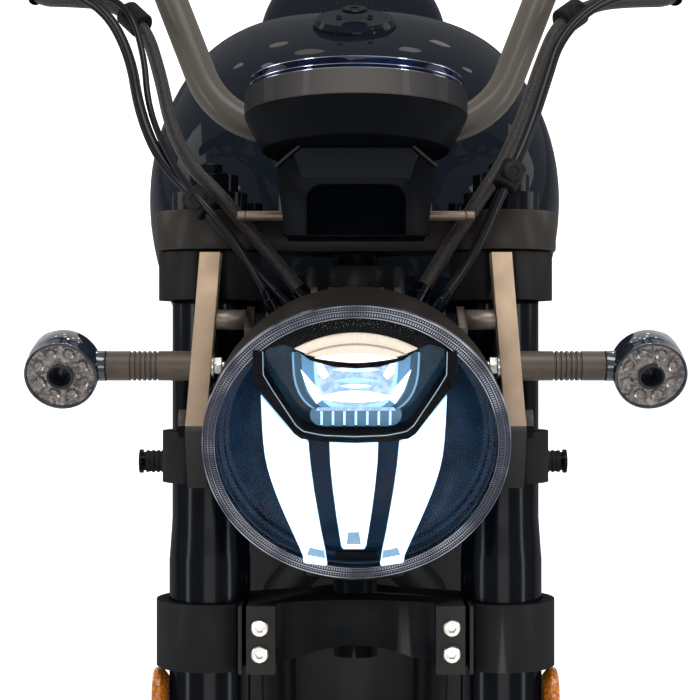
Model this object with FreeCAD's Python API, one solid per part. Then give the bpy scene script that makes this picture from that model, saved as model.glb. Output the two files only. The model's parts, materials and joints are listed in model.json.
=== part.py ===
import FreeCAD, Part

import math
import os
from collections import namedtuple

# A cafe racer motorcycle with an electric drive, parked upright on its centre stand with the
# steering straight ahead. X runs across the machine and is plus on the rider's left. The
# machine faces -Y and +Z is up. The origin is on the floor, midway between the front of the
# front tyre and the back of the rear tyre. Lengths are in millimetres and angles in degrees.
#
# Everything that steers is drawn in the fork's own frame and then leaned back by the rake:
# there X is across, "back" is square to the legs and rearward, and "up" is along the legs
# from the front axle.

Arc = namedtuple("Arc", "through end")

# Clearances, and how far a cutting tool runs past the face it cuts
SEAT_GAP = 0.3
TURN_GAP = 0.3
OVERRUN = 5.0

# Stance
WHEELBASE = 1400.0
RAKE = 25.0
FORK_OFFSET = 30.0
REAR_LIFT = 20.0

# Tyres and cast wheels
RIM_SEAT_RADIUS = 216.0
FRONT_TYRE_RADIUS = 293.0
FRONT_TYRE_WIDTH = 110.0
FRONT_RIM_WIDTH = 84.0
REAR_TYRE_RADIUS = 314.0
REAR_TYRE_WIDTH = 140.0
REAR_RIM_WIDTH = 104.0
TYRE_BULGE_HEIGHT_SHARE = 0.42
TYRE_SIDE_STEPS = 2
TYRE_CROWN_STEPS = 5
RIM_FLANGE_HEIGHT = 8.0
RIM_FLANGE_THICKNESS = 6.0
RIM_WALL = 6.0
RIM_WELL_DEPTH = 12.0
RIM_WELL_WIDTH_SHARE = 0.35
SPOKE_PAIRS = 5
SPOKE_HALF_SPREAD = 11.0
SPOKE_HUB_WIDTH = 24.0
SPOKE_RIM_WIDTH = 15.0
SPOKE_THICKNESS = 26.0
HUB_RADIUS = 38.0
HUB_SHELL_RADIUS = 30.0
HUB_FLANGE_THICKNESS = 14.0
FRONT_HUB_WIDTH = 90.0
REAR_HUB_WIDTH = 124.0

# Axles with their spacers and nuts
FRONT_AXLE_RADIUS = 8.5
REAR_AXLE_RADIUS = 10.0
AXLE_SPACER_WALL = 5.0
AXLE_HEAD_RADIUS = 15.0
AXLE_HEAD_LENGTH = 9.0

# Brake discs and callipers
FRONT_DISC_RADIUS = 150.0
REAR_DISC_RADIUS = 110.0
DISC_THICKNESS = 5.0
DISC_BAND = 32.0
DISC_HUB_RADIUS = 46.0
DISC_ARMS = 5
DISC_ARM_WIDTH = 18.0
DISC_HOLES = 20
DISC_HOLE_RADIUS = 4.0
FRONT_DISC_X = 60.0
REAR_DISC_X = 76.0
CALLIPER_HALF_THICKNESS = 10.5
CALLIPER_LENGTH = 96.0
CALLIPER_DEPTH = 52.0
CALLIPER_BRIDGE = 12.0
CALLIPER_SLOT = 9.0
CALLIPER_CHAMFER = 12.0
FRONT_CALLIPER_ANGLE = 32.0
REAR_CALLIPER_ANGLE = 122.0

# Fork legs: outer tubes held in the yokes, and inner tubes with the axle feet
LEG_HALF_SPACING = 97.5
LEG_CLAMP_RADIUS = 25.0
LEG_LOWER_RADIUS = 27.0
LEG_BOTTOM = 205.0
LEG_STANDOUT = 13.0
LEG_TAPER_GAP = 26.0
LEG_TAPER_LENGTH = 28.0
LEG_COLLAR_STEP = 1.0
LEG_COLLAR_EDGE = 2.0
LEG_CAP_RADIUS = 19.0
LEG_CAP_HEIGHT = 12.0
LEG_COLLAR_HEIGHT = 16.0
LEG_BORE_DEPTH = 70.0
SLIDER_RADIUS = 18.5
SLIDER_OVERLAP = 60.0
FOOT_RADIUS = 20.0
FOOT_TOP = 78.0
FOOT_CLAMP_RADIUS = 24.0
FOOT_WIDTH = 40.0
FOOT_LUG_THICKNESS = 12.0
REFLECTOR_RADIUS = 17.0
REFLECTOR_THICKNESS = 9.0
REFLECTOR_DROP = 20.0
REFLECTOR_LENS_THICKNESS = 3.0

# Yokes and steering stem
LOWER_YOKE_UP = 440.0
LOWER_YOKE_HEIGHT = 44.0
LOWER_RING_RADIUS = 35.5
YOKE_SPACING = 266.0
UPPER_YOKE_HEIGHT = 26.0
UPPER_RING_RADIUS = 36.5
YOKE_BOSS_RADIUS = 33.0
YOKE_ARCH_HEIGHT = 14.0
PINCH_BLOCK_INNER_X = 52.0
PINCH_BLOCK_OUTER_X = 76.0
PINCH_BLOCK_FRONT = 39.0
PINCH_SLOT = 3.0
PINCH_BOLT_INSET = 9.0
STEM_RADIUS = 15.0
STEM_NUT_RADIUS = 19.0
STEM_NUT_HEIGHT = 11.0
HEAD_TUBE_RADIUS = 30.0
HEAD_TUBE_LOWER_GAP = 12.0
HEAD_TUBE_UPPER_GAP = 9.0
HEAD_CUP_RADIUS = 34.0
HEAD_CUP_HEIGHT = 18.0

# Headlamp stays
STAY_INNER_X = 86.5
STAY_WIDTH = 13.0
STAY_SPLAY = 9.5
STAY_FRONT = 52.0
STAY_BACK = 26.0
STAY_TOP_GAP = 3.0
STAY_LENGTH = 152.0
STAY_NECK_RISE = 37.0
STAY_NECK_BACK = 9.0
STAY_CLAMP_LIP = 2.0
STAY_UPPER_CLAMP_HEIGHT = 31.5
STAY_UPPER_CLAMP_RADIUS = 34.0
STAY_LOWER_CLAMP_HEIGHT = 34.0
STAY_LOWER_CLAMP_RADIUS = 31.5
STAY_BOSS_RADIUS = 9.0
STAY_BOSS_LENGTH = 5.0
STAY_BOSS_RISE = 42.0
STAY_BOSS_SINK = 3.0

# Headlamp
LAMP_RADIUS = 89.0
LAMP_BACK = 147.0
LAMP_RISE = 131.6
LAMP_BAND = 12.0
LAMP_BOWL_RADIUS = 88.0
LAMP_BACK_RADIUS = 30.0
LAMP_WALL = 3.0
LAMP_LENS_LIP = 3.0
LAMP_LENS_CROWN = 9.0
LAMP_LENS_WALL = 2.5
OPTICS_RADIUS = 81.7
OPTICS_DEPTH = 36.0
OPTICS_WALL = 2.5
OPTICS_RIM_DEPTH = 4.0
LIGHT_BAR_THICKNESS = 6.0
PROJECTOR_DEPTH = 26.0
LAMP_BRACKET_RISE = 75.4
LAMP_BRACKET_BACK = 42.0
LAMP_BRACKET_PIN_RADIUS = 6.5
LAMP_BRACKET_INNER_X = 70.0
LAMP_BRACKET_PLATE = 5.0
LAMP_BRACKET_PLATE_HEIGHT = 52.0
JUNCTION_HALF_WIDTH = 57.0
JUNCTION_DEPTH = 28.0
JUNCTION_HEIGHT = 36.0
JUNCTION_RISE = 8.0
JUNCTION_FINS = 6
JUNCTION_FIN_PITCH = 10.5
JUNCTION_FIN_THICKNESS = 4.0
JUNCTION_FIN_DEPTH = 11.0
JUNCTION_FIN_HEIGHT = 20.0

# Front and rear indicators
INDICATOR_RADIUS = 23.5
INDICATOR_DEPTH = 24.0
INDICATOR_FORWARD = 15.7
INDICATOR_LENS = 5.0
INDICATOR_HOLE_RADIUS = 7.0
INDICATOR_CENTRE_X = 188.0
INDICATOR_STEM_RADIUS = 9.6
INDICATOR_STEM_DROP = 72.7
INDICATOR_STEM_BACK = 40.0
INDICATOR_STEM_SHARE = 0.8
INDICATOR_NUT_RADIUS = 7.5
INDICATOR_NUT_LENGTH = 7.0
INDICATOR_EDGE = 3.0
INDICATOR_LENS_EDGE = 1.0
REAR_INDICATOR_CENTRE_X = 165.0
REAR_INDICATOR_Y = 630.0

# Round instrument and its bracket
GAUGE_RADIUS = 69.0
GAUGE_FOOT_RADIUS = 58.0
GAUGE_BAND = 16.5
GAUGE_CONE = 20.5
GAUGE_GLASS = 7.5
GAUGE_GLASS_RADIUS = 66.0
GAUGE_RIM_WALL = 3.0
GAUGE_TILT = 4.0
GAUGE_BACK = 80.0
GAUGE_RISE = 67.4
GAUGE_GLASS_EDGE = 1.0
POD_TOP_HALF_WIDTH = 32.0
POD_HALF_WIDTH = 49.0
POD_FOOT_HALF_WIDTH = 43.0
POD_DROP = 22.0
POD_SHOULDER_RISE = 21.0
POD_TOP_DROP = 34.0
POD_FRONT = 102.0
POD_REAR = 48.0
POD_RECESS_HALF_WIDTH = 30.0
POD_RECESS_RISE = 9.0
POD_RECESS_DEPTH = 7.0
POD_RECESS_CORNER = 9.0
POD_ARM_THICKNESS = 4.0
POD_ARM_RISE = 26.0
POD_ARM_END = 6.0

# Handlebar and what is clamped to it
BAR_RADIUS = 11.1
BAR_HEIGHT = 60.6
BAR_BEND_X = 92.0
BAR_RISE_X = 141.5
BAR_UPSWEEP = 125.4
BAR_RISE_BACK = 26.0
BAR_END_X = 368.0
BAR_END_LIFT = 33.0
BAR_END_BACK = 107.0
BAR_LOWER_BEND = 60.0
BAR_UPPER_BEND = 45.0
RISER_X = 38.0
RISER_RADIUS = 15.0
RISER_CLAMP_RADIUS = 19.0
RISER_CLAMP_WIDTH = 30.0
RISER_TAPER = 2.0
GRIP_RADIUS = 17.0
GRIP_LENGTH = 122.0
BAR_PLUG_RADIUS = 16.0
BAR_PLUG_LENGTH = 22.0
SWITCH_RADIUS = 22.0
SWITCH_LENGTH = 40.0
BRAKE_CLAMP_RADIUS = 18.0
BRAKE_CLAMP_LENGTH = 26.0
RESERVOIR_RADIUS = 17.0
RESERVOIR_HEIGHT = 34.0
RESERVOIR_TAPER = 3.0
LEVER_THICKNESS = 10.0
LEVER_WIDTH = 15.0
LEVER_REACH = 70.0
LEVER_LENGTH = 165.0
LEVER_BALL_RADIUS = 9.0
MIRROR_STALK_RADIUS = 5.0
MIRROR_RADIUS = 48.0
MIRROR_THICKNESS = 16.0
MIRROR_RISE = 110.0
MIRROR_OUT = 60.0

# Hoses and wires, each a route of points in the fork frame (across, back, up)
BRAKE_HOSE_RADIUS = 3.6
LOOM_RADIUS = 4.6
THIN_WIRE_RADIUS = 2.2
THICK_LOOM_RADIUS = 5.0
HOSE_BEND_SHARE = 0.45

# Front mudguard
MUDGUARD_GAP = 17.0
MUDGUARD_THICKNESS = 3.0
MUDGUARD_HALF_WIDTH = 60.0
MUDGUARD_SKIRT = 26.0
FRONT_GUARD_START_ANGLE = 38.0
FRONT_GUARD_END_ANGLE = 158.0
REAR_GUARD_START_ANGLE = 48.0
REAR_GUARD_END_ANGLE = 118.0
REAR_GUARD_HALF_WIDTH = 74.0
GUARD_SHOULDER_SHARE = 0.80
GUARD_CORNER_SHARE = 0.7
GUARD_FALL_SHARE = 0.28
GUARD_STAY_WIDTH = 26.0
GUARD_STAY_THICKNESS = 4.0
GUARD_STAY_STEP_UP = 186.0
GUARD_STAY_UPPER_X = 62.0

# Main frame
RAIL_RADIUS = 14.0
RAIL_HALF_SPACING = 80.0
RAIL_HEAD_DROP = 44.0
RAIL_FRONT_Y = -305.0
RAIL_FRONT_RISE = 47.0
RAIL_KNEE_Y = 90.0
RAIL_RISE = 83.0
RAIL_BEND = 60.0
FRAME_END_Y = 150.0
DOWN_TUBE_HALF_SPACING = 62.0
DOWN_TUBE_Y = -346.0
DOWN_TUBE_HEAD_RISE = 26.0
DOWN_TUBE_SHOULDER_Z = 600.0
CRADLE_Z = 262.0
CRADLE_END_Y = 150.0
CRADLE_BEND = 55.0
CROSS_TUBE_RADIUS = 11.0
CROSS_TUBE_DROP = 3.0
PLATE_INNER_X = 100.0
PLATE_OUTER_X = 108.0
PLATE_TOP_RISE = 5.0
PLATE_BOTTOM_Z = 216.0
PIVOT_Y = 160.0
PIVOT_Z = 400.0
PLATE_TOP_HALF_WIDTH = 28.0
PLATE_WAIST_HALF_WIDTH = 38.0
PLATE_TOP_Y = 122.0
STAND_LUG_Y = 150.0
STAND_LUG_Z = 230.0

# Subframe
SUBFRAME_END_Y = 700.0
SUBFRAME_BEND = 62.0
SHOCK_TOP_Y = 500.0
SHOCK_TOP_STUB_X = 172.0
SEAT_CROSS_Y = 230.0
SHOCK_PIN_RADIUS = 9.0

# Swingarm
ARM_INNER_X = 108.5
ARM_OUTER_X = 134.0
ARM_PIVOT_RADIUS = 27.0
ARM_END_RADIUS = 25.0
ARM_BOLT_RADIUS = 12.0
ARM_BOLT_HEAD_RADIUS = 17.0
ARM_BOLT_HEAD_LENGTH = 7.0
ARM_SLEEVE_RADIUS = 20.0
BRACE_FRONT_Y = 222.0
BRACE_LENGTH = 38.0
BRACE_HALF_HEIGHT = 15.0
SHOCK_FOOT_Y = 600.0
SHOCK_FOOT_Z = 395.0
SHOCK_LUG_RADIUS = 20.0
ARM_LUG_INNER_X = 122.0

# Rear shock absorbers
SHOCK_X = 153.0
SHOCK_EYE_RADIUS = 17.0
SHOCK_EYE_WIDTH = 26.0
SHOCK_ROD_RADIUS = 7.0
SHOCK_BODY_RADIUS = 17.0
SHOCK_SPRING_RADIUS = 24.0
SPRING_WIRE_RADIUS = 4.5
SPRING_WIRE_SIDES = 6
SPRING_COILS = 9
SPRING_START_SHARE = 0.16
SPRING_END_SHARE = 0.80
SHOCK_SEAT_THICKNESS = 6.0

# Battery case and motor
BATTERY_HALF_WIDTH = 116.0
BATTERY_BACK_Y = 86.0
BATTERY_CORNER = 36.0
BATTERY_FRONT_RISE = 5.0
BATTERY_BACK_DROP = 30.0
BATTERY_NOSE_Z = 668.0
BATTERY_NOSE_LENGTH = 46.0
BATTERY_FIN_PITCH = 22.0
BATTERY_FIN_SLOT = 9.0
BATTERY_FIN_DEPTH = 8.0
BATTERY_PLAIN_EDGE = 26.0
MOTOR_RADIUS = 104.0
MOTOR_Y = 0.0
MOTOR_Z = 400.0
MOTOR_LEFT_X = 70.0
MOTOR_RIGHT_X = 97.0
MOTOR_RIB_COUNT = 7
MOTOR_RIB_DEPTH = 6.0
MOTOR_COVER_RADIUS = 78.0
MOTOR_COVER_THICKNESS = 12.0
MOTOR_SHAFT_RADIUS = 12.0

# Toothed belt drive
BELT_INNER_X = 77.0
BELT_WIDTH = 20.0
BELT_THICKNESS = 5.0
BELT_EDGE = 1.0
FRONT_PULLEY_RADIUS = 38.0
REAR_PULLEY_RADIUS = 104.0
PULLEY_TEETH = 60
PULLEY_TOOTH_DEPTH = 3.0
PULLEY_WEB = 8.0
PULLEY_HUB_RADIUS = 42.0

# Tank, seat and tail cowl
TANK_HALF_WIDTH = 168.0
TANK_HEIGHT = 217.0
TANK_RISE = 21.0
TANK_FRONT_Y = -322.0
TANK_BACK_Y = 184.0
TANK_CAP_RADIUS = 34.0
TANK_CAP_HEIGHT = 9.0
TANK_CAP_EDGE = 3.0
TANK_CAP_Y = -120.0
TANK_TUNNEL_FLARE = 60.0
SEAT_FRONT_Y = 188.0
SEAT_BACK_Y = 545.0
SEAT_HALF_WIDTH = 118.0
SEAT_THICKNESS = 62.0
COWL_BACK_Y = 800.0
COWL_HEIGHT = 108.0
COWL_GAP = 1.0
TAIL_LAMP_RADIUS = 24.0
TAIL_LAMP_DEPTH = 14.0
TAIL_LAMP_EDGE = 3.0
TAIL_LAMP_RISE = 41.0

# Foot rests
REST_PLATE_X = 147.0
REST_PLATE_THICKNESS = 6.0
REST_Y = 250.0
REST_Z = 392.0
REST_LENGTH = 96.0
REST_RADIUS = 11.0
REST_SPACER_RADIUS = 11.0
REST_LOWER_Y = 128.0
REST_LOWER_Z = 292.0
REST_UPPER_Y = 168.0
REST_UPPER_Z = 336.0
REST_EDGE = 16.0
REST_ROOT_STEP = 4.0
REST_END_STEP = 3.0
REST_END_LENGTH = 4.0

# Centre stand
STAND_EAR_RADIUS = 12.0
STAND_EAR_INNER_X = 71.5
STAND_EAR_OUTER_X = 92.0
STAND_PIN_RADIUS = 6.0
STAND_TUBE_RADIUS = 11.0
STAND_FOOT_X = 104.0
STAND_FOOT_FORWARD = 42.0
STAND_PAD_LENGTH = 56.0
STAND_PAD_WIDTH = 34.0
STAND_PAD_THICKNESS = 8.0
STAND_BRACE_SHARE = 0.5
STAND_LUG_THICKNESS = 8.0
STAND_LUG_RADIUS = 13.0

# Places worked out from the sizes above
UPPER_YOKE_UP = LOWER_YOKE_UP + YOKE_SPACING
LOWER_YOKE_TOP = LOWER_YOKE_UP + LOWER_YOKE_HEIGHT / 2
UPPER_YOKE_TOP = UPPER_YOKE_UP + UPPER_YOKE_HEIGHT / 2
UPPER_YOKE_BOTTOM = UPPER_YOKE_UP - UPPER_YOKE_HEIGHT / 2
LEG_TOP = UPPER_YOKE_TOP + LEG_STANDOUT
LEG_TAPER_START = LOWER_YOKE_TOP + LEG_TAPER_GAP
LEG_TAPER_END = LEG_TAPER_START + LEG_TAPER_LENGTH
REFLECTOR_UP = LOWER_YOKE_UP - LOWER_YOKE_HEIGHT / 2 - REFLECTOR_DROP
HEAD_TUBE_BOTTOM = LOWER_YOKE_TOP + HEAD_TUBE_LOWER_GAP
HEAD_TUBE_TOP = UPPER_YOKE_BOTTOM - HEAD_TUBE_UPPER_GAP
STAY_TOP = UPPER_YOKE_BOTTOM - STAY_TOP_GAP
STAY_BOTTOM = STAY_TOP - STAY_LENGTH
STAY_NECK_UP = STAY_BOTTOM + STAY_NECK_RISE
STAY_UPPER_CLAMP_TOP = STAY_TOP + STAY_CLAMP_LIP
STAY_UPPER_CLAMP_BOTTOM = STAY_UPPER_CLAMP_TOP - STAY_UPPER_CLAMP_HEIGHT
STAY_LOWER_CLAMP_BOTTOM = STAY_BOTTOM + STAY_CLAMP_LIP
STAY_LOWER_CLAMP_TOP = STAY_LOWER_CLAMP_BOTTOM + STAY_LOWER_CLAMP_HEIGHT
STAY_BOSS_UP = STAY_BOTTOM + STAY_BOSS_RISE
LAMP_UP = LOWER_YOKE_UP + LAMP_RISE
LAMP_BRACKET_UP = LAMP_UP + LAMP_BRACKET_RISE
INDICATOR_STEM_UP = STAY_TOP - INDICATOR_STEM_DROP
GAUGE_UP = UPPER_YOKE_TOP + GAUGE_RISE
POD_BOTTOM = UPPER_YOKE_TOP - POD_DROP
POD_SHOULDER = UPPER_YOKE_TOP + POD_SHOULDER_RISE
POD_TOP = GAUGE_UP - POD_TOP_DROP
POD_RECESS_TOP = UPPER_YOKE_TOP + POD_RECESS_RISE
POD_ARM_TOP = UPPER_YOKE_TOP + POD_ARM_RISE
BAR_UP = UPPER_YOKE_TOP + BAR_HEIGHT
BAR_RISE_UP = BAR_UP + BAR_UPSWEEP
BAR_END_UP = BAR_RISE_UP + BAR_END_LIFT
RAIL_HEAD_UP = HEAD_TUBE_TOP - RAIL_HEAD_DROP
DOWN_TUBE_HEAD_UP = HEAD_TUBE_BOTTOM + DOWN_TUBE_HEAD_RISE
REAR_AXLE_Z = REAR_TYRE_RADIUS + REAR_LIFT
RAIL_Z = REAR_AXLE_Z + REAR_TYRE_RADIUS + 2 * MUDGUARD_GAP + RAIL_RISE
RAIL_FRONT_Z = RAIL_Z + RAIL_FRONT_RISE
PLATE_TOP_Z = RAIL_Z + PLATE_TOP_RISE
BATTERY_TOP_FRONT_Z = RAIL_Z + BATTERY_FRONT_RISE
BATTERY_TOP_BACK_Z = RAIL_Z - BATTERY_BACK_DROP
TANK_BOTTOM_Z = RAIL_Z + TANK_RISE
TANK_TOP_Z = TANK_BOTTOM_Z + TANK_HEIGHT
TAIL_LAMP_Z = RAIL_Z + TAIL_LAMP_RISE
BATTERY_FRONT_Y = DOWN_TUBE_Y + RAIL_RADIUS + SEAT_GAP
BATTERY_BOTTOM_Z = CRADLE_Z + RAIL_RADIUS + SEAT_GAP
BATTERY_STEP_Z = MOTOR_Z + MOTOR_RADIUS + SEAT_GAP
BATTERY_LEG_BACK_Y = MOTOR_Y - MOTOR_RADIUS - SEAT_GAP
FRONT_AXLE_Y = -(WHEELBASE + REAR_TYRE_RADIUS - FRONT_TYRE_RADIUS) / 2
REAR_AXLE_Y = FRONT_AXLE_Y + WHEELBASE
FRONT_AXLE = FreeCAD.Vector(0, FRONT_AXLE_Y, FRONT_TYRE_RADIUS)
REAR_AXLE = FreeCAD.Vector(0, REAR_AXLE_Y, REAR_AXLE_Z)
FORK_PLACE = FreeCAD.Placement(FRONT_AXLE, FreeCAD.Rotation(FreeCAD.Vector(1, 0, 0), -RAKE))
UNDO_RAKE = FreeCAD.Rotation(FreeCAD.Vector(1, 0, 0), RAKE)
X_AXIS = FreeCAD.Vector(1, 0, 0)
Y_AXIS = FreeCAD.Vector(0, 1, 0)
Z_AXIS = FreeCAD.Vector(0, 0, 1)
ORIGIN = FreeCAD.Vector(0, 0, 0)
SIDES = (1, -1)


def point(x, y, z):
    return FreeCAD.Vector(x, y, z)


def fork_point(across, back, up):
    """The place on the parked machine of a point given in the fork's frame."""
    return FORK_PLACE.multVec(point(across, back, up))


def in_fork(shape):
    """A shape drawn in the fork's frame, leaned back to where the fork is."""
    moved = shape.copy()
    moved.Placement = FORK_PLACE.multiply(moved.Placement)
    return moved


def mirrored(shape):
    return shape.mirror(ORIGIN, X_AXIS)


def both_sides(shape):
    return [shape, mirrored(shape)]


def fused(shapes):
    whole = shapes[0]
    for shape in shapes[1:]:
        whole = whole.fuse(shape)
    return whole.removeSplitter()


def cut_away(shape, tools):
    for tool in tools:
        shape = shape.cut(tool)
    return shape


def outline(items, place):
    """A closed wire through 2-D points, each mapped by place(); an Arc item curves to its end."""
    edges = []
    at = items[0]
    for item in items[1:] + [items[0]]:
        if isinstance(item, Arc):
            edges.append(Part.Arc(place(*at), place(*item.through), place(*item.end)).toShape())
            at = item.end
        elif item != at:
            edges.append(Part.makeLine(place(*at), place(*item)))
            at = item
    return Part.Wire(edges)


def side_prism(items, x_low, x_high):
    """A side-view outline in (y, z), as thick as from x_low to x_high."""
    wire = outline(items, lambda y, z: point(x_low, y, z))
    return Part.Face(wire).extrude(point(x_high - x_low, 0, 0))


def front_prism(items, y_low, y_high):
    """A front-view outline in (x, z), extruded along Y."""
    wire = outline(items, lambda x, z: point(x, y_low, z))
    return Part.Face(wire).extrude(point(0, y_high - y_low, 0))


def plan_prism(items, z_low, z_high):
    """A plan-view outline in (x, y), extruded up."""
    wire = outline(items, lambda x, y: point(x, y, z_low))
    return Part.Face(wire).extrude(point(0, 0, z_high - z_low))


def turned_across(items, centre):
    """A ring or disc turned about an axis along X, from an outline in (x, radius)."""
    wire = outline(items, lambda x, r: point(x, 0, r))
    ring = Part.Face(wire).revolve(ORIGIN, X_AXIS, 360)
    ring.translate(centre)
    return ring


def turned(items, base, direction):
    """A round piece from an outline in (radius, height), turned about direction through base."""
    wire = outline(items, lambda r, h: point(r, 0, h))
    body = Part.Face(wire).revolve(ORIGIN, Z_AXIS, 360)
    body.Placement = FreeCAD.Placement(base, FreeCAD.Rotation(Z_AXIS, direction))
    return body


def bar(start, end, radius):
    axis = end - start
    return Part.makeCylinder(radius, axis.Length, start, axis)


def cross_bar(x_low, x_high, y, z, radius):
    return bar(point(x_low, y, z), point(x_high, y, z), radius)


def bent_path(points, bends):
    """Straight runs joined by tangent arcs; bends holds one radius for each inner point."""
    edges = []
    at = points[0]
    for before, corner, after, bend in zip(points, points[1:], points[2:], bends):
        to_before = (before - corner).normalize()
        to_after = (after - corner).normalize()
        half_turn = (math.pi - to_before.getAngle(to_after)) / 2
        tangent = bend * math.tan(half_turn)
        inward = (to_before + to_after).normalize()
        start = corner + to_before * tangent
        end = corner + to_after * tangent
        middle = corner + inward * (bend / math.cos(half_turn) - bend)
        edges.append(Part.makeLine(at, start))
        edges.append(Part.Arc(start, middle, end).toShape())
        at = end
    edges.append(Part.makeLine(at, points[-1]))
    return Part.Wire(edges)


def swept(points, bends, radius):
    path = bent_path(points, bends)
    ring = Part.Wire(Part.makeCircle(radius, points[0], points[1] - points[0]))
    return path.makePipeShell([ring], True, False)


def bent_bar(points, radius, bend):
    return swept(points, [bend] * (len(points) - 2), radius)


def hose(route, radius):
    """A hose along a route of fork-frame points, each bend as large as its two runs allow."""
    points = [point(*place) for place in route]
    bends = []
    for before, corner, after in zip(points, points[1:], points[2:]):
        shorter = min((before - corner).Length, (after - corner).Length)
        half_turn = (math.pi - (before - corner).getAngle(after - corner)) / 2
        bends.append(HOSE_BEND_SHARE * shorter / math.tan(half_turn))
    tube = swept(points, bends, radius)
    length = bent_path(points, bends).Length
    print(f"  hose radius {radius}: length {length:.0f}, smallest bend {min(bends):.0f},"
          f" volume share {tube.Volume / (math.pi * radius ** 2 * length):.3f}")
    return tube


def save(name, solids):
    """Writes the sub-part's solids to parts/NAME.step."""
    loose = []
    for solid in solids:
        loose.extend(solid.Solids)
    shape = loose[0] if len(loose) == 1 else Part.makeCompound(loose)
    shape.exportStep(os.path.join("parts", name + ".step"))
    broken = [index for index, solid in enumerate(loose) if not solid.isValid()]
    print(f"{name}: {len(loose)} solids" + (f", not valid: {broken}" if broken else ""))


# Wheels


def tyre(radius, width, rim_width, centre):
    """A plain tyre: below its widest place each side is a quarter ellipse, and so is each above."""
    seat = RIM_SEAT_RADIUS + SEAT_GAP
    bead = rim_width / 2
    lip = seat + RIM_FLANGE_HEIGHT
    bulge = width / 2
    middle = seat + (radius - seat) * TYRE_BULGE_HEIGHT_SHARE
    side = [(bead, seat)]
    for step in range(TYRE_SIDE_STEPS):
        turn = math.pi / 2 * (1 - step / TYRE_SIDE_STEPS)
        side.append((bead + (bulge - bead) * math.cos(turn), middle - (middle - lip) * math.sin(turn)))
    for step in range(TYRE_CROWN_STEPS):
        turn = math.pi / 2 * step / TYRE_CROWN_STEPS
        side.append((bulge * math.cos(turn), middle + (radius - middle) * math.sin(turn)))
    other_side = [(-x, r) for x, r in reversed(side)]
    return turned_across(side + [(0, radius)] + other_side, centre)


def rim_barrel(rim_width, centre):
    """The barrel between the tyre's beads, with a dropped well on its inner face."""
    seat = RIM_SEAT_RADIUS
    bead = rim_width / 2 + SEAT_GAP
    flange = bead + RIM_FLANGE_THICKNESS
    lip = seat + RIM_FLANGE_HEIGHT
    well = rim_width * RIM_WELL_WIDTH_SHARE
    inner = seat - RIM_WALL
    floor = inner - RIM_WELL_DEPTH
    return turned_across([
        (-flange, lip), (-bead, lip), (-bead, seat), (bead, seat), (bead, lip), (flange, lip),
        (flange, inner), (well, floor), (-well, floor), (-flange, inner),
    ], centre)


def hub(width, bore, centre):
    half = width / 2
    flange = half - HUB_FLANGE_THICKNESS
    waist = flange - HUB_FLANGE_THICKNESS / 2
    return turned_across([
        (-half, bore), (-half, HUB_RADIUS), (-flange, HUB_RADIUS), (-waist, HUB_SHELL_RADIUS),
        (waist, HUB_SHELL_RADIUS), (flange, HUB_RADIUS), (half, HUB_RADIUS), (half, bore),
    ], centre)


def spoke(inner, outer, angle, centre):
    """One spoke that narrows from hub to rim, turned by angle about the axle."""
    half = SPOKE_THICKNESS / 2
    blade = side_prism([
        (-SPOKE_HUB_WIDTH / 2, inner), (-SPOKE_RIM_WIDTH / 2, outer),
        (SPOKE_RIM_WIDTH / 2, outer), (SPOKE_HUB_WIDTH / 2, inner),
    ], -half, half)
    blade.rotate(ORIGIN, X_AXIS, angle)
    blade.translate(centre)
    return blade


def cast_wheel(rim_width, hub_width, bore, centre):
    """Rim, hub and five pairs of spokes, cast as one."""
    inner = HUB_SHELL_RADIUS - RIM_WALL
    outer = RIM_SEAT_RADIUS - RIM_WALL - RIM_WELL_DEPTH / 2
    pieces = [rim_barrel(rim_width, centre), hub(hub_width, bore, centre)]
    for pair in range(SPOKE_PAIRS):
        middle = 360 * pair / SPOKE_PAIRS
        for side in SIDES:
            pieces.append(spoke(inner, outer, middle + side * SPOKE_HALF_SPREAD, centre))
    return fused(pieces)


def disc(radius, x, hub_side, centre):
    """A drilled brake band on five arms, with a collar that reaches its hub."""
    inner = radius - DISC_BAND
    thickness = DISC_THICKNESS
    band = turned_across([(x, inner), (x, radius), (x + thickness, radius), (x + thickness, inner)], centre)
    low = min(x, hub_side)
    high = max(x + thickness, hub_side)
    axle = FRONT_AXLE_RADIUS if centre == FRONT_AXLE else REAR_AXLE_RADIUS
    bore = axle + AXLE_SPACER_WALL + 2 * TURN_GAP
    collar = turned_across([(low, bore), (low, HUB_RADIUS), (high, HUB_RADIUS), (high, bore)], centre)
    star = [collar, band]
    for arm in range(DISC_ARMS):
        blade = side_prism([
            (-DISC_ARM_WIDTH / 2, HUB_RADIUS - thickness), (-DISC_ARM_WIDTH / 2, inner + thickness),
            (DISC_ARM_WIDTH / 2, inner + thickness), (DISC_ARM_WIDTH / 2, HUB_RADIUS - thickness),
        ], x, x + thickness)
        blade.rotate(ORIGIN, X_AXIS, 360 * arm / DISC_ARMS)
        blade.translate(centre)
        star.append(blade)
    whole = fused(star)
    ring = radius - DISC_BAND / 2
    holes = []
    for hole in range(DISC_HOLES):
        turn = math.radians(360 * (hole + 1 / 2) / DISC_HOLES)
        y = centre.y + ring * math.sin(turn)
        z = centre.z + ring * math.cos(turn)
        holes.append(cross_bar(x - OVERRUN, x + thickness + OVERRUN, y, z, DISC_HOLE_RADIUS))
    return whole.cut(Part.makeCompound(holes))


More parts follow.
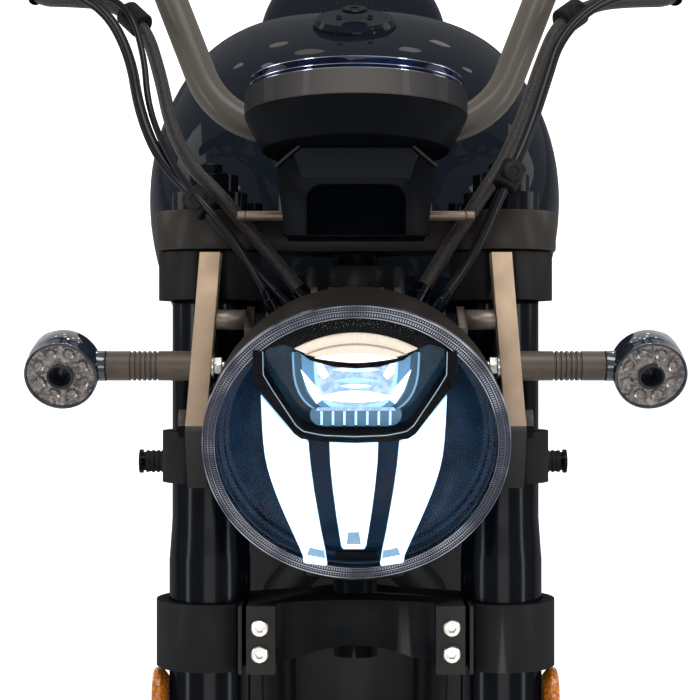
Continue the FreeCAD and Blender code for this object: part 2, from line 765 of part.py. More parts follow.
def calliper(radius, x_middle, angle, centre):
    """A brake calliper over the rim of a disc of this radius, at an angle up from the back."""
    bridge = radius + DISC_HOLE_RADIUS + CALLIPER_BRIDGE
    foot = bridge - CALLIPER_DEPTH
    half_length = CALLIPER_LENGTH / 2
    half_thickness = CALLIPER_HALF_THICKNESS + CALLIPER_SLOT / 2
    block = side_prism([
        (foot, -half_length + CALLIPER_CHAMFER), (foot, half_length - CALLIPER_CHAMFER),
        (foot + CALLIPER_CHAMFER, half_length), (bridge - CALLIPER_CHAMFER, half_length),
        (bridge, half_length - CALLIPER_CHAMFER), (bridge, -half_length + CALLIPER_CHAMFER),
        (bridge - CALLIPER_CHAMFER, -half_length), (foot + CALLIPER_CHAMFER, -half_length),
    ], x_middle - half_thickness, x_middle + half_thickness)
    slot = Part.makeBox(CALLIPER_SLOT, bridge - CALLIPER_BRIDGE, CALLIPER_LENGTH + 2 * OVERRUN,
                        point(x_middle - CALLIPER_SLOT / 2, 0, -half_length - OVERRUN))
    body = block.cut(slot)
    body.rotate(ORIGIN, X_AXIS, angle)
    body.translate(centre)
    return body


def front_wheel():
    bore = FRONT_AXLE_RADIUS + TURN_GAP
    save("front_rim", [cast_wheel(FRONT_RIM_WIDTH, FRONT_HUB_WIDTH, bore, FRONT_AXLE)])
    save("front_tyre", [tyre(FRONT_TYRE_RADIUS, FRONT_TYRE_WIDTH, FRONT_RIM_WIDTH, FRONT_AXLE)])
    save("front_disc", [disc(FRONT_DISC_RADIUS, FRONT_DISC_X, FRONT_HUB_WIDTH / 2 + SEAT_GAP, FRONT_AXLE)])


def rear_pulley():
    """The toothed pulley, whose web and collar reach the hub."""
    low = BELT_INNER_X
    high = BELT_INNER_X + BELT_WIDTH
    rim_inner = REAR_PULLEY_RADIUS - PULLEY_WEB
    bore = REAR_AXLE_RADIUS + AXLE_SPACER_WALL + 2 * TURN_GAP
    hub_face = REAR_HUB_WIDTH / 2 + SEAT_GAP
    wheel = turned_across([
        (hub_face, bore), (hub_face, PULLEY_HUB_RADIUS), (low + PULLEY_WEB / 2, PULLEY_HUB_RADIUS),
        (low + PULLEY_WEB / 2, rim_inner), (low, rim_inner), (low, REAR_PULLEY_RADIUS),
        (high, REAR_PULLEY_RADIUS), (high, rim_inner), (low + PULLEY_WEB * 3 / 2, rim_inner),
        (low + PULLEY_WEB * 3 / 2, PULLEY_HUB_RADIUS), (high, PULLEY_HUB_RADIUS), (high, bore),
    ], REAR_AXLE)
    groove_width = math.pi * REAR_PULLEY_RADIUS / PULLEY_TEETH
    floor = REAR_PULLEY_RADIUS - PULLEY_TOOTH_DEPTH
    grooves = []
    for tooth in range(PULLEY_TEETH):
        groove = side_prism([
            (-groove_width / 2, REAR_PULLEY_RADIUS + PULLEY_TOOTH_DEPTH), (-groove_width / 4, floor),
            (groove_width / 4, floor), (groove_width / 2, REAR_PULLEY_RADIUS + PULLEY_TOOTH_DEPTH),
        ], low - OVERRUN, high + OVERRUN)
        groove.rotate(ORIGIN, X_AXIS, 360 * tooth / PULLEY_TEETH)
        groove.translate(REAR_AXLE)
        grooves.append(groove)
    return wheel.cut(Part.makeCompound(grooves))


def rear_wheel():
    bore = REAR_AXLE_RADIUS + TURN_GAP
    save("rear_rim", [cast_wheel(REAR_RIM_WIDTH, REAR_HUB_WIDTH, bore, REAR_AXLE)])
    save("rear_tyre", [tyre(REAR_TYRE_RADIUS, REAR_TYRE_WIDTH, REAR_RIM_WIDTH, REAR_AXLE)])
    far_side = -REAR_DISC_X - DISC_THICKNESS
    save("rear_disc", [disc(REAR_DISC_RADIUS, far_side, -REAR_HUB_WIDTH / 2 - SEAT_GAP, REAR_AXLE)])
    save("rear_pulley", [rear_pulley()])


# Fork


def outer_tube():
    """The outer tube of one leg: thicker below, with a cap above and a bore for the inner tube."""
    collar = LEG_LOWER_RADIUS + LEG_COLLAR_STEP
    collar_top = LEG_BOTTOM + LEG_COLLAR_HEIGHT
    tube = turned([
        (0, LEG_BOTTOM), (collar - LEG_COLLAR_EDGE, LEG_BOTTOM), (collar, LEG_BOTTOM + LEG_COLLAR_EDGE),
        (collar, collar_top), (LEG_LOWER_RADIUS, collar_top),
        (LEG_LOWER_RADIUS, LEG_TAPER_START), (LEG_CLAMP_RADIUS, LEG_TAPER_END), (LEG_CLAMP_RADIUS, LEG_TOP),
        (LEG_CAP_RADIUS, LEG_TOP), (LEG_CAP_RADIUS, LEG_TOP + LEG_CAP_HEIGHT), (0, LEG_TOP + LEG_CAP_HEIGHT),
    ], point(LEG_HALF_SPACING, 0, 0), Z_AXIS)
    bore = Part.makeCylinder(SLIDER_RADIUS + SEAT_GAP, LEG_BORE_DEPTH + OVERRUN,
                             point(LEG_HALF_SPACING, 0, LEG_BOTTOM - OVERRUN))
    return tube.cut(bore)


def inner_tube(calliper_lug):
    """The inner tube of one leg with its axle foot; the left foot also carries the calliper."""
    x = LEG_HALF_SPACING
    half = FOOT_WIDTH / 2
    tube = Part.makeCylinder(SLIDER_RADIUS, LEG_BOTTOM + SLIDER_OVERLAP, point(x, 0, 0))
    socket = turned([
        (0, 0), (FOOT_RADIUS, 0), (FOOT_RADIUS, FOOT_TOP - SLIDER_RADIUS),
        (SLIDER_RADIUS + LEG_COLLAR_STEP, FOOT_TOP), (0, FOOT_TOP),
    ], point(x, 0, 0), Z_AXIS)
    clamp = cross_bar(x - half, x + half, 0, 0, FOOT_CLAMP_RADIUS)
    pieces = [tube, socket, clamp]
    if calliper_lug:
        low = x - half + SEAT_GAP
        turn = math.radians(FRONT_CALLIPER_ANGLE)
        reach = FRONT_DISC_RADIUS - DISC_BAND / 2
        y_end = reach * math.cos(turn)
        z_end = reach * math.sin(turn)
        across = CALLIPER_LENGTH / 4
        y_step = -math.sin(turn) * across
        z_step = math.cos(turn) * across
        pieces.append(side_prism([
            (0, 0), (y_end - y_step, z_end - z_step), (y_end + y_step, z_end + z_step), (0, FOOT_TOP - half),
        ], low, low + FOOT_LUG_THICKNESS))
    leg = fused(pieces)
    return leg.cut(cross_bar(0, x + half + OVERRUN, 0, 0, FRONT_AXLE_RADIUS + SEAT_GAP))


def front_axle():
    """The axle with a spacer on each side of the hub, a head and a nut."""
    end = LEG_HALF_SPACING + FOOT_WIDTH / 2 + SEAT_GAP
    spacer = FRONT_AXLE_RADIUS + AXLE_SPACER_WALL
    foot = LEG_HALF_SPACING - FOOT_WIDTH / 2 - SEAT_GAP
    disc_face = FRONT_DISC_X + DISC_THICKNESS + SEAT_GAP
    hub_face = FRONT_HUB_WIDTH / 2 + SEAT_GAP
    return turned_across([
        (-end - AXLE_HEAD_LENGTH, 0), (-end - AXLE_HEAD_LENGTH, AXLE_HEAD_RADIUS), (-end, AXLE_HEAD_RADIUS),
        (-end, FRONT_AXLE_RADIUS), (-foot, FRONT_AXLE_RADIUS), (-foot, spacer), (-hub_face, spacer),
        (-hub_face, FRONT_AXLE_RADIUS), (disc_face, FRONT_AXLE_RADIUS), (disc_face, spacer), (foot, spacer),
        (foot, FRONT_AXLE_RADIUS), (end, FRONT_AXLE_RADIUS), (end, AXLE_HEAD_RADIUS),
        (end + AXLE_HEAD_LENGTH, AXLE_HEAD_RADIUS), (end + AXLE_HEAD_LENGTH, 0),
    ], FRONT_AXLE)


def leg_bores(radius, low, high):
    return [Part.makeCylinder(radius + SEAT_GAP, high - low + 2 * OVERRUN,
                              point(side * LEG_HALF_SPACING, 0, low - OVERRUN)) for side in SIDES]


def lower_yoke():
    """The lower yoke with the steering stem, and forward pinch blocks with two bolts each."""
    low = LOWER_YOKE_UP - LOWER_YOKE_HEIGHT / 2
    high = LOWER_YOKE_TOP
    boss = YOKE_BOSS_RADIUS
    boss_back = FORK_OFFSET + boss / 2
    inner = LEG_HALF_SPACING - LOWER_RING_RADIUS / 2
    web = plan_prism([
        (-inner, -LEG_CLAMP_RADIUS), (-PINCH_BLOCK_INNER_X, -LEG_CLAMP_RADIUS),
        Arc((0, -LEG_CLAMP_RADIUS / 2), (PINCH_BLOCK_INNER_X, -LEG_CLAMP_RADIUS)),
        (inner, -LEG_CLAMP_RADIUS), (inner, LEG_CLAMP_RADIUS), (boss, boss_back), (-boss, boss_back),
        (-inner, LEG_CLAMP_RADIUS),
    ], low + YOKE_ARCH_HEIGHT / 2, high)
    arch = front_prism([
        (-PINCH_BLOCK_INNER_X, low - OVERRUN), (-PINCH_BLOCK_INNER_X, low),
        Arc((0, low + YOKE_ARCH_HEIGHT), (PINCH_BLOCK_INNER_X, low)), (PINCH_BLOCK_INNER_X, low - OVERRUN),
    ], -PINCH_BLOCK_FRONT - OVERRUN, FORK_OFFSET + 2 * boss)
    pieces = [web, Part.makeCylinder(boss, LOWER_YOKE_HEIGHT, point(0, FORK_OFFSET, low))]
    block_width = PINCH_BLOCK_OUTER_X - PINCH_BLOCK_INNER_X
    for side in SIDES:
        leg_foot = point(side * LEG_HALF_SPACING, 0, low)
        pieces.append(Part.makeCylinder(LOWER_RING_RADIUS, LOWER_YOKE_HEIGHT, leg_foot))
        block_low = min(side * PINCH_BLOCK_INNER_X, side * PINCH_BLOCK_OUTER_X)
        pieces.append(Part.makeBox(block_width, PINCH_BLOCK_FRONT, LOWER_YOKE_HEIGHT,
                                   point(block_low, -PINCH_BLOCK_FRONT, low)))
    yoke = cut_away(fused(pieces), [arch] + leg_bores(LEG_LOWER_RADIUS, low, high))
    slot_x = PINCH_BLOCK_OUTER_X - PINCH_BOLT_INSET / 4
    for side in SIDES:
        slot_low = min(side * (slot_x - PINCH_SLOT), side * slot_x)
        yoke = yoke.cut(Part.makeBox(PINCH_SLOT, PINCH_BLOCK_FRONT + OVERRUN, LOWER_YOKE_HEIGHT + 2 * OVERRUN,
                                     point(slot_low, -PINCH_BLOCK_FRONT - OVERRUN, low - OVERRUN)))
    top = UPPER_YOKE_TOP + SEAT_GAP
    stem = Part.makeCylinder(STEM_RADIUS, top - low, point(0, FORK_OFFSET, low))
    nut = Part.makeCylinder(STEM_NUT_RADIUS, STEM_NUT_HEIGHT, point(0, FORK_OFFSET, top))
    return fused([yoke, stem, nut])


def upper_yoke():
    low = UPPER_YOKE_BOTTOM
    high = UPPER_YOKE_TOP
    inner = LEG_HALF_SPACING - UPPER_RING_RADIUS / 2
    boss = YOKE_BOSS_RADIUS
    boss_back = FORK_OFFSET + boss * 2 / 3
    front = UPPER_RING_RADIUS * 2 / 3
    plate = plan_prism([
        (-inner, -front), Arc((0, -front / 2), (inner, -front)),
        (inner, front), (boss, boss_back), (-boss, boss_back), (-inner, front),
    ], low, high)
    pieces = [plate, Part.makeCylinder(boss, UPPER_YOKE_HEIGHT, point(0, FORK_OFFSET, low))]
    for side in SIDES:
        leg_foot = point(side * LEG_HALF_SPACING, 0, low)
        pieces.append(Part.makeCylinder(UPPER_RING_RADIUS, UPPER_YOKE_HEIGHT, leg_foot))
    stem_bore = Part.makeCylinder(STEM_RADIUS + SEAT_GAP, UPPER_YOKE_HEIGHT + 2 * OVERRUN,
                                  point(0, FORK_OFFSET, low - OVERRUN))
    return cut_away(fused(pieces), leg_bores(LEG_CLAMP_RADIUS, low, high) + [stem_bore])


def reflectors():
    """Round side reflectors on the outer tubes, below the lower yoke."""
    solids = []
    edge = REFLECTOR_LENS_THICKNESS / 3
    for side in SIDES:
        x = side * (LEG_HALF_SPACING + LEG_LOWER_RADIUS + SEAT_GAP)
        out = point(side, 0, 0)
        solids.append(turned([
            (0, 0), (REFLECTOR_RADIUS * 2 / 3, 0), (REFLECTOR_RADIUS, REFLECTOR_THICKNESS / 2),
            (REFLECTOR_RADIUS, REFLECTOR_THICKNESS), (REFLECTOR_RADIUS - edge, REFLECTOR_THICKNESS + edge),
            (0, REFLECTOR_THICKNESS + REFLECTOR_LENS_THICKNESS),
        ], point(x, 0, REFLECTOR_UP), out))
    return solids


def stay_column(shift):
    """The left stay's bar as it looks from the front, splayed down to its neck, moved outwards by shift."""
    inner = STAY_INNER_X + shift
    foot = inner + STAY_SPLAY
    return front_prism([
        (inner, STAY_TOP), (inner + STAY_WIDTH, STAY_TOP), (foot + STAY_WIDTH, STAY_NECK_UP),
        (foot + STAY_WIDTH, STAY_BOTTOM), (foot, STAY_BOTTOM), (foot, STAY_NECK_UP),
    ], -STAY_FRONT, -STAY_BACK)


def lamp_stay():
    """One headlamp stay: a thick bar in front of the leg, on a clamp above and one below."""
    front = -STAY_FRONT
    back = -STAY_BACK
    foot_x = STAY_INNER_X + STAY_SPLAY + STAY_WIDTH
    blade = side_prism([
        (back, STAY_TOP), (front, STAY_TOP), (front, STAY_NECK_UP), (back - STAY_NECK_BACK, STAY_BOTTOM),
        (back, STAY_BOTTOM),
    ], STAY_INNER_X, foot_x).common(stay_column(0))
    pieces = [blade]
    clamps = (
        (STAY_UPPER_CLAMP_BOTTOM, STAY_UPPER_CLAMP_TOP, STAY_UPPER_CLAMP_RADIUS),
        (STAY_LOWER_CLAMP_BOTTOM, STAY_LOWER_CLAMP_TOP, STAY_LOWER_CLAMP_RADIUS),
    )
    for low, high, radius in clamps:
        pieces.append(Part.makeCylinder(radius, high - low, point(LEG_HALF_SPACING, 0, low)))
    pieces.append(cross_bar(foot_x - STAY_BOSS_SINK, foot_x + STAY_BOSS_LENGTH,
                            -(STAY_FRONT + STAY_BACK) / 2, STAY_BOSS_UP, STAY_BOSS_RADIUS))
    stay = fused(pieces)
    return cut_away(stay, leg_bores(LEG_CLAMP_RADIUS, STAY_LOWER_CLAMP_BOTTOM, STAY_UPPER_CLAMP_TOP))


# Headlamp, drawn level about its own axis with the rim in the plane of y = 0


def lamp_place(shape):
    """Moves a lamp piece from its own axis to its place in front of the fork."""
    shape.translate(fork_point(0, -LAMP_BACK, LAMP_UP))
    return shape


def lamp_arc(radius, front, back_radius):
    """Outline points of a round bowl wall, from its rim to its back."""
    middle = math.sqrt(1 / 2)
    back = front + math.sqrt(radius ** 2 - back_radius ** 2)
    return Arc((radius * middle, front + radius * middle), (back_radius, back))


def lamp_shell():
    inner_radius = LAMP_BOWL_RADIUS - LAMP_WALL
    outer = lamp_arc(LAMP_BOWL_RADIUS, LAMP_BAND, LAMP_BACK_RADIUS)
    inner = lamp_arc(inner_radius, LAMP_BAND, LAMP_BACK_RADIUS)
    boss_end = outer.end[1] + LAMP_WALL
    inner_back = inner.end[1]
    wall = turned([
        (LAMP_RADIUS - LAMP_WALL, 0), (LAMP_RADIUS, 0), (LAMP_RADIUS, LAMP_BAND / 2),
        (LAMP_BOWL_RADIUS, LAMP_BAND), outer,
        (LAMP_BACK_RADIUS, boss_end), (0, boss_end), (0, inner_back), (LAMP_BACK_RADIUS, inner_back),
        Arc(inner.through, (inner_radius, LAMP_BAND)), (inner_radius, LAMP_BAND / 2),
        (LAMP_RADIUS - LAMP_WALL, LAMP_BAND / 2),
    ], ORIGIN, Y_AXIS)
    return lamp_place(wall)


def dome(edge, edge_height, crown):
    """An arc from the top of a dome, on its axis, out to its edge at edge_height."""
    ball = (edge ** 2 + crown ** 2) / (2 * crown)
    middle = edge / 2
    drop = ball - math.sqrt(ball ** 2 - middle ** 2)
    return Arc((middle, edge_height - crown + drop), (edge, edge_height))


def lamp_lens():
    """The clear front, with a deep rim and a slightly domed face."""
    outer = LAMP_RADIUS - LAMP_WALL - SEAT_GAP
    inner = outer - LAMP_LENS_WALL
    back = LAMP_BAND / 2 - SEAT_GAP
    face = dome(outer, -LAMP_LENS_LIP, LAMP_LENS_CROWN)
    inside = dome(inner, -LAMP_LENS_LIP + LAMP_LENS_WALL, LAMP_LENS_CROWN)
    top = -LAMP_LENS_LIP - LAMP_LENS_CROWN
    lens = turned([
        (0, top), face, (outer, back), (inner, back), inside.end,
        Arc(inside.through, (0, top + LAMP_LENS_WALL)),
    ], ORIGIN, Y_AXIS)
    return lamp_place(lens)


def lamp_dish():
    """The dark dish behind the lens, seated inside the shell."""
    front = LAMP_BAND / 2 + SEAT_GAP
    rim = front + OPTICS_RIM_DEPTH
    outer = OPTICS_RADIUS
    flat = outer / 2
    floor = front + OPTICS_DEPTH
    back_x, back_y = DISH_BACK_SHARES
    face_x, face_y = DISH_FACE_SHARES
    return turned([
        (outer, front), (outer + LAMP_WALL, front), (outer + LAMP_WALL, rim), (outer, rim),
        Arc((outer * back_x, floor * back_y), (flat, floor + OPTICS_WALL)), (0, floor + OPTICS_WALL),
        (0, floor), (flat, floor), Arc((outer * face_x, floor * face_y), (outer - OPTICS_WALL, front)),
    ], ORIGIN, Y_AXIS)


DISH_BACK_SHARES = (0.86, 0.62)
DISH_FACE_SHARES = (0.83, 0.58)
LIGHT_BAR_SHARES = [
    [(-0.15, -0.02), (0.15, -0.02), (0.08, -0.62), (-0.08, -0.62)],
    [(0.25, -0.02), (0.34, 0.02), (0.54, 0.24), (0.53, -0.10), (0.46, -0.36), (0.30, -0.70), (0.16, -0.72)],
]
PROJECTOR_SHARES = [(-0.56, 0.62), (0.56, 0.62), (0.56, 0.40), (0.32, 0.10), (-0.32, 0.10), (-0.56, 0.40)]


def lamp_optics():
    """The dish with three light bars that narrow downwards, and the projector housing above."""
    front = LAMP_BAND / 2 + SEAT_GAP + OPTICS_DEPTH - LIGHT_BAR_THICKNESS
    solids = [lamp_dish()]
    for shares in LIGHT_BAR_SHARES:
        points = [(x * LAMP_RADIUS, z * LAMP_RADIUS) for x, z in shares]
        solids.append(front_prism(points, front, front + LIGHT_BAR_THICKNESS + OPTICS_WALL / 2))
    solids.append(mirrored(solids[-1]))
    points = [(x * LAMP_RADIUS, z * LAMP_RADIUS) for x, z in PROJECTOR_SHARES]
    back = front + LIGHT_BAR_THICKNESS
    solids.append(front_prism(points, back - PROJECTOR_DEPTH, back))
    return lamp_place(fused(solids))


def lamp_bracket():
    """A plate behind the headlamp on a spacer from each stay, with the finned junction box."""
    x_end = STAY_INNER_X + STAY_WIDTH / 2
    centre = fork_point(0, -LAMP_BRACKET_BACK, LAMP_BRACKET_UP)
    lamp = fork_point(0, -LAMP_BACK, LAMP_UP)
    back = lamp_arc(LAMP_BOWL_RADIUS, LAMP_BAND, LAMP_BACK_RADIUS).end[1] + LAMP_WALL
    plate_front = lamp.y + back + SEAT_GAP
    half = LAMP_BRACKET_PLATE_HEIGHT / 2
    inner = LAMP_BRACKET_INNER_X
    pin = LAMP_BRACKET_PIN_RADIUS
    pieces = [front_prism([
        (-inner, centre.z + pin), (inner, centre.z + pin), (inner, centre.z - pin),
        (half, lamp.z - half), (-half, lamp.z - half), (-inner, centre.z - pin),
    ], plate_front, plate_front + LAMP_BRACKET_PLATE)]
    y_low = min(plate_front, centre.y - pin)
    y_high = max(plate_front, centre.y + pin)
    for side in SIDES:
        ends = sorted((side * inner, side * x_end))
        pieces.append(cross_bar(ends[0], ends[1], centre.y, centre.z, pin))
        arm_low = min(side * inner, side * (inner - LAMP_BRACKET_PLATE))
        pieces.append(Part.makeBox(LAMP_BRACKET_PLATE, y_high - y_low, 2 * pin,
                                   point(arm_low, y_low, centre.z - pin)))
    box_top = centre.z + JUNCTION_RISE
    box_front = plate_front + LAMP_BRACKET_PLATE
    pieces.append(Part.makeBox(2 * JUNCTION_HALF_WIDTH, JUNCTION_DEPTH, JUNCTION_HEIGHT,
                               point(-JUNCTION_HALF_WIDTH, box_front, box_top - JUNCTION_HEIGHT)))
    for fin in range(JUNCTION_FINS):
        x = (fin - (JUNCTION_FINS - 1) / 2) * JUNCTION_FIN_PITCH - JUNCTION_FIN_THICKNESS / 2
        pieces.append(Part.makeBox(JUNCTION_FIN_THICKNESS, JUNCTION_FIN_DEPTH, JUNCTION_FIN_HEIGHT,
                                   point(x, box_front, box_top)))
    return cut_away(fused(pieces), both_sides(in_fork(stay_column(-SEAT_GAP))))


# Indicators


def indicator(centre_x, stem_start, stem, facing):
    """One round indicator on a rubber stem; facing is -1 to the front and 1 to the back."""
    front = stem.y + facing * INDICATOR_FORWARD
    back = front - facing * INDICATOR_DEPTH
    lens = back + facing * (INDICATOR_DEPTH - INDICATOR_LENS)
    direction = point(0, facing, 0)
    body = turned([
        (0, 0), (INDICATOR_RADIUS - INDICATOR_EDGE, 0), (INDICATOR_RADIUS, INDICATOR_EDGE),
        (INDICATOR_RADIUS, INDICATOR_DEPTH - INDICATOR_LENS), (0, INDICATOR_DEPTH - INDICATOR_LENS),
    ], point(centre_x, back, stem.z), direction)
    stem_end = centre_x - INDICATOR_RADIUS * INDICATOR_STEM_SHARE
    rod = cross_bar(stem_start, stem_end, stem.y, stem.z, INDICATOR_STEM_RADIUS)
    rim = INDICATOR_RADIUS - INDICATOR_LENS_EDGE
    glass = turned([
        (INDICATOR_HOLE_RADIUS, SEAT_GAP), (rim, SEAT_GAP), (rim, INDICATOR_LENS - INDICATOR_LENS_EDGE),
        (rim - INDICATOR_LENS_EDGE, INDICATOR_LENS), (INDICATOR_HOLE_RADIUS, INDICATOR_LENS),
    ], point(centre_x, lens, stem.z), direction)
    return fused([body, rod]), glass


def front_indicators():
    stem = fork_point(0, -INDICATOR_STEM_BACK, INDICATOR_STEM_UP)
    middle = STAY_INNER_X + (STAY_SPLAY + STAY_WIDTH) / 2
    body, glass = indicator(INDICATOR_CENTRE_X, middle, stem, -1)
    body = body.cut(in_fork(stay_column(SEAT_GAP)))
    nut = cross_bar(STAY_INNER_X - INDICATOR_NUT_LENGTH, middle, stem.y, stem.z, INDICATOR_NUT_RADIUS)
    nut = nut.cut(in_fork(stay_column(-SEAT_GAP)))
    save("front_indicators", both_sides(body) + both_sides(nut) + both_sides(glass))


def rear_indicators():
    stem = point(0, REAR_INDICATOR_Y, RAIL_Z)
    body, glass = indicator(REAR_INDICATOR_CENTRE_X, RAIL_HALF_SPACING + RAIL_RADIUS + SEAT_GAP, stem, 1)
    save("rear_indicators", both_sides(body) + both_sides(glass))


# Instrument and its bracket


def gauge_axis():
    tilt = math.radians(GAUGE_TILT)
    return point(0, math.sin(tilt), math.cos(tilt))


def gauge():
    """The round instrument's cup, and its dark glass face."""
    centre = point(0, -GAUGE_BACK, GAUGE_UP)
    bottom = -GAUGE_BAND - GAUGE_CONE
    cup = turned([
        (0, bottom), (GAUGE_FOOT_RADIUS, bottom), (GAUGE_RADIUS, -GAUGE_BAND), (GAUGE_RADIUS, 0),
        (GAUGE_GLASS_RADIUS, 0), (GAUGE_GLASS_RADIUS, -GAUGE_RIM_WALL), (0, -GAUGE_RIM_WALL),
    ], centre, gauge_axis())
    floor = -GAUGE_RIM_WALL + SEAT_GAP
    edge = GAUGE_GLASS_RADIUS - SEAT_GAP
    glass = turned([
        (0, floor), (edge, floor), (edge, GAUGE_GLASS - GAUGE_GLASS_EDGE),
        (edge - GAUGE_GLASS_EDGE, GAUGE_GLASS), (0, GAUGE_GLASS),
    ], centre, gauge_axis())
    return in_fork(cup), in_fork(glass)


def gauge_bracket():
    """The housing under the instrument, with a recess in front and two arms to the upper yoke."""
    pod = front_prism([
        (-POD_TOP_HALF_WIDTH, POD_TOP), (POD_TOP_HALF_WIDTH, POD_TOP), (POD_HALF_WIDTH, POD_SHOULDER),
        (POD_FOOT_HALF_WIDTH, POD_BOTTOM), (-POD_FOOT_HALF_WIDTH, POD_BOTTOM),
        (-POD_HALF_WIDTH, POD_SHOULDER),
    ], -POD_FRONT, -POD_REAR)
    half = POD_RECESS_HALF_WIDTH
    corner = POD_RECESS_CORNER
    bulge = corner - corner * math.sqrt(1 / 2)
    recess = front_prism([
        (-half, POD_BOTTOM - OVERRUN), (-half, POD_RECESS_TOP - corner),
        Arc((-half + bulge, POD_RECESS_TOP - bulge), (-half + corner, POD_RECESS_TOP)),
        (half - corner, POD_RECESS_TOP),
        Arc((half - bulge, POD_RECESS_TOP - bulge), (half, POD_RECESS_TOP - corner)),
        (half, POD_BOTTOM - OVERRUN),
    ], -POD_FRONT - OVERRUN, -POD_FRONT + POD_RECESS_DEPTH)
    above = Part.makeCylinder(2 * GAUGE_RADIUS, 2 * GAUGE_RADIUS, ORIGIN)
    centre = point(0, -GAUGE_BACK, GAUGE_UP)
    seat = centre - gauge_axis() * (GAUGE_BAND + GAUGE_CONE + SEAT_GAP)
    above.Placement = FreeCAD.Placement(seat, FreeCAD.Rotation(Z_AXIS, gauge_axis()))
    pieces = [cut_away(pod, [recess, above])]
    yoke_top = UPPER_YOKE_TOP
    arm_front = -POD_REAR - POD_ARM_THICKNESS
    arm_foot = POD_BOTTOM + POD_ARM_THICKNESS
    arm_back = -UPPER_RING_RADIUS - POD_ARM_THICKNESS
    for side in SIDES:
        x = side * POD_FOOT_HALF_WIDTH
        low = min(x, x + side * POD_ARM_THICKNESS)
        pieces.append(side_prism([
            (arm_front, arm_foot), (arm_front, POD_ARM_TOP), (-POD_REAR, POD_ARM_TOP),
            (POD_ARM_END, yoke_top + 2 * POD_ARM_THICKNESS), (POD_ARM_END, yoke_top + SEAT_GAP),
            (arm_back, yoke_top + SEAT_GAP), (arm_back, arm_foot),
        ], low, low + POD_ARM_THICKNESS))
    return in_fork(fused(pieces))


# Handlebar and controls


def bar_points():
    middle = point(0, FORK_OFFSET, BAR_UP)
    bend = point(BAR_BEND_X, FORK_OFFSET, BAR_UP)
    rise = point(BAR_RISE_X, FORK_OFFSET + BAR_RISE_BACK, BAR_RISE_UP)
    end = point(BAR_END_X, FORK_OFFSET + BAR_END_BACK, BAR_END_UP)
    return middle, bend, rise, end


def handlebar():
    middle, bend, rise, end = bar_points()
    points = [point(-p.x, p.y, p.z) for p in (end, rise, bend)] + [bend, rise, end]
    bends = [BAR_UPPER_BEND, BAR_LOWER_BEND, BAR_LOWER_BEND, BAR_UPPER_BEND]
    return swept(points, bends, BAR_RADIUS)


def bar_risers():
    """Two posts on the upper yoke, each with a round clamp about the bar."""
    solids = []
    yoke_top = UPPER_YOKE_TOP + SEAT_GAP
    half = RISER_CLAMP_WIDTH / 2
    bore = cross_bar(-BAR_BEND_X, BAR_BEND_X, FORK_OFFSET, BAR_UP, BAR_RADIUS + SEAT_GAP)
    for side in SIDES:
        x = side * RISER_X
        post = turned([
            (0, yoke_top), (RISER_RADIUS, yoke_top), (RISER_RADIUS - RISER_TAPER, BAR_UP), (0, BAR_UP),
        ], point(x, FORK_OFFSET, 0), Z_AXIS)
        clamp = cross_bar(x - half, x + half, FORK_OFFSET, BAR_UP, RISER_CLAMP_RADIUS)
        solids.append(fused([post, clamp]).cut(bore))
    return solids


def on_bar(distance):
    """The point on the left grip's axis at this distance in from the bar's end, and the axis."""
    middle, bend, rise, end = bar_points()
    along = (end - rise).normalize()
    return end - along * distance, along


def sleeve(start, length, radius):
    """A round piece about the left end of the bar, from start inwards, with its bore."""
    base, along = on_bar(start + length)
    outer = Part.makeCylinder(radius, length, base, along)
    bore = Part.makeCylinder(BAR_RADIUS + SEAT_GAP, length + 2 * OVERRUN, base - along * OVERRUN, along)
    return outer.cut(bore)


def grip():
    base, along = on_bar(0)
    plug = Part.makeCylinder(BAR_PLUG_RADIUS, BAR_PLUG_LENGTH, base + along * SEAT_GAP, along)
    return [sleeve(0, GRIP_LENGTH, GRIP_RADIUS), plug]


def switch_pod():
    return sleeve(GRIP_LENGTH + SEAT_GAP, SWITCH_LENGTH, SWITCH_RADIUS)


def brake_control():
    """The master cylinder's clamp with its reservoir, and the lever in front of the grip."""
    start = GRIP_LENGTH + SWITCH_LENGTH + 2 * SEAT_GAP
    clamp = sleeve(start, BRAKE_CLAMP_LENGTH, BRAKE_CLAMP_RADIUS)
    base, along = on_bar(start + BRAKE_CLAMP_LENGTH / 2)
    forward = (-Y_AXIS + along * along.y).normalize()
    body_end = base + forward * LEVER_REACH
    body = bar(base + forward * BRAKE_CLAMP_RADIUS * 3 / 4, body_end, BRAKE_CLAMP_RADIUS * 2 / 3)
    pot_top = UNDO_RAKE.multVec(Z_AXIS)
    pot = turned([
        (0, 0), (RESERVOIR_RADIUS - RESERVOIR_TAPER, 0), (RESERVOIR_RADIUS, RESERVOIR_HEIGHT / 2),
        (RESERVOIR_RADIUS, RESERVOIR_HEIGHT), (0, RESERVOIR_HEIGHT),
    ], base + forward * (LEVER_REACH * 3 / 4), pot_top)
    tip = body_end + along * LEVER_LENGTH - forward * (LEVER_REACH / 8)
    elbow = body_end + along * (LEVER_LENGTH / 3) + forward * (LEVER_REACH / 8)
    root = body_end - along * (LEVER_WIDTH / 2)
    blade = bent_bar([root, elbow, tip], LEVER_THICKNESS / 2, LEVER_LENGTH / 3)
    ball = Part.makeSphere(LEVER_BALL_RADIUS, tip)
    return fused([clamp, body, pot, blade, ball])


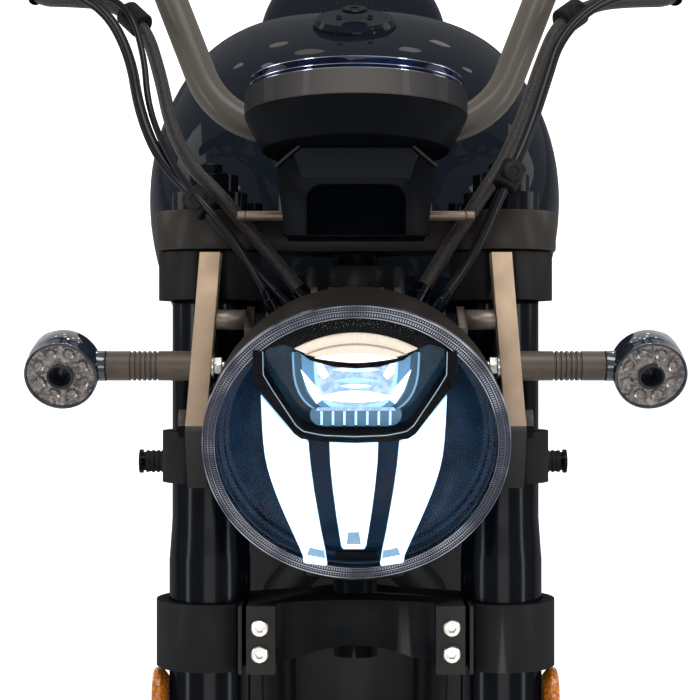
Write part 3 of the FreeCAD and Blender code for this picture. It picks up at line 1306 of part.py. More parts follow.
def mirror():
    """A round mirror head on a thin stalk from the brake clamp."""
    start = GRIP_LENGTH + SWITCH_LENGTH + 2 * SEAT_GAP + BRAKE_CLAMP_LENGTH / 2
    base, along = on_bar(start)
    upright = UNDO_RAKE.multVec(Z_AXIS)
    ahead = UNDO_RAKE.multVec(-Y_AXIS)
    root = base + upright * (BRAKE_CLAMP_RADIUS + 2 * SEAT_GAP)
    knee = root + upright * (MIRROR_RISE / 3)
    top = root + upright * MIRROR_RISE + X_AXIS * MIRROR_OUT
    stalk = bent_bar([root, knee, top], MIRROR_STALK_RADIUS, MIRROR_RISE / 4)
    edge = MIRROR_THICKNESS / 4
    back = dome(MIRROR_RADIUS, -edge, MIRROR_THICKNESS - edge)
    head = turned([
        (0, -MIRROR_THICKNESS), back, (MIRROR_RADIUS, -edge / 2), (MIRROR_RADIUS - edge / 2, 0),
        (0, 0),
    ], top - ahead * (MIRROR_THICKNESS / 2) + upright * (MIRROR_RADIUS / 2), -ahead)
    return fused([stalk, head])


# Hoses and wires on the fork, each from a control down behind the headlamp

RIGHT_BRAKE_HOSE = [
    (-219, 36, 902.5), (-214, 22, 884), (-194, 4, 870), (-166, -5, 854), (-149, -12, 822), (-142, -22, 784),
    (-127, -36, 750), (-103, -50, 726), (-80, -54, 698), (-60, -54, 674), (-40, -53, 653.7),
]
RIGHT_LOOM = [
    (-234, 86.4, 893.2), (-230, 74, 878), (-198, 48, 872), (-168, 30, 866), (-143, 14, 848), (-131, 2, 812),
    (-122, -12, 774), (-107, -28, 746), (-88, -42, 728), (-68, -44, 704), (-46, -46, 678), (-26, -53, 654.6),
]
RIGHT_WIRE = [
    (-247, 93, 896.0), (-238, 68, 884), (-208, 42, 877), (-178, 20, 872), (-152, 5, 858), (-141, -5, 824),
    (-137, -18, 790), (-126, -34, 762), (-112, -50, 738), (-96, -62, 720), (-78, -65, 700),
    (-64, -62, 676), (-52, -56, 651.6),
]
LEFT_BRAKE_HOSE = [
    (219, 36, 902.5), (214, 22, 884), (192, 6, 870), (160, -5, 859), (135, -13, 834), (125, -23, 804),
    (115, -34, 776), (104, -47, 750), (92, -54, 726), (80, -57, 698), (66, -57, 674), (50, -54, 652.7),
]
LEFT_LOOM = [
    (234, 86.4, 892.8), (230, 74, 878), (196, 46, 872), (166, 28, 866), (138, 12, 850), (124, -2, 818),
    (113, -14, 786), (98, -28, 752), (82, -38, 728), (66, -40, 704), (50, -44, 678), (36, -52, 655.4),
]


def hose_pieces():
    hoses = [
        hose(RIGHT_BRAKE_HOSE, BRAKE_HOSE_RADIUS), hose(RIGHT_LOOM, LOOM_RADIUS),
        hose(RIGHT_WIRE, THIN_WIRE_RADIUS), hose(LEFT_BRAKE_HOSE, BRAKE_HOSE_RADIUS),
        hose(LEFT_LOOM, THICK_LOOM_RADIUS),
    ]
    return [in_fork(piece) for piece in hoses]


# Mudguards


def guard(radius, half_width, start, end, centre, thickness):
    """A curved guard about the axle, with a rounded section, from start to end in degrees."""
    outer = radius + thickness
    skirt = MUDGUARD_SKIRT
    foot = radius - skirt
    inside = half_width * GUARD_SHOULDER_SHARE
    outside = inside + thickness * GUARD_CORNER_SHARE
    fall = skirt * GUARD_FALL_SHARE
    section = outline([
        (-half_width, foot), Arc((-inside, radius - fall), (0, radius)),
        Arc((inside, radius - fall), (half_width, foot)),
        (half_width + thickness, foot), Arc((outside, outer - fall), (0, outer)),
        Arc((-outside, outer - fall), (-half_width - thickness, foot)),
    ], lambda x, r: point(x, r, 0))
    shell = Part.Face(section).revolve(ORIGIN, X_AXIS, end - start)
    shell.rotate(ORIGIN, X_AXIS, start)
    shell.translate(centre)
    return shell


def front_mudguard():
    """The front guard, with a flat stay down to each fork foot."""
    radius = FRONT_TYRE_RADIUS + MUDGUARD_GAP
    shell = guard(radius, MUDGUARD_HALF_WIDTH, FRONT_GUARD_START_ANGLE, FRONT_GUARD_END_ANGLE, FRONT_AXLE,
                  MUDGUARD_THICKNESS)
    pieces = [shell]
    half = GUARD_STAY_WIDTH / 2
    thickness = GUARD_STAY_THICKNESS
    foot_face = LEG_HALF_SPACING - FOOT_RADIUS - SEAT_GAP
    step = GUARD_STAY_STEP_UP
    top = radius - MUDGUARD_SKIRT / 2
    inner = GUARD_STAY_UPPER_X
    outer = inner + thickness
    stay = front_prism([
        (foot_face, FOOT_CLAMP_RADIUS), (foot_face, step + thickness), (outer, step + thickness),
        (outer, top), (inner, top), (inner, step), (foot_face - thickness, step),
        (foot_face - thickness, FOOT_CLAMP_RADIUS),
    ], -half, half)
    pieces += [in_fork(piece) for piece in both_sides(stay)]
    return fused(pieces)


def rear_mudguard():
    """The short rear guard, hung from the subframe's hoop, with a blank plate behind."""
    radius = REAR_TYRE_RADIUS + 2 * MUDGUARD_GAP
    shell = guard(radius, REAR_GUARD_HALF_WIDTH, REAR_GUARD_START_ANGLE, REAR_GUARD_END_ANGLE, REAR_AXLE,
                  MUDGUARD_THICKNESS)
    top = RAIL_Z - RAIL_RADIUS - SEAT_GAP
    half = GUARD_STAY_WIDTH / 2
    post_y = SUBFRAME_END_Y
    base = REAR_AXLE_Z + radius
    post = Part.makeBox(2 * RAIL_HALF_SPACING - 4 * half, GUARD_STAY_THICKNESS, top - base,
                        point(-RAIL_HALF_SPACING + 2 * half, post_y - GUARD_STAY_THICKNESS / 2, base))
    return fused([shell, post])


# Frame


def frame_cuts():
    bore = Part.makeCylinder(STEM_RADIUS + TURN_GAP, HEAD_TUBE_TOP - HEAD_TUBE_BOTTOM + 2 * OVERRUN,
                             point(0, FORK_OFFSET, HEAD_TUBE_BOTTOM - OVERRUN))
    return in_fork(bore)


def pivot_plate():
    """One swingarm plate, from the top rail down to the stand's lug."""
    top_y = PLATE_TOP_Y
    return side_prism([
        (top_y - PLATE_TOP_HALF_WIDTH, PLATE_TOP_Z), (top_y + PLATE_TOP_HALF_WIDTH, PLATE_TOP_Z),
        (PIVOT_Y + PLATE_WAIST_HALF_WIDTH, PIVOT_Z + PLATE_WAIST_HALF_WIDTH),
        (PIVOT_Y + PLATE_WAIST_HALF_WIDTH, PIVOT_Z - PLATE_WAIST_HALF_WIDTH),
        (STAND_LUG_Y + PLATE_TOP_HALF_WIDTH, PLATE_BOTTOM_Z + PLATE_WAIST_HALF_WIDTH),
        (STAND_LUG_Y - PLATE_WAIST_HALF_WIDTH, PLATE_BOTTOM_Z + PLATE_WAIST_HALF_WIDTH),
        (PIVOT_Y - PLATE_WAIST_HALF_WIDTH, PIVOT_Z),
    ], PLATE_INNER_X, PLATE_OUTER_X)


def main_frame():
    """Head tube, twin top rails, twin down tubes and cradle, and the swingarm plates."""
    foot = point(0, FORK_OFFSET, HEAD_TUBE_BOTTOM)
    pieces = [Part.makeCylinder(HEAD_TUBE_RADIUS, HEAD_TUBE_TOP - HEAD_TUBE_BOTTOM, foot)]
    for up in (HEAD_TUBE_BOTTOM, HEAD_TUBE_TOP - HEAD_CUP_HEIGHT):
        pieces.append(Part.makeCylinder(HEAD_CUP_RADIUS, HEAD_CUP_HEIGHT, point(0, FORK_OFFSET, up)))
    pieces = [in_fork(piece) for piece in pieces]
    inset = STEM_RADIUS
    for side in SIDES:
        x = side * RAIL_HALF_SPACING
        root = fork_point(side * inset, FORK_OFFSET, RAIL_HEAD_UP)
        pieces.append(bent_bar([
            root, point(x, RAIL_FRONT_Y, RAIL_FRONT_Z), point(x, RAIL_KNEE_Y, RAIL_Z),
            point(x, FRAME_END_Y, RAIL_Z),
        ], RAIL_RADIUS, RAIL_BEND))
        x = side * DOWN_TUBE_HALF_SPACING
        root = fork_point(side * inset, FORK_OFFSET, DOWN_TUBE_HEAD_UP)
        pieces.append(bent_bar([
            root, point(x, DOWN_TUBE_Y, DOWN_TUBE_SHOULDER_Z), point(x, DOWN_TUBE_Y, CRADLE_Z),
            point(x, CRADLE_END_Y, CRADLE_Z),
        ], RAIL_RADIUS, CRADLE_BEND))
        plate = pivot_plate() if side > 0 else mirrored(pivot_plate())
        pieces.append(plate)
        lug_x = x - STAND_LUG_THICKNESS / 2
        pieces.append(Part.makeBox(STAND_LUG_THICKNESS, 2 * STAND_LUG_RADIUS, CRADLE_Z - STAND_LUG_Z,
                                   point(lug_x, STAND_LUG_Y - STAND_LUG_RADIUS, STAND_LUG_Z)))
        lug_end = lug_x + STAND_LUG_THICKNESS
        pieces.append(cross_bar(lug_x, lug_end, STAND_LUG_Y, STAND_LUG_Z, STAND_LUG_RADIUS))
    upper_z = RAIL_Z - CROSS_TUBE_DROP
    pieces.append(cross_bar(-PLATE_OUTER_X, PLATE_OUTER_X, PLATE_TOP_Y, upper_z, CROSS_TUBE_RADIUS))
    pieces.append(cross_bar(-PLATE_OUTER_X, PLATE_OUTER_X, STAND_LUG_Y, CRADLE_Z, CROSS_TUBE_RADIUS))
    frame = fused(pieces)
    reach = PLATE_OUTER_X + OVERRUN
    pivot = cross_bar(-reach, reach, PIVOT_Y, PIVOT_Z, ARM_BOLT_RADIUS + SEAT_GAP)
    stand_pin = cross_bar(-reach, reach, STAND_LUG_Y, STAND_LUG_Z, STAND_PIN_RADIUS + TURN_GAP)
    return cut_away(frame, [frame_cuts(), pivot, stand_pin])


def subframe():
    """The seat rails that join in a hoop behind the seat, with the shock absorbers' cross tube."""
    start = FRAME_END_Y - SEAT_GAP
    x = RAIL_HALF_SPACING
    hoop = bent_bar([
        point(x, start, RAIL_Z), point(x, SUBFRAME_END_Y, RAIL_Z), point(-x, SUBFRAME_END_Y, RAIL_Z),
        point(-x, start, RAIL_Z),
    ], RAIL_RADIUS, SUBFRAME_BEND)
    shock_tube = cross_bar(-SHOCK_TOP_STUB_X, SHOCK_TOP_STUB_X, SHOCK_TOP_Y, RAIL_Z, SHOCK_PIN_RADIUS)
    seat_tube = cross_bar(-x, x, SEAT_CROSS_Y, RAIL_Z, CROSS_TUBE_RADIUS)
    return fused([hoop, shock_tube, seat_tube])


def swingarm():
    """Two arms outside the plates, braced ahead of the tyre, on the pivot bolt."""
    z_pivot = PIVOT_Z
    arm = side_prism([
        (PIVOT_Y, z_pivot + ARM_PIVOT_RADIUS), (REAR_AXLE_Y, REAR_AXLE_Z + ARM_END_RADIUS),
        Arc((REAR_AXLE_Y + ARM_END_RADIUS, REAR_AXLE_Z), (REAR_AXLE_Y, REAR_AXLE_Z - ARM_END_RADIUS)),
        (PIVOT_Y, z_pivot - ARM_PIVOT_RADIUS),
        Arc((PIVOT_Y - ARM_PIVOT_RADIUS, z_pivot), (PIVOT_Y, z_pivot + ARM_PIVOT_RADIUS)),
    ], ARM_INNER_X, ARM_OUTER_X)
    share = (SHOCK_FOOT_Y - PIVOT_Y) / (REAR_AXLE_Y - PIVOT_Y)
    arm_z = z_pivot + (REAR_AXLE_Z - z_pivot) * share
    eye = SHOCK_LUG_RADIUS * 2 / 3
    lug = side_prism([
        (SHOCK_FOOT_Y - SHOCK_LUG_RADIUS, arm_z), (SHOCK_FOOT_Y + SHOCK_LUG_RADIUS, arm_z),
        (SHOCK_FOOT_Y + eye, SHOCK_FOOT_Z),
        Arc((SHOCK_FOOT_Y, SHOCK_FOOT_Z + eye), (SHOCK_FOOT_Y - eye, SHOCK_FOOT_Z)),
    ], ARM_LUG_INNER_X, ARM_OUTER_X)
    pin = cross_bar(ARM_OUTER_X - OVERRUN, SHOCK_TOP_STUB_X, SHOCK_FOOT_Y, SHOCK_FOOT_Z, SHOCK_PIN_RADIUS)
    side = fused([arm, lug, pin])
    pieces = both_sides(side)
    brace_z = z_pivot - BRACE_HALF_HEIGHT * 4 / 3
    brace = Part.makeBox(2 * ARM_INNER_X, BRACE_LENGTH, 2 * BRACE_HALF_HEIGHT,
                         point(-ARM_INNER_X, BRACE_FRONT_Y, brace_z))
    sleeve_end = PLATE_INNER_X - SEAT_GAP
    head_end = ARM_OUTER_X + ARM_BOLT_HEAD_LENGTH
    pieces += [
        brace,
        cross_bar(-sleeve_end, sleeve_end, PIVOT_Y, z_pivot, ARM_SLEEVE_RADIUS),
        Part.makeBox(2 * sleeve_end - 4 * BRACE_LENGTH, BRACE_FRONT_Y - PIVOT_Y, BRACE_HALF_HEIGHT,
                     point(-sleeve_end + 2 * BRACE_LENGTH, PIVOT_Y, z_pivot - BRACE_HALF_HEIGHT / 2)),
        cross_bar(-ARM_OUTER_X, ARM_OUTER_X, PIVOT_Y, z_pivot, ARM_BOLT_RADIUS),
        cross_bar(-head_end, -ARM_OUTER_X, PIVOT_Y, z_pivot, ARM_BOLT_HEAD_RADIUS),
        cross_bar(ARM_OUTER_X, head_end, PIVOT_Y, z_pivot, ARM_BOLT_HEAD_RADIUS),
    ]
    reach = ARM_OUTER_X + OVERRUN
    axle_bore = cross_bar(-reach, reach, REAR_AXLE_Y, REAR_AXLE_Z, REAR_AXLE_RADIUS + SEAT_GAP)
    return fused(pieces).cut(axle_bore)


def rear_axle():
    end = ARM_OUTER_X + SEAT_GAP
    spacer = REAR_AXLE_RADIUS + AXLE_SPACER_WALL
    arm = ARM_INNER_X - SEAT_GAP
    pulley_face = BELT_INNER_X + BELT_WIDTH + SEAT_GAP
    disc_face = REAR_DISC_X + DISC_THICKNESS + SEAT_GAP
    return turned_across([
        (-end - AXLE_HEAD_LENGTH, 0), (-end - AXLE_HEAD_LENGTH, AXLE_HEAD_RADIUS), (-end, AXLE_HEAD_RADIUS),
        (-end, REAR_AXLE_RADIUS), (-arm, REAR_AXLE_RADIUS), (-arm, spacer), (-disc_face, spacer),
        (-disc_face, REAR_AXLE_RADIUS), (pulley_face, REAR_AXLE_RADIUS), (pulley_face, spacer), (arm, spacer),
        (arm, REAR_AXLE_RADIUS), (end, REAR_AXLE_RADIUS), (end, AXLE_HEAD_RADIUS),
        (end + AXLE_HEAD_LENGTH, AXLE_HEAD_RADIUS), (end + AXLE_HEAD_LENGTH, 0),
    ], REAR_AXLE)


def rear_calliper():
    """The rear calliper and its bracket, which reaches the right arm beside the axle."""
    x_middle = -REAR_DISC_X - DISC_THICKNESS / 2
    body = calliper(REAR_DISC_RADIUS, x_middle, REAR_CALLIPER_ANGLE, REAR_AXLE)
    outer = x_middle - CALLIPER_HALF_THICKNESS - CALLIPER_SLOT / 2
    turn = math.radians(REAR_CALLIPER_ANGLE)
    reach = REAR_DISC_RADIUS - DISC_BAND / 2
    y_end = REAR_AXLE_Y + reach * math.cos(turn)
    z_end = REAR_AXLE_Z + reach * math.sin(turn)
    half = FOOT_LUG_THICKNESS
    bracket = side_prism([
        (y_end - half, z_end), (y_end + half, z_end + half), (REAR_AXLE_Y - half, REAR_AXLE_Z + 2 * half),
        (REAR_AXLE_Y - 4 * half, REAR_AXLE_Z),
    ], -ARM_INNER_X + SEAT_GAP, outer + SEAT_GAP * 3)
    return fused([body, bracket])


# Rear suspension


def shock():
    """One shock absorber: eyes, rod, body and spring seats, and the coil as a swept helix."""
    top = point(SHOCK_X, SHOCK_TOP_Y, RAIL_Z)
    foot = point(SHOCK_X, SHOCK_FOOT_Y, SHOCK_FOOT_Z)
    axis = (top - foot).normalize()
    length = (top - foot).Length
    spring_low = length * SPRING_START_SHARE
    spring_high = length * SPRING_END_SHARE
    seat = SHOCK_SEAT_THICKNESS
    spring = SHOCK_SPRING_RADIUS + SPRING_WIRE_RADIUS
    body = turned([
        (0, 0), (SHOCK_ROD_RADIUS, 0), (SHOCK_ROD_RADIUS, spring_low - seat), (spring, spring_low - seat),
        (spring, spring_low), (SHOCK_ROD_RADIUS, spring_low), (SHOCK_ROD_RADIUS, length / 2),
        (SHOCK_BODY_RADIUS, length / 2), (SHOCK_BODY_RADIUS, spring_high), (spring, spring_high),
        (spring, spring_high + seat), (SHOCK_BODY_RADIUS, spring_high + 2 * seat),
        (SHOCK_BODY_RADIUS, length - SHOCK_EYE_RADIUS), (SHOCK_ROD_RADIUS, length), (0, length),
    ], foot, axis)
    half = SHOCK_EYE_WIDTH / 2
    bore = SHOCK_PIN_RADIUS + SEAT_GAP
    pieces = [body]
    bores = []
    for eye in (top, foot):
        pieces.append(cross_bar(SHOCK_X - half, SHOCK_X + half, eye.y, eye.z, SHOCK_EYE_RADIUS))
        bores.append(cross_bar(SHOCK_X - half - OVERRUN, SHOCK_X + half + OVERRUN, eye.y, eye.z, bore))
    damper = cut_away(fused(pieces), bores)
    pitch = (spring_high - spring_low - 2 * SEAT_GAP) / SPRING_COILS
    wire_radius = SPRING_WIRE_RADIUS
    coil = Part.makeHelix(pitch, pitch * SPRING_COILS - 2 * wire_radius, SHOCK_SPRING_RADIUS)
    corners = []
    for corner in range(SPRING_WIRE_SIDES + 1):
        turn = 2 * math.pi * (corner + 1 / 2) / SPRING_WIRE_SIDES
        reach = SHOCK_SPRING_RADIUS + wire_radius * math.cos(turn)
        corners.append(point(reach, 0, wire_radius * math.sin(turn)))
    wire = Part.makePolygon(corners)
    spring_solid = Part.Wire(coil).makePipeShell([wire], True, True)
    spring_solid.Placement = FreeCAD.Placement(foot + axis * (spring_low + SPRING_WIRE_RADIUS + SEAT_GAP),
                                               FreeCAD.Rotation(Z_AXIS, axis))
    return damper, spring_solid


# Power unit


def battery_case():
    """The battery case between the tubes, with cooling fins cut into both sides."""
    half = BATTERY_HALF_WIDTH
    case = side_prism([
        (BATTERY_FRONT_Y + BATTERY_CORNER, BATTERY_BOTTOM_Z),
        (BATTERY_FRONT_Y, BATTERY_BOTTOM_Z + BATTERY_CORNER), (BATTERY_FRONT_Y, BATTERY_NOSE_Z),
        (BATTERY_FRONT_Y + BATTERY_NOSE_LENGTH, BATTERY_TOP_FRONT_Z), (BATTERY_BACK_Y, BATTERY_TOP_BACK_Z),
        (BATTERY_BACK_Y, BATTERY_STEP_Z), (BATTERY_LEG_BACK_Y, BATTERY_STEP_Z),
        (BATTERY_LEG_BACK_Y, BATTERY_BOTTOM_Z),
    ], -half, half)
    slots = []
    z = BATTERY_BOTTOM_Z + BATTERY_PLAIN_EDGE
    while z < BATTERY_NOSE_Z:
        back = BATTERY_LEG_BACK_Y if z < BATTERY_STEP_Z + BATTERY_PLAIN_EDGE else BATTERY_BACK_Y
        start = BATTERY_FRONT_Y + BATTERY_PLAIN_EDGE
        for side in SIDES:
            low = min(side * half, side * (half - BATTERY_FIN_DEPTH))
            overrun = 0 if side > 0 else -OVERRUN
            slots.append(Part.makeBox(BATTERY_FIN_DEPTH + OVERRUN, back - BATTERY_PLAIN_EDGE - start,
                                      BATTERY_FIN_SLOT, point(low + overrun, start, z)))
        z += BATTERY_FIN_PITCH
    return case.cut(Part.makeCompound(slots))


def motor():
    """The motor across the frame, ribbed round its edge, with its shaft to the front pulley."""
    left = MOTOR_LEFT_X
    right = -MOTOR_RIGHT_X
    items = [(right, 0), (right, MOTOR_COVER_RADIUS)]
    first = right + MOTOR_COVER_THICKNESS
    pitch = (left - MOTOR_COVER_THICKNESS - first) / MOTOR_RIB_COUNT
    floor = MOTOR_RADIUS - MOTOR_RIB_DEPTH
    for rib in range(MOTOR_RIB_COUNT):
        start = first + rib * pitch
        items += [
            (start, floor), (start + pitch / 3, MOTOR_RADIUS), (start + pitch * 2 / 3, MOTOR_RADIUS),
        ]
    items += [
        (left - MOTOR_COVER_THICKNESS, floor), (left, MOTOR_COVER_RADIUS), (left, MOTOR_SHAFT_RADIUS),
        (BELT_INNER_X + BELT_WIDTH, MOTOR_SHAFT_RADIUS), (BELT_INNER_X + BELT_WIDTH, 0),
    ]
    body = turned_across(items, point(0, MOTOR_Y, MOTOR_Z))
    pulley = cross_bar(BELT_INNER_X, BELT_INNER_X + BELT_WIDTH, MOTOR_Y, MOTOR_Z, FRONT_PULLEY_RADIUS)
    return fused([body, pulley])


def belt_outline(gap):
    """The loop round both pulleys, this far outside their rims, as an outline in (y, z)."""
    front = point(0, MOTOR_Y, MOTOR_Z)
    rear = REAR_AXLE
    span = rear - front
    small = FRONT_PULLEY_RADIUS + gap
    large = REAR_PULLEY_RADIUS + gap
    base = math.atan2(span.z, span.y)
    lean = math.asin((large - small) / span.Length)
    top = base + math.pi / 2 + lean
    low = base - math.pi / 2 - lean

    def on(centre, radius, angle):
        return (centre.y + radius * math.cos(angle), centre.z + radius * math.sin(angle))

    return [
        on(front, small, top), on(rear, large, top), Arc(on(rear, large, base), on(rear, large, low)),
        on(front, small, low), Arc(on(front, small, base + math.pi), on(front, small, top)),
    ]


def drive_belt():
    """The belt as one loop, with a plain inner face that runs on the pulleys' teeth."""
    low = BELT_INNER_X
    high = BELT_INNER_X + BELT_WIDTH
    inner = side_prism(belt_outline(TURN_GAP), low - OVERRUN, high + OVERRUN)
    outer = side_prism(belt_outline(TURN_GAP + BELT_THICKNESS), low + BELT_EDGE, high - BELT_EDGE)
    return outer.cut(inner)


# Tank, seat and tail

TANK_SECTION_SHARES = [
    (0, 1.0), (0.40, 0.975), (0.74, 0.86), (0.95, 0.62), (1.0, 0.40), (0.97, 0.18), (0.88, 0.02), (0.55, 0.0),
    (0, 0.0),
]
TANK_STATION_SHARES = [
    (0.0, 0.42, 0.40), (0.05, 0.70, 0.68), (0.16, 0.92, 0.90), (0.38, 1.0, 1.0), (0.62, 0.90, 0.93),
    (0.82, 0.66, 0.72), (0.95, 0.50, 0.54), (1.0, 0.44, 0.44),
]


def section_wire(y, half_width, low, high, shares):
    """A closed, smooth, symmetric section at y."""
    right = [point(x * half_width, y, low + (high - low) * z) for x, z in shares]
    left = [point(-p.x, p.y, p.z) for p in reversed(right[1:-1])]
    curve = Part.BSplineCurve()
    curve.interpolate(Points=right + left, PeriodicFlag=True)
    return Part.Wire(curve.toShape())


def tank():
    """A lofted tank that straddles the top rails, with a tunnel cut for them."""
    body = lofted(TANK_FRONT_Y, TANK_BACK_Y, TANK_HALF_WIDTH, TANK_BOTTOM_Z, TANK_HEIGHT, TANK_STATION_SHARES,
                  TANK_SECTION_SHARES)
    clear = RAIL_HALF_SPACING + RAIL_RADIUS + SEAT_GAP
    rise = RAIL_RADIUS + SEAT_GAP
    slope = (RAIL_Z - RAIL_FRONT_Z) / (RAIL_KNEE_Y - RAIL_FRONT_Y)
    rise_along = rise * math.sqrt(1 + slope ** 2)
    front = TANK_FRONT_Y - 4 * OVERRUN
    floor = TANK_BOTTOM_Z - 10 * OVERRUN
    roof = RAIL_Z + rise_along
    tunnel = side_prism([
        (front, floor), (front, roof + slope * (front - RAIL_KNEE_Y)), (RAIL_KNEE_Y, roof),
        (TANK_BACK_Y + OVERRUN, roof), (TANK_BACK_Y + OVERRUN, floor),
    ], -clear, clear)
    flare_y = RAIL_FRONT_Y + RAIL_BEND / 2
    flare_z = roof + slope * (flare_y - RAIL_KNEE_Y)
    flare = side_prism([
        (front, floor), (front, flare_z + TANK_TUNNEL_FLARE), (flare_y, flare_z), (flare_y, floor),
    ], -clear - OVERRUN, clear + OVERRUN)
    body = cut_away(body, [tunnel, flare])
    return fused([body, tank_cap()])


def tank_cap():
    """The round flap on top of the tank, let into the crown."""
    return turned([
        (0, 0), (TANK_CAP_RADIUS, 0), (TANK_CAP_RADIUS, TANK_CAP_HEIGHT / 2),
        (TANK_CAP_RADIUS - TANK_CAP_EDGE, TANK_CAP_HEIGHT), (0, TANK_CAP_HEIGHT),
    ], point(0, TANK_CAP_Y, TANK_TOP_Z - TANK_CAP_HEIGHT / 3), Z_AXIS)


SEAT_SECTION_SHARES = [
    (0, 1.0), (0.50, 0.97), (0.85, 0.82), (1.0, 0.52), (0.98, 0.18), (0.86, 0.0), (0.4, 0.0), (0, 0.0),
]
SEAT_STATION_SHARES = [
    (0.0, 0.52, 0.62), (0.10, 0.62, 0.80), (0.35, 0.84, 0.86), (0.70, 1.0, 0.88), (0.90, 1.0, 1.0),
    (1.0, 0.96, 1.12),
]
COWL_STATION_SHARES = [
    (0.0, 1.0, 0.66), (0.18, 0.98, 0.94), (0.40, 0.92, 1.0), (0.70, 0.74, 0.86), (0.92, 0.52, 0.62),
    (1.0, 0.42, 0.50),
]


def lofted(front_y, back_y, half_width, low, height, stations, shares):
    length = back_y - front_y
    sections = [section_wire(front_y + y * length, half_width * wide, low, low + height * tall, shares)
                for y, wide, tall in stations]
    return Part.makeLoft(sections, True, False)


def above_rails(shape):
    """Trims a piece flat so that it sits on the seat rails."""
    floor = RAIL_Z + RAIL_RADIUS + SEAT_GAP
    size = COWL_BACK_Y
    block = Part.makeBox(size, 2 * size, size, point(-size / 2, 0, floor - size))
    return shape.cut(block)


def seat():
    low = RAIL_Z + RAIL_RADIUS - SEAT_GAP
    return above_rails(lofted(SEAT_FRONT_Y, SEAT_BACK_Y, SEAT_HALF_WIDTH, low, SEAT_THICKNESS,
                              SEAT_STATION_SHARES, SEAT_SECTION_SHARES))


def tail_cowl():
    low = RAIL_Z + RAIL_RADIUS - SEAT_GAP
    return above_rails(lofted(SEAT_BACK_Y + COWL_GAP, COWL_BACK_Y, SEAT_HALF_WIDTH, low, COWL_HEIGHT,
                              COWL_STATION_SHARES, SEAT_SECTION_SHARES))


def tail_lamp():
    return turned([
        (0, 0), (TAIL_LAMP_RADIUS, 0), (TAIL_LAMP_RADIUS, TAIL_LAMP_DEPTH * 2 / 3),
        (TAIL_LAMP_RADIUS - TAIL_LAMP_EDGE, TAIL_LAMP_DEPTH), (0, TAIL_LAMP_DEPTH),
    ], point(0, COWL_BACK_Y + SEAT_GAP, TAIL_LAMP_Z), Y_AXIS)


# Foot rests and centre stand


def foot_rest():
    """One rest on a plate outside the swingarm, held off the frame plate by two spacers."""
    x = REST_PLATE_X
    end = x + REST_PLATE_THICKNESS
    tip = end + REST_LENGTH
    edge = REST_EDGE
    plate = side_prism([
        (REST_LOWER_Y - edge, REST_LOWER_Z - edge), (REST_LOWER_Y + edge, REST_LOWER_Z - edge),
        (REST_Y + edge, REST_Z - edge), (REST_Y + edge, REST_Z + edge), (REST_Y - edge, REST_Z + edge),
        (REST_LOWER_Y - edge, REST_LOWER_Z + edge),
    ], x, end)
    start = PLATE_OUTER_X + SEAT_GAP
    pieces = [
        plate,
        cross_bar(start, x, REST_LOWER_Y, REST_LOWER_Z, REST_SPACER_RADIUS),
        cross_bar(start, x, REST_UPPER_Y, REST_UPPER_Z, REST_SPACER_RADIUS),
        cross_bar(end, tip, REST_Y, REST_Z, REST_RADIUS),
        cross_bar(end, end + REST_RADIUS, REST_Y, REST_Z, REST_RADIUS + REST_ROOT_STEP),
        cross_bar(tip, tip + REST_END_LENGTH, REST_Y, REST_Z, REST_RADIUS + REST_END_STEP),
    ]
    return fused(pieces)


def centre_stand():
    """Two legs on pins in the frame's lugs, with a brace between them and a pad under each."""
    ear_low = STAND_EAR_INNER_X
    ear_high = STAND_EAR_OUTER_X
    foot_y = STAND_LUG_Y - STAND_FOOT_FORWARD
    top = point((ear_low + ear_high) / 2, STAND_LUG_Y, STAND_LUG_Z)
    foot = point(STAND_FOOT_X, foot_y, STAND_PAD_THICKNESS)
    pin_start = DOWN_TUBE_HALF_SPACING - STAND_LUG_THICKNESS / 2 - STAND_PIN_RADIUS / 2
    leg = fused([
        cross_bar(ear_low, ear_high, STAND_LUG_Y, STAND_LUG_Z, STAND_EAR_RADIUS),
        cross_bar(pin_start, ear_low, STAND_LUG_Y, STAND_LUG_Z, STAND_PIN_RADIUS),
        bar(top, foot, STAND_TUBE_RADIUS),
        Part.makeBox(STAND_PAD_WIDTH, STAND_PAD_LENGTH, STAND_PAD_THICKNESS,
                     point(STAND_FOOT_X - STAND_PAD_WIDTH / 2, foot_y - STAND_PAD_LENGTH / 2, 0)),
    ])
    floor = Part.makeBox(STAND_PAD_WIDTH * 4, STAND_PAD_LENGTH * 4, STAND_PAD_LENGTH,
                         point(0, foot_y - STAND_PAD_LENGTH * 2, -STAND_PAD_LENGTH))
    leg = leg.cut(floor)
    middle = top + (foot - top) * STAND_BRACE_SHARE
    brace = cross_bar(-middle.x, middle.x, middle.y, middle.z, STAND_TUBE_RADIUS * 3 / 4)
    return fused(both_sides(leg) + [brace])


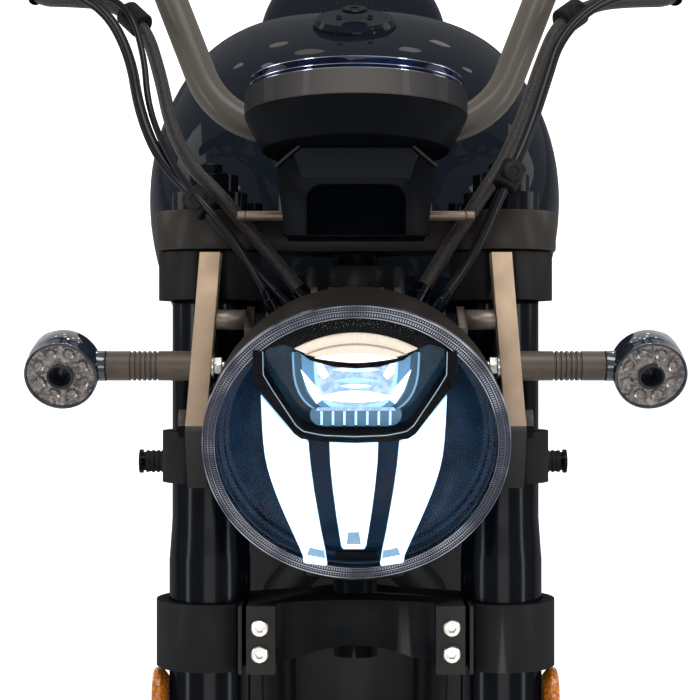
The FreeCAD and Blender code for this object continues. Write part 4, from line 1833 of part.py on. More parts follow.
def main():
    os.makedirs("parts", exist_ok=True)
    front_wheel()
    rear_wheel()
    save("fork_outer_tubes", [in_fork(piece) for piece in both_sides(outer_tube())])
    save("fork_inner_tubes", [in_fork(inner_tube(True)), in_fork(mirrored(inner_tube(False)))])
    save("front_axle", [front_axle()])
    save("lower_yoke", [in_fork(lower_yoke())])
    save("upper_yoke", [in_fork(upper_yoke())])
    save("fork_reflectors", [in_fork(piece) for piece in reflectors()])
    save("lamp_stays", [in_fork(piece) for piece in both_sides(lamp_stay())] + [lamp_bracket()])
    save("headlamp_shell", [lamp_shell()])
    save("headlamp_lens", [lamp_lens()])
    save("headlamp_optics", [lamp_optics()])
    front_indicators()
    rear_indicators()
    cup, glass = gauge()
    save("gauge_cup", [cup])
    save("gauge_glass", [glass])
    save("gauge_bracket", [gauge_bracket()])
    save("handlebar", [in_fork(piece) for piece in [handlebar()] + bar_risers()])
    save("grips", [in_fork(piece) for half in grip() for piece in both_sides(half)])
    save("switch_pods", [in_fork(piece) for piece in both_sides(switch_pod())])
    save("brake_levers", [in_fork(piece) for piece in both_sides(brake_control())])
    save("mirrors", [in_fork(piece) for piece in both_sides(mirror())])
    save("control_hoses", hose_pieces())
    calliper_x = FRONT_DISC_X + DISC_THICKNESS / 2
    save("front_calliper", [in_fork(calliper(FRONT_DISC_RADIUS, calliper_x, FRONT_CALLIPER_ANGLE, ORIGIN))])
    save("front_mudguard", [front_mudguard()])
    save("main_frame", [fused([main_frame(), subframe()])])
    save("swingarm", [swingarm()])
    save("rear_axle", [rear_axle()])
    save("rear_calliper", [rear_calliper()])
    damper, spring = shock()
    save("shock_absorbers", both_sides(damper) + both_sides(spring))
    save("battery_case", [battery_case()])
    save("motor", [motor()])
    save("drive_belt", [drive_belt()])
    save("tank", [tank()])
    save("seat", [seat()])
    save("tail_cowl", [tail_cowl()])
    save("tail_lamp", [tail_lamp()])
    save("rear_mudguard", [rear_mudguard()])
    save("foot_rests", both_sides(foot_rest()))
    save("centre_stand", [centre_stand()])


main()
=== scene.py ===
# %% [markdown]
# # A cafe racer motorcycle with an electric drive
#
# The frame, wheels, fork and every other solid come in from the CAD pack. This lesson dresses them: it gives each
# one a material, models again the pieces whose shape needs more than the solid has, and adds the small pieces that
# make the machine believable. It goes from the setting to the hoses, and then round the machine from the front.

# %% Load the machine
import json
import math

import bpy
from mathutils import Matrix, Vector


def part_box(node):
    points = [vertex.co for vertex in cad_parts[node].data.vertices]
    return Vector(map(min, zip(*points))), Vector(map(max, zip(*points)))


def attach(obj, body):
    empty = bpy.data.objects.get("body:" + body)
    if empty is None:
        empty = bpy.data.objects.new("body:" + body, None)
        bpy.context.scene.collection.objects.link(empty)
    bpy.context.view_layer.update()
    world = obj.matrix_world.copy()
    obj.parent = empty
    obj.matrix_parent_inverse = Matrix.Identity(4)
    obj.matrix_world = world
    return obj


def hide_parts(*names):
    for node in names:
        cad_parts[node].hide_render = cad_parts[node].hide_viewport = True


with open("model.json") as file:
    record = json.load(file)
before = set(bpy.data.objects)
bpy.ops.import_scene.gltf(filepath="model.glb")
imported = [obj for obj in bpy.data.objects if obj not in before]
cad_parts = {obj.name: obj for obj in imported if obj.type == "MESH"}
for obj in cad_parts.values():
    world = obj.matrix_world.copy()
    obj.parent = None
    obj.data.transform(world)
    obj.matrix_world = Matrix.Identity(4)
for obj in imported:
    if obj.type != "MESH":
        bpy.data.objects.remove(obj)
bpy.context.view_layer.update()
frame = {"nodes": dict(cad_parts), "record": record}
nodes = frame["nodes"]

# %% [markdown]
# ## Units and places
#
# The sizes are written in millimetres, as on a drawing, and turned into metres as they are used. The fork leans
# back by 25 degrees, so whatever steers is drawn upright in the fork's own frame, across, back and up from the
# front axle, and leaned by one matrix.

# %% Units and places
MM = 0.001
RAKE = math.radians(25)
UPRIGHT = Matrix.Identity(4)
FRONT_AXLE = (-710.5, 293)
REAR_AXLE = (689.5, 334)
FORK = Matrix.Translation((0, FRONT_AXLE[0] * MM, FRONT_AXLE[1] * MM)) @ Matrix.Rotation(-RAKE, 4, "X")
FACING_FRONT = Matrix.Rotation(math.radians(90), 4, "X")
FACING_LEFT = Matrix.Rotation(math.radians(90), 4, "Y")
FACING_RIGHT = Matrix.Rotation(math.radians(-90), 4, "Y")
FACING_BACK = Matrix.Rotation(math.radians(-90), 4, "X")
SIDES = (1, -1)


def mm(*lengths):
    """Millimetres to metres: one number, or a vector of three."""
    return lengths[0] * MM if len(lengths) == 1 else Vector(lengths) * MM


def at(x, y, z, turn=UPRIGHT, base=UPRIGHT):
    """The matrix that puts a piece at a point of its base frame, after a turn."""
    return base @ Matrix.Translation(mm(x, y, z)) @ turn


def along(direction):
    """The turn that brings a piece's own Z to a direction."""
    return Vector(direction).to_track_quat("Z", "Y").to_matrix().to_4x4()


YOKE_UP = 440
print("the lower yoke's middle:", FORK @ mm(0, 0, YOKE_UP))

# %% [markdown]
# ## Modelling helpers
#
# Each new piece starts as a primitive and is shaped in edit mode, as by hand. An operator acts on whatever is
# selected, so every helper first deselects all. Round pieces are a circle that is extruded and resized from ring to
# ring, as on a lathe. Flat pieces are one vertex extruded round an outline and filled. A piece is drawn lying in its
# own frame, and its place is then applied to the mesh, so that its object stays at the origin.

# %% Modelling helpers
POLE = 0.002
MERGE = 0.006
SMOOTH = 32


def begin():
    """Leaves edit mode with nothing selected."""
    if bpy.context.object and bpy.context.object.mode != "OBJECT":
        bpy.ops.object.mode_set(mode="OBJECT")
    bpy.ops.object.select_all(action="DESELECT")
    bpy.context.tool_settings.mesh_select_mode = (True, False, False)


def pick(piece):
    """Makes a piece the only one selected, and the active one."""
    begin()
    piece.select_set(True)
    bpy.context.view_layer.objects.active = piece


def placed(name, data):
    """A new object of this mesh, curve, lamp or camera."""
    piece = bpy.data.objects.new(name, data)
    bpy.context.scene.collection.objects.link(piece)
    return piece


def all_selected(piece):
    """Goes into edit mode on one piece with all of it selected."""
    pick(piece)
    bpy.ops.object.mode_set(mode="EDIT")
    bpy.ops.mesh.select_all(action="SELECT")


def choose(piece, test):
    """Goes into edit mode with only those faces selected that pass a test."""
    pick(piece)
    bpy.context.tool_settings.mesh_select_mode = (False, False, True)
    bpy.ops.object.mode_set(mode="EDIT")
    bpy.ops.mesh.select_all(action="DESELECT")
    bpy.ops.object.mode_set(mode="OBJECT")
    for face in piece.data.polygons:
        face.select = test(face)
    bpy.ops.object.mode_set(mode="EDIT")


def settle(name, place, angle=SMOOTH):
    """Names the piece just modelled, closes it, turns its faces outwards and applies its place."""
    piece = bpy.context.object
    bpy.ops.object.mode_set(mode="EDIT")
    bpy.ops.mesh.select_all(action="SELECT")
    bpy.ops.mesh.remove_doubles(threshold=mm(MERGE))
    bpy.ops.mesh.normals_make_consistent(inside=False)
    bpy.ops.object.mode_set(mode="OBJECT")
    piece.name = name
    piece.data.name = name
    bpy.ops.object.transform_apply(location=True, rotation=True, scale=True)
    piece.matrix_world = place
    bpy.ops.object.transform_apply(location=True, rotation=True, scale=True)
    bpy.ops.object.shade_smooth_by_angle(angle=math.radians(angle))
    return piece


def extrude(x, y, z):
    """Extrudes what is selected by millimetres."""
    bpy.ops.mesh.extrude_region_move(TRANSFORM_OT_translate={"value": mm(x, y, z)})


def turned(name, profile, place=UPRIGHT, sides=96, angle=SMOOTH):
    """A round piece about its own Z, through (radius, height) rings."""
    begin()
    radius, height = profile[0]
    bpy.ops.mesh.primitive_circle_add(vertices=sides, radius=mm(max(radius, POLE)), location=mm(0, 0, height))
    bpy.ops.object.mode_set(mode="EDIT")
    for next_radius, next_height in profile[1:]:
        extrude(0, 0, next_height - height)
        scale = max(next_radius, POLE) / max(radius, POLE)
        bpy.ops.transform.resize(value=(scale, scale, 1), center_override=(0, 0, 0))
        radius, height = next_radius, next_height
    return settle(name, place, angle)


def traced(outline):
    """Starts a piece as one vertex extruded round a flat outline, in edit mode."""
    begin()
    bpy.ops.mesh.primitive_plane_add(size=MM)
    bpy.ops.object.mode_set(mode="EDIT")
    bpy.ops.mesh.merge(type="CENTER")
    bpy.ops.transform.translate(value=mm(*outline[0], 0))
    for (x0, y0), (x1, y1) in zip(outline, outline[1:]):
        extrude(x1 - x0, y1 - y0, 0)
    bpy.ops.mesh.select_all(action="SELECT")
    bpy.ops.mesh.edge_face_add()


def cut_out(name, outline, thickness, place=UPRIGHT):
    """A flat piece from a closed outline in its own X and Y, as thick as given along Z."""
    traced(outline)
    extrude(0, 0, thickness)
    return settle(name, place)


def block(name, size, place):
    """A box with its middle at the place."""
    begin()
    bpy.ops.mesh.primitive_cube_add(size=1, scale=mm(*size))
    return settle(name, place)


def oblong(half_x, low_y, high_y):
    """The outline of a rectangle that is even to both sides."""
    return [(-half_x, low_y), (half_x, low_y), (half_x, high_y), (-half_x, high_y)]


def square_ring(name, radius, height, half, place, sides, angle=SMOOTH):
    """A thin ring with a square section, half a side to each way of its middle line."""
    corners = [(-half, -half), (half, -half), (half, half), (-half, half), (-half, -half)]
    return turned(name, [(radius + out, height + up) for out, up in corners], place, sides, angle)


def shaped(piece, kind, **settings):
    """Adds a modifier and applies it."""
    pick(piece)
    modifier = piece.modifiers.new(kind.title(), kind)
    for setting, value in settings.items():
        setattr(modifier, setting, value)
    bpy.ops.object.modifier_apply(modifier=modifier.name)
    bpy.ops.object.shade_smooth_by_angle(angle=math.radians(SMOOTH))
    return piece


def rounded(piece, width, segments=2):
    """Rounds the sharp edges of a piece."""
    return shaped(piece, "BEVEL", width=mm(width), segments=segments, limit_method="ANGLE",
                  angle_limit=math.radians(SMOOTH), harden_normals=False)


def sunk(piece, width, depth, test=lambda face: face.normal.z > 0.9):
    """Insets the chosen faces, by default the flat front, and leaves the inner ones selected."""
    choose(piece, test)
    bpy.ops.mesh.inset(thickness=mm(width), depth=mm(depth))
    bpy.ops.object.mode_set(mode="OBJECT")


def parts_of(piece):
    """The loose parts of a piece, each as its own object."""
    all_selected(piece)
    bpy.ops.mesh.separate(type="LOOSE")
    bpy.ops.object.mode_set(mode="OBJECT")
    return list(bpy.context.selected_objects)


def copied(piece, place):
    """A copy of a piece with its own mesh, moved by a matrix that is applied to the mesh."""
    copy = placed(piece.name + "_copy", piece.data.copy())
    copy.data.transform(place)
    if place.to_3x3().determinant() < 0:
        copy.data.flip_normals()
    return copy


def joined(name, pieces):
    """Several pieces as one object."""
    begin()
    for piece in pieces:
        piece.select_set(True)
    bpy.context.view_layer.objects.active = pieces[0]
    if len(pieces) > 1:
        bpy.ops.object.join()
    pieces[0].name = name
    pieces[0].data.name = name
    return pieces[0]


def repeated(name, piece, places):
    """One piece modelled once and set at every place."""
    copies = [copied(piece, place) for place in places]
    bpy.data.objects.remove(piece)
    return joined(name, copies)


MIRROR = Matrix.Scale(-1, 4, (1, 0, 0))


def both_sides(name, piece):
    """The piece and its mirror image across the machine."""
    return joined(name, [piece, copied(piece, MIRROR)])


def turn_by(part, whole):
    """A part of a whole turn about a piece's own Z."""
    return Matrix.Rotation(2 * math.pi * part / whole, 4, "Z")


def circle(radius, count):
    """Points round a circle, for outlines and rows of bolts."""
    turns = [2 * math.pi * step / count for step in range(count)]
    return [(radius * math.cos(turn), radius * math.sin(turn)) for turn in turns]


print("modelling helpers ready")

# %% [markdown]
# ## Who carries what
#
# A piece says which body it moves with, which finish it has and which solid it stands for. One
# helper says all three at once.

# %% Carrying
LOOKS = {}


def fit(piece, body, look, *replaced):
    """Dresses a piece and hangs it on a body; it stands for the named nodes, if any."""
    material, slot = LOOKS[look]
    if piece.type == "MESH" and piece.data.materials:
        piece.data.materials.clear()
    piece.data.materials.append(material)
    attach(piece, body)
    if replaced:
        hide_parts(*replaced)
    return piece


# %% [markdown]
# ## Materials
#
# Every finish is a Principled shader. What is the same all over is set on the shader's own sockets, and what varies,
# such as grain, faint cloudiness or wear, comes from textures on Object coordinates. Since every piece sits at the
# origin, those are simply its place on the machine in metres, and a scale of 1000 is one cell to the millimetre.

# %% A finish
SOCKETS = {
    "coat": "Coat Weight", "coat_roughness": "Coat Roughness", "specular": "Specular IOR Level", "metal": "Metallic",
    "clear": "Transmission Weight", "ior": "IOR", "sheen": "Sheen Weight", "sheen_roughness": "Sheen Roughness",
    "glow": "Emission Strength", "alpha": "Alpha", "scatter": "Subsurface Weight",
}


class Finish:
    """A material that is built up one texture at a time."""

    def __init__(self, look, slot, colour, roughness, **levels):
        self.material = bpy.data.materials.new(look)
        self.material.use_nodes = True
        self.tree = self.material.node_tree
        self.shader = self.tree.nodes["Principled BSDF"]
        self.colour = (*colour, 1)
        self.shader.inputs["Base Color"].default_value = self.colour
        self.shader.inputs["Roughness"].default_value = roughness
        for level, value in levels.items():
            self.shader.inputs[SOCKETS[level]].default_value = value
        self.where = self.tree.nodes.new("ShaderNodeTexCoord").outputs["Object"]
        LOOKS[look] = (self.material, slot)

    def node(self, kind, **settings):
        made = self.tree.nodes.new(kind)
        for setting, value in settings.items():
            if setting in made.inputs:
                made.inputs[setting].default_value = value
            else:
                setattr(made, setting, value)
        return made

    def link(self, source, target):
        self.tree.links.new(source, target)

    def stretched(self, x, y, z):
        """Object coordinates stretched along the axes."""
        mapping = self.node("ShaderNodeMapping", Scale=(x, y, z))
        self.link(self.where, mapping.inputs["Vector"])
        return mapping.outputs["Vector"]

    def noise(self, scale, detail=3.0, where=None):
        texture = self.node("ShaderNodeTexNoise", Scale=scale, Detail=detail)
        self.link(where or self.where, texture.inputs["Vector"])
        return texture.outputs["Fac"]

    def cells(self, scale, feature="F1"):
        texture = self.node("ShaderNodeTexVoronoi", Scale=scale, feature=feature)
        self.link(self.where, texture.inputs["Vector"])
        return texture.outputs["Distance"]

    def waves(self, scale, direction="X", where=None):
        texture = self.node("ShaderNodeTexWave", Scale=scale, Distortion=0.0, bands_direction=direction)
        self.link(where or self.where, texture.inputs["Vector"])
        return texture.outputs["Fac"]

    def level(self, value, low, high, start=0.3, end=0.7):
        """Maps a texture's values onto a range."""
        ranged = self.node("ShaderNodeMapRange")
        for socket, number in (("From Min", start), ("From Max", end), ("To Min", low), ("To Max", high)):
            ranged.inputs[socket].default_value = number
        self.link(value, ranged.inputs["Value"])
        return ranged.outputs["Result"]

    def tint(self, value, colour, start=0.3, end=0.7):
        """Brings in another colour where a texture's value is high."""
        mix = self.node("ShaderNodeMix", data_type="RGBA")
        socket = self.shader.inputs["Base Color"]
        if socket.is_linked:
            self.link(socket.links[0].from_socket, mix.inputs["A"])
        else:
            mix.inputs["A"].default_value = self.colour
        mix.inputs["B"].default_value = (*colour, 1)
        self.link(self.level(value, 0, 1, start, end), mix.inputs["Factor"])
        self.link(mix.outputs["Result"], socket)
        return self

    def cloudy(self, value, low, high):
        """Lets a texture vary the roughness."""
        self.link(self.level(value, low, high), self.shader.inputs["Roughness"])
        return self

    def raised(self, value, distance, strength=0.6):
        """Bumps the surface by a texture; several bumps add up."""
        bump = self.node("ShaderNodeBump", Distance=mm(distance), Strength=strength)
        self.link(value, bump.inputs["Height"])
        socket = self.shader.inputs["Normal"]
        if socket.is_linked:
            self.link(socket.links[0].from_socket, bump.inputs["Normal"])
        self.link(bump.outputs["Normal"], socket)
        return self

    def worn(self, colour, start=0.53, end=0.60):
        """Lightens convex edges, where a hand or a cloth rubs."""
        edge = self.node("ShaderNodeNewGeometry").outputs["Pointiness"]
        return self.tint(edge, colour, start, end)


print("finish helper ready")

# %% [markdown]
# ## The setting
#
# A plain pale floor and soft studio light. The floor is a wide disc that a camera ray sees brighter than its own
# light makes it, so that it runs into the white background while the shadow stays. The world is white to the
# camera, to reflections and through glass, and dimmer as a light, so that nothing on the machine burns out.

# %% Floor and world
FLOOR_RADIUS = 9
FLOOR_DROP = 0.0004
NEAR, FAR = 1.6, 5.0
FLOOR_LIFT = 0.34
FAR_LIFT = 0.80
WORLD_LIGHT = 0.42
begin()
bpy.ops.mesh.primitive_circle_add(vertices=128, radius=FLOOR_RADIUS, fill_type="NGON", location=(0, 0, -FLOOR_DROP))
floor = settle("studio_floor", UPRIGHT)
floor_finish = Finish("studio_paper", "none", (0.86, 0.86, 0.86), 0.9, specular=0.0)
floor_finish.raised(floor_finish.noise(180.0), 0.2, 0.1)
rays = floor_finish.node("ShaderNodeLightPath")
far_off = floor_finish.node("ShaderNodeVectorMath", operation="LENGTH")
floor_finish.link(floor_finish.where, far_off.inputs[0])
seen = floor_finish.node("ShaderNodeMath", operation="MULTIPLY")
floor_finish.link(floor_finish.level(far_off.outputs["Value"], FLOOR_LIFT, FAR_LIFT, NEAR, FAR), seen.inputs[1])
floor_finish.link(rays.outputs["Is Camera Ray"], seen.inputs[0])
floor_finish.shader.inputs["Emission Color"].default_value = (1, 1, 1, 1)
floor_finish.link(seen.outputs["Value"], floor_finish.shader.inputs["Emission Strength"])
floor.data.materials.append(floor_finish.material)

world = bpy.data.worlds.new("studio")
bpy.context.scene.world = world
world.use_nodes = True
background = world.node_tree.nodes["Background"]
background.inputs["Color"].default_value = (1, 1, 1, 1)
world_rays = world.node_tree.nodes.new("ShaderNodeLightPath")
bright = world_rays.outputs["Is Camera Ray"]
for ray in ("Is Glossy Ray", "Is Transmission Ray"):
    either = world.node_tree.nodes.new("ShaderNodeMath")
    either.operation = "MAXIMUM"
    world.node_tree.links.new(bright, either.inputs[0])
    world.node_tree.links.new(world_rays.outputs[ray], either.inputs[1])
    bright = either.outputs["Value"]
strength = world.node_tree.nodes.new("ShaderNodeMapRange")
strength.inputs["To Min"].default_value = WORLD_LIGHT
world.node_tree.links.new(bright, strength.inputs["Value"])
world.node_tree.links.new(strength.outputs["Result"], background.inputs["Strength"])
bpy.context.scene.view_settings.view_transform = "Standard"
print("floor and world ready")

# %% [markdown]
# ## Lamps and camera
#
# Soft boxes stand above, at both sides, in front and behind. The tall narrow ones at the sides put the long upright
# highlights on the fork legs. The one behind is left out of reflections, so that it lays no square on the tank. The
# small round ones behind put blurred spots of light there instead. The camera stands in front of the headlamp and
# above it, and looks down by 25 degrees, square to the fork legs, through a long lens.

# %% Lamps and camera
def soft_box(name, place, target, size, watts, colour=(1, 1, 1)):
    """A rectangular lamp that faces its target, or a round one where its sides are equal."""
    light = bpy.data.lights.new(name, "AREA")
    light.shape = "DISK" if size[0] == size[1] else "RECTANGLE"
    light.size, light.size_y = size
    light.energy = watts
    light.color = colour
    lamp = placed(name, light)
    lamp.location = place
    lamp.rotation_euler = (Vector(target) - Vector(place)).to_track_quat("-Z", "Y").to_euler()
    lamp.visible_camera = False
    lamp.visible_glossy = name != "lamp_back"


COOL = (0.86, 0.93, 1.0)
WARM = (1.0, 0.86, 0.74)
GLINTS = [
    ((-0.9, 2.6, 3.2), 0.22, 1.2, COOL), ((-0.35, 3.0, 3.0), 0.26, 0.8, WARM), ((0.1, 2.7, 3.5), 0.30, 9.0, COOL),
    ((0.5, 3.1, 2.9), 0.26, 1.1, COOL), ((1.0, 2.6, 3.3), 0.24, 1.4, COOL), ((-0.6, 3.3, 2.4), 0.24, 0.7, WARM),
    ((0.75, 3.4, 2.2), 0.24, 0.9, WARM), ((1.35, 2.8, 2.9), 0.22, 1.2, COOL), ((-1.3, 3.0, 2.6), 0.20, 0.7, WARM)]
soft_box("lamp_above", (0.3, -0.9, 4.0), (0, -0.3, 0.8), (2.0, 1.2), 85)
soft_box("lamp_left", (2.6, -1.9, 1.7), (0, -0.5, 0.8), (0.35, 2.4), 46, COOL)
soft_box("lamp_right", (-2.6, -1.9, 1.7), (0, -0.5, 0.8), (0.35, 2.4), 46, COOL)
soft_box("lamp_front", (0.2, -4.6, 2.2), (0, -0.5, 0.8), (2.4, 1.2), 50)
soft_box("lamp_back", (-1.9, 3.2, 3.3), (0, 0.3, 0.7), (1.6, 1.0), 60)
for number, (place, size, watts, colour) in enumerate(GLINTS):
    soft_box("glint_" + str(number), place, (0, 0, 0.9), (size, size), watts, colour)
soft_box("lamp_flank_left", (3.4, 0.9, 2.0), (0, 0.2, 0.5), (1.8, 1.6), 55)
soft_box("lamp_flank_right", (-3.4, 0.9, 2.0), (0, 0.2, 0.5), (1.8, 1.6), 55)

CAMERA_PLACE = (-0.0037, -1.4169, 1.3148)
LENS = 82.3
SENSOR = 36
view = bpy.data.cameras.new("photo_view")
view.lens = LENS
view.sensor_width = SENSOR
camera = placed("photo_view", view)
camera.location = CAMERA_PLACE
camera.rotation_euler = (math.radians(90) - RAKE, 0, 0)
bpy.context.scene.camera = camera
print("camera at", CAMERA_PLACE, "with a lens of", LENS, "mm")

# %% [markdown]
# ## Finishes
#
# The metals first. A casting is never quite even: its skin has a fine pebble, it is cloudy where it was handled, and
# its edges are rubbed lighter. Lacquer has a clear coat over a dark base and next to no texture. Anodising is thin
# and smooth, so it only gets faint drawing lines.

# %% Metal finishes
lacquer = Finish("black_lacquer", "gloss_black", (0.0014, 0.0017, 0.0024), 0.12, coat=0.10, coat_roughness=0.02,
                 specular=0.0)
lacquer.tint(lacquer.cells(2600), (0.006, 0.008, 0.012), 0.0, 0.5)
lacquer.raised(lacquer.noise(260, 1), 0.02, 0.25)

powder = Finish("powder_coat", "frame_black", (0.0045, 0.0045, 0.005), 0.38, specular=0.0, coat=0.10,
                coat_roughness=0.30)
powder.raised(powder.noise(1500, 2), 0.05, 0.35).cloudy(powder.noise(30), 0.34, 0.46)
powder.worn((0.03, 0.03, 0.03))

bar_coat = Finish("bar_coat", "frame_black", (0.064, 0.055, 0.046), 0.34, specular=0.0, coat=0.22,
                  coat_roughness=0.26)
bar_coat.raised(bar_coat.noise(1900, 2), 0.03, 0.3).cloudy(bar_coat.noise(24), 0.30, 0.42)

anodised = Finish("black_anodising", "anodised_black", (0.0012, 0.0018, 0.003), 0.18, specular=0.0, coat=0.12,
                  coat_roughness=0.16)
anodised.raised(anodised.noise(900, 2, anodised.stretched(1, 1, 0.04)), 0.02, 0.15)
anodised.cloudy(anodised.noise(22), 0.14, 0.22)

stay_cast = Finish("stay_casting", "cast_grey", (0.350, 0.242, 0.157), 0.46, metal=0.25, specular=0.0)
stay_cast.tint(stay_cast.noise(55, 5), (0.190, 0.130, 0.083)).raised(stay_cast.noise(1100, 3), 0.12, 0.8)
stay_cast.cloudy(stay_cast.noise(70), 0.38, 0.55).worn((0.55, 0.42, 0.31), 0.56, 0.66)

yoke_cast = Finish("yoke_casting", "cast_black", (0.0040, 0.0048, 0.0064), 0.34, specular=0.0, coat=0.07,
                   coat_roughness=0.26)
yoke_cast.tint(yoke_cast.noise(45, 4), (0.009, 0.009, 0.009)).raised(yoke_cast.noise(1300, 3), 0.05, 0.45)
yoke_cast.cloudy(yoke_cast.noise(40), 0.30, 0.46).worn((0.05, 0.047, 0.043))

# A darker copy of the yoke casting, for the lower yoke and the stays' clamps and feet: its extra darkness is painted
# shade.
cast_painted_shade = Finish("casting_painted_shade", "cast_black", (0.0026, 0.0034, 0.0048), 0.36, specular=0.0, coat=0.03,
                     coat_roughness=0.30)
cast_painted_shade.tint(cast_painted_shade.noise(45, 4), (0.006, 0.006, 0.006)).raised(cast_painted_shade.noise(1300, 3), 0.05, 0.45)
cast_painted_shade.cloudy(cast_painted_shade.noise(40), 0.30, 0.46).worn((0.045, 0.043, 0.041))

clamp_cast = Finish("clamp_casting", "cast_black", (0.0095, 0.0078, 0.0070), 0.36, specular=0.0, coat=0.09,
                    coat_roughness=0.30)
clamp_cast.tint(clamp_cast.noise(50, 4), (0.006, 0.0055, 0.005)).raised(clamp_cast.noise(1200, 3), 0.05, 0.45)
clamp_cast.cloudy(clamp_cast.noise(60), 0.34, 0.50).worn((0.10, 0.085, 0.075))

machined = Finish("machined_metal", "machined", (0.42, 0.43, 0.45), 0.30, metal=1.0)
machined.raised(machined.noise(1400, 2, machined.stretched(0.05, 1, 1)), 0.02, 0.3)
machined.cloudy(machined.noise(60), 0.24, 0.38)

chrome = Finish("hard_chrome", "hard_chrome", (0.60, 0.61, 0.64), 0.06, metal=1.0)
chrome.cloudy(chrome.noise(80), 0.04, 0.10)

brake_steel = Finish("brake_steel", "steel", (0.46, 0.46, 0.47), 0.26, metal=1.0)
brake_steel.cloudy(brake_steel.noise(300, 2), 0.20, 0.34)

zinc = Finish("zinc_plating", "zinc_steel", (0.44, 0.43, 0.41), 0.30, metal=1.0)
zinc.tint(zinc.noise(140, 3), (0.30, 0.28, 0.25)).cloudy(zinc.noise(200), 0.22, 0.42)
print("metal finishes:", len(LOOKS) - 1)

# %% [markdown]
# Rubber, plastic and glass. Moulded plastic carries a fine leather grain, which is cells in a bump. Rubber is matt
# and a little dusty. A lens is clear or tinted and lets the light through.

# %% Plastic, rubber and glass finishes
plastic = Finish("grained_plastic", "black_plastic", (0.0022, 0.0026, 0.0034), 0.42, specular=0.0, coat=0.06,
                 coat_roughness=0.34)
plastic.raised(plastic.cells(900, "SMOOTH_F1"), 0.10, 0.5).cloudy(plastic.noise(40), 0.40, 0.54)

gloss_plastic = Finish("gloss_plastic", "gloss_plastic", (0.003, 0.003, 0.004), 0.10, coat=0.25, coat_roughness=0.03,
                       specular=0.0)
gloss_plastic.raised(gloss_plastic.noise(300, 1), 0.01, 0.2)

rubber = Finish("moulded_rubber", "rubber", (0.008, 0.008, 0.009), 0.56, specular=0.0, coat=0.08,
                coat_roughness=0.45)
rubber.tint(rubber.noise(90, 4), (0.013, 0.0125, 0.0125)).raised(rubber.noise(1600, 2), 0.04, 0.4)

tyre_rubber = Finish("tyre_rubber", "tyre", (0.009, 0.009, 0.010), 0.66, specular=0.0, coat=0.10,
                     coat_roughness=0.5)
tyre_rubber.tint(tyre_rubber.noise(35, 5), (0.016, 0.015, 0.0145)).raised(tyre_rubber.noise(1300, 3), 0.08, 0.5)

belt_rubber = Finish("belt_rubber", "belt", (0.008, 0.008, 0.009), 0.60, specular=0.0, coat=0.08,
                     coat_roughness=0.5)
belt_rubber.tint(belt_rubber.noise(120, 4), (0.030, 0.029, 0.028)).raised(belt_rubber.noise(1200, 3), 0.06, 0.4)

Finish("lamp_glass", "lamp_glass", (0.98, 0.99, 1.0), 0.0, clear=1.0, ior=1.08)

gauge_black = Finish("gauge_display", "gauge_glass", (0.001, 0.002, 0.006), 0.06, coat=0.10, coat_roughness=0.0,
                     specular=0.0)
gauge_black.tint(gauge_black.noise(50, 3), (0.002, 0.006, 0.030), 0.40, 0.62)

navy = Finish("navy_dish", "optics", (0.004, 0.011, 0.024), 0.24, specular=0.15)
navy.tint(navy.noise(60, 2), (0.008, 0.026, 0.058))

# The reflector's faint orange glow is painted light, for the light that it sends back.
amber = Finish("amber_reflector", "amber", (0.40, 0.125, 0.012), 0.22, coat=0.3, specular=0.2, glow=0.03)
amber.shader.inputs["Emission Color"].default_value = (0.9, 0.35, 0.04, 1)
amber.raised(amber.cells(420), 0.5, 0.9).tint(amber.cells(420), (0.20, 0.055, 0.006))

red_glass = Finish("red_lens", "red_lens", (0.42, 0.010, 0.010), 0.12, coat=1.0, glow=0.08)
red_glass.shader.inputs["Emission Color"].default_value = (0.6, 0.02, 0.02, 1)
red_glass.raised(red_glass.waves(140, "Z"), 0.4, 0.6)

leather = Finish("seat_leather", "seat_cover", (0.010, 0.0088, 0.0082), 0.42, specular=0.0, coat=0.20,
                 coat_roughness=0.34)
leather.raised(leather.cells(520, "SMOOTH_F1"), 0.25, 0.5).raised(leather.noise(900, 3), 0.05, 0.4)
leather.tint(leather.noise(25, 4), (0.018, 0.0155, 0.014)).cloudy(leather.noise(60), 0.42, 0.56)
print("all finishes:", len(LOOKS) - 1)
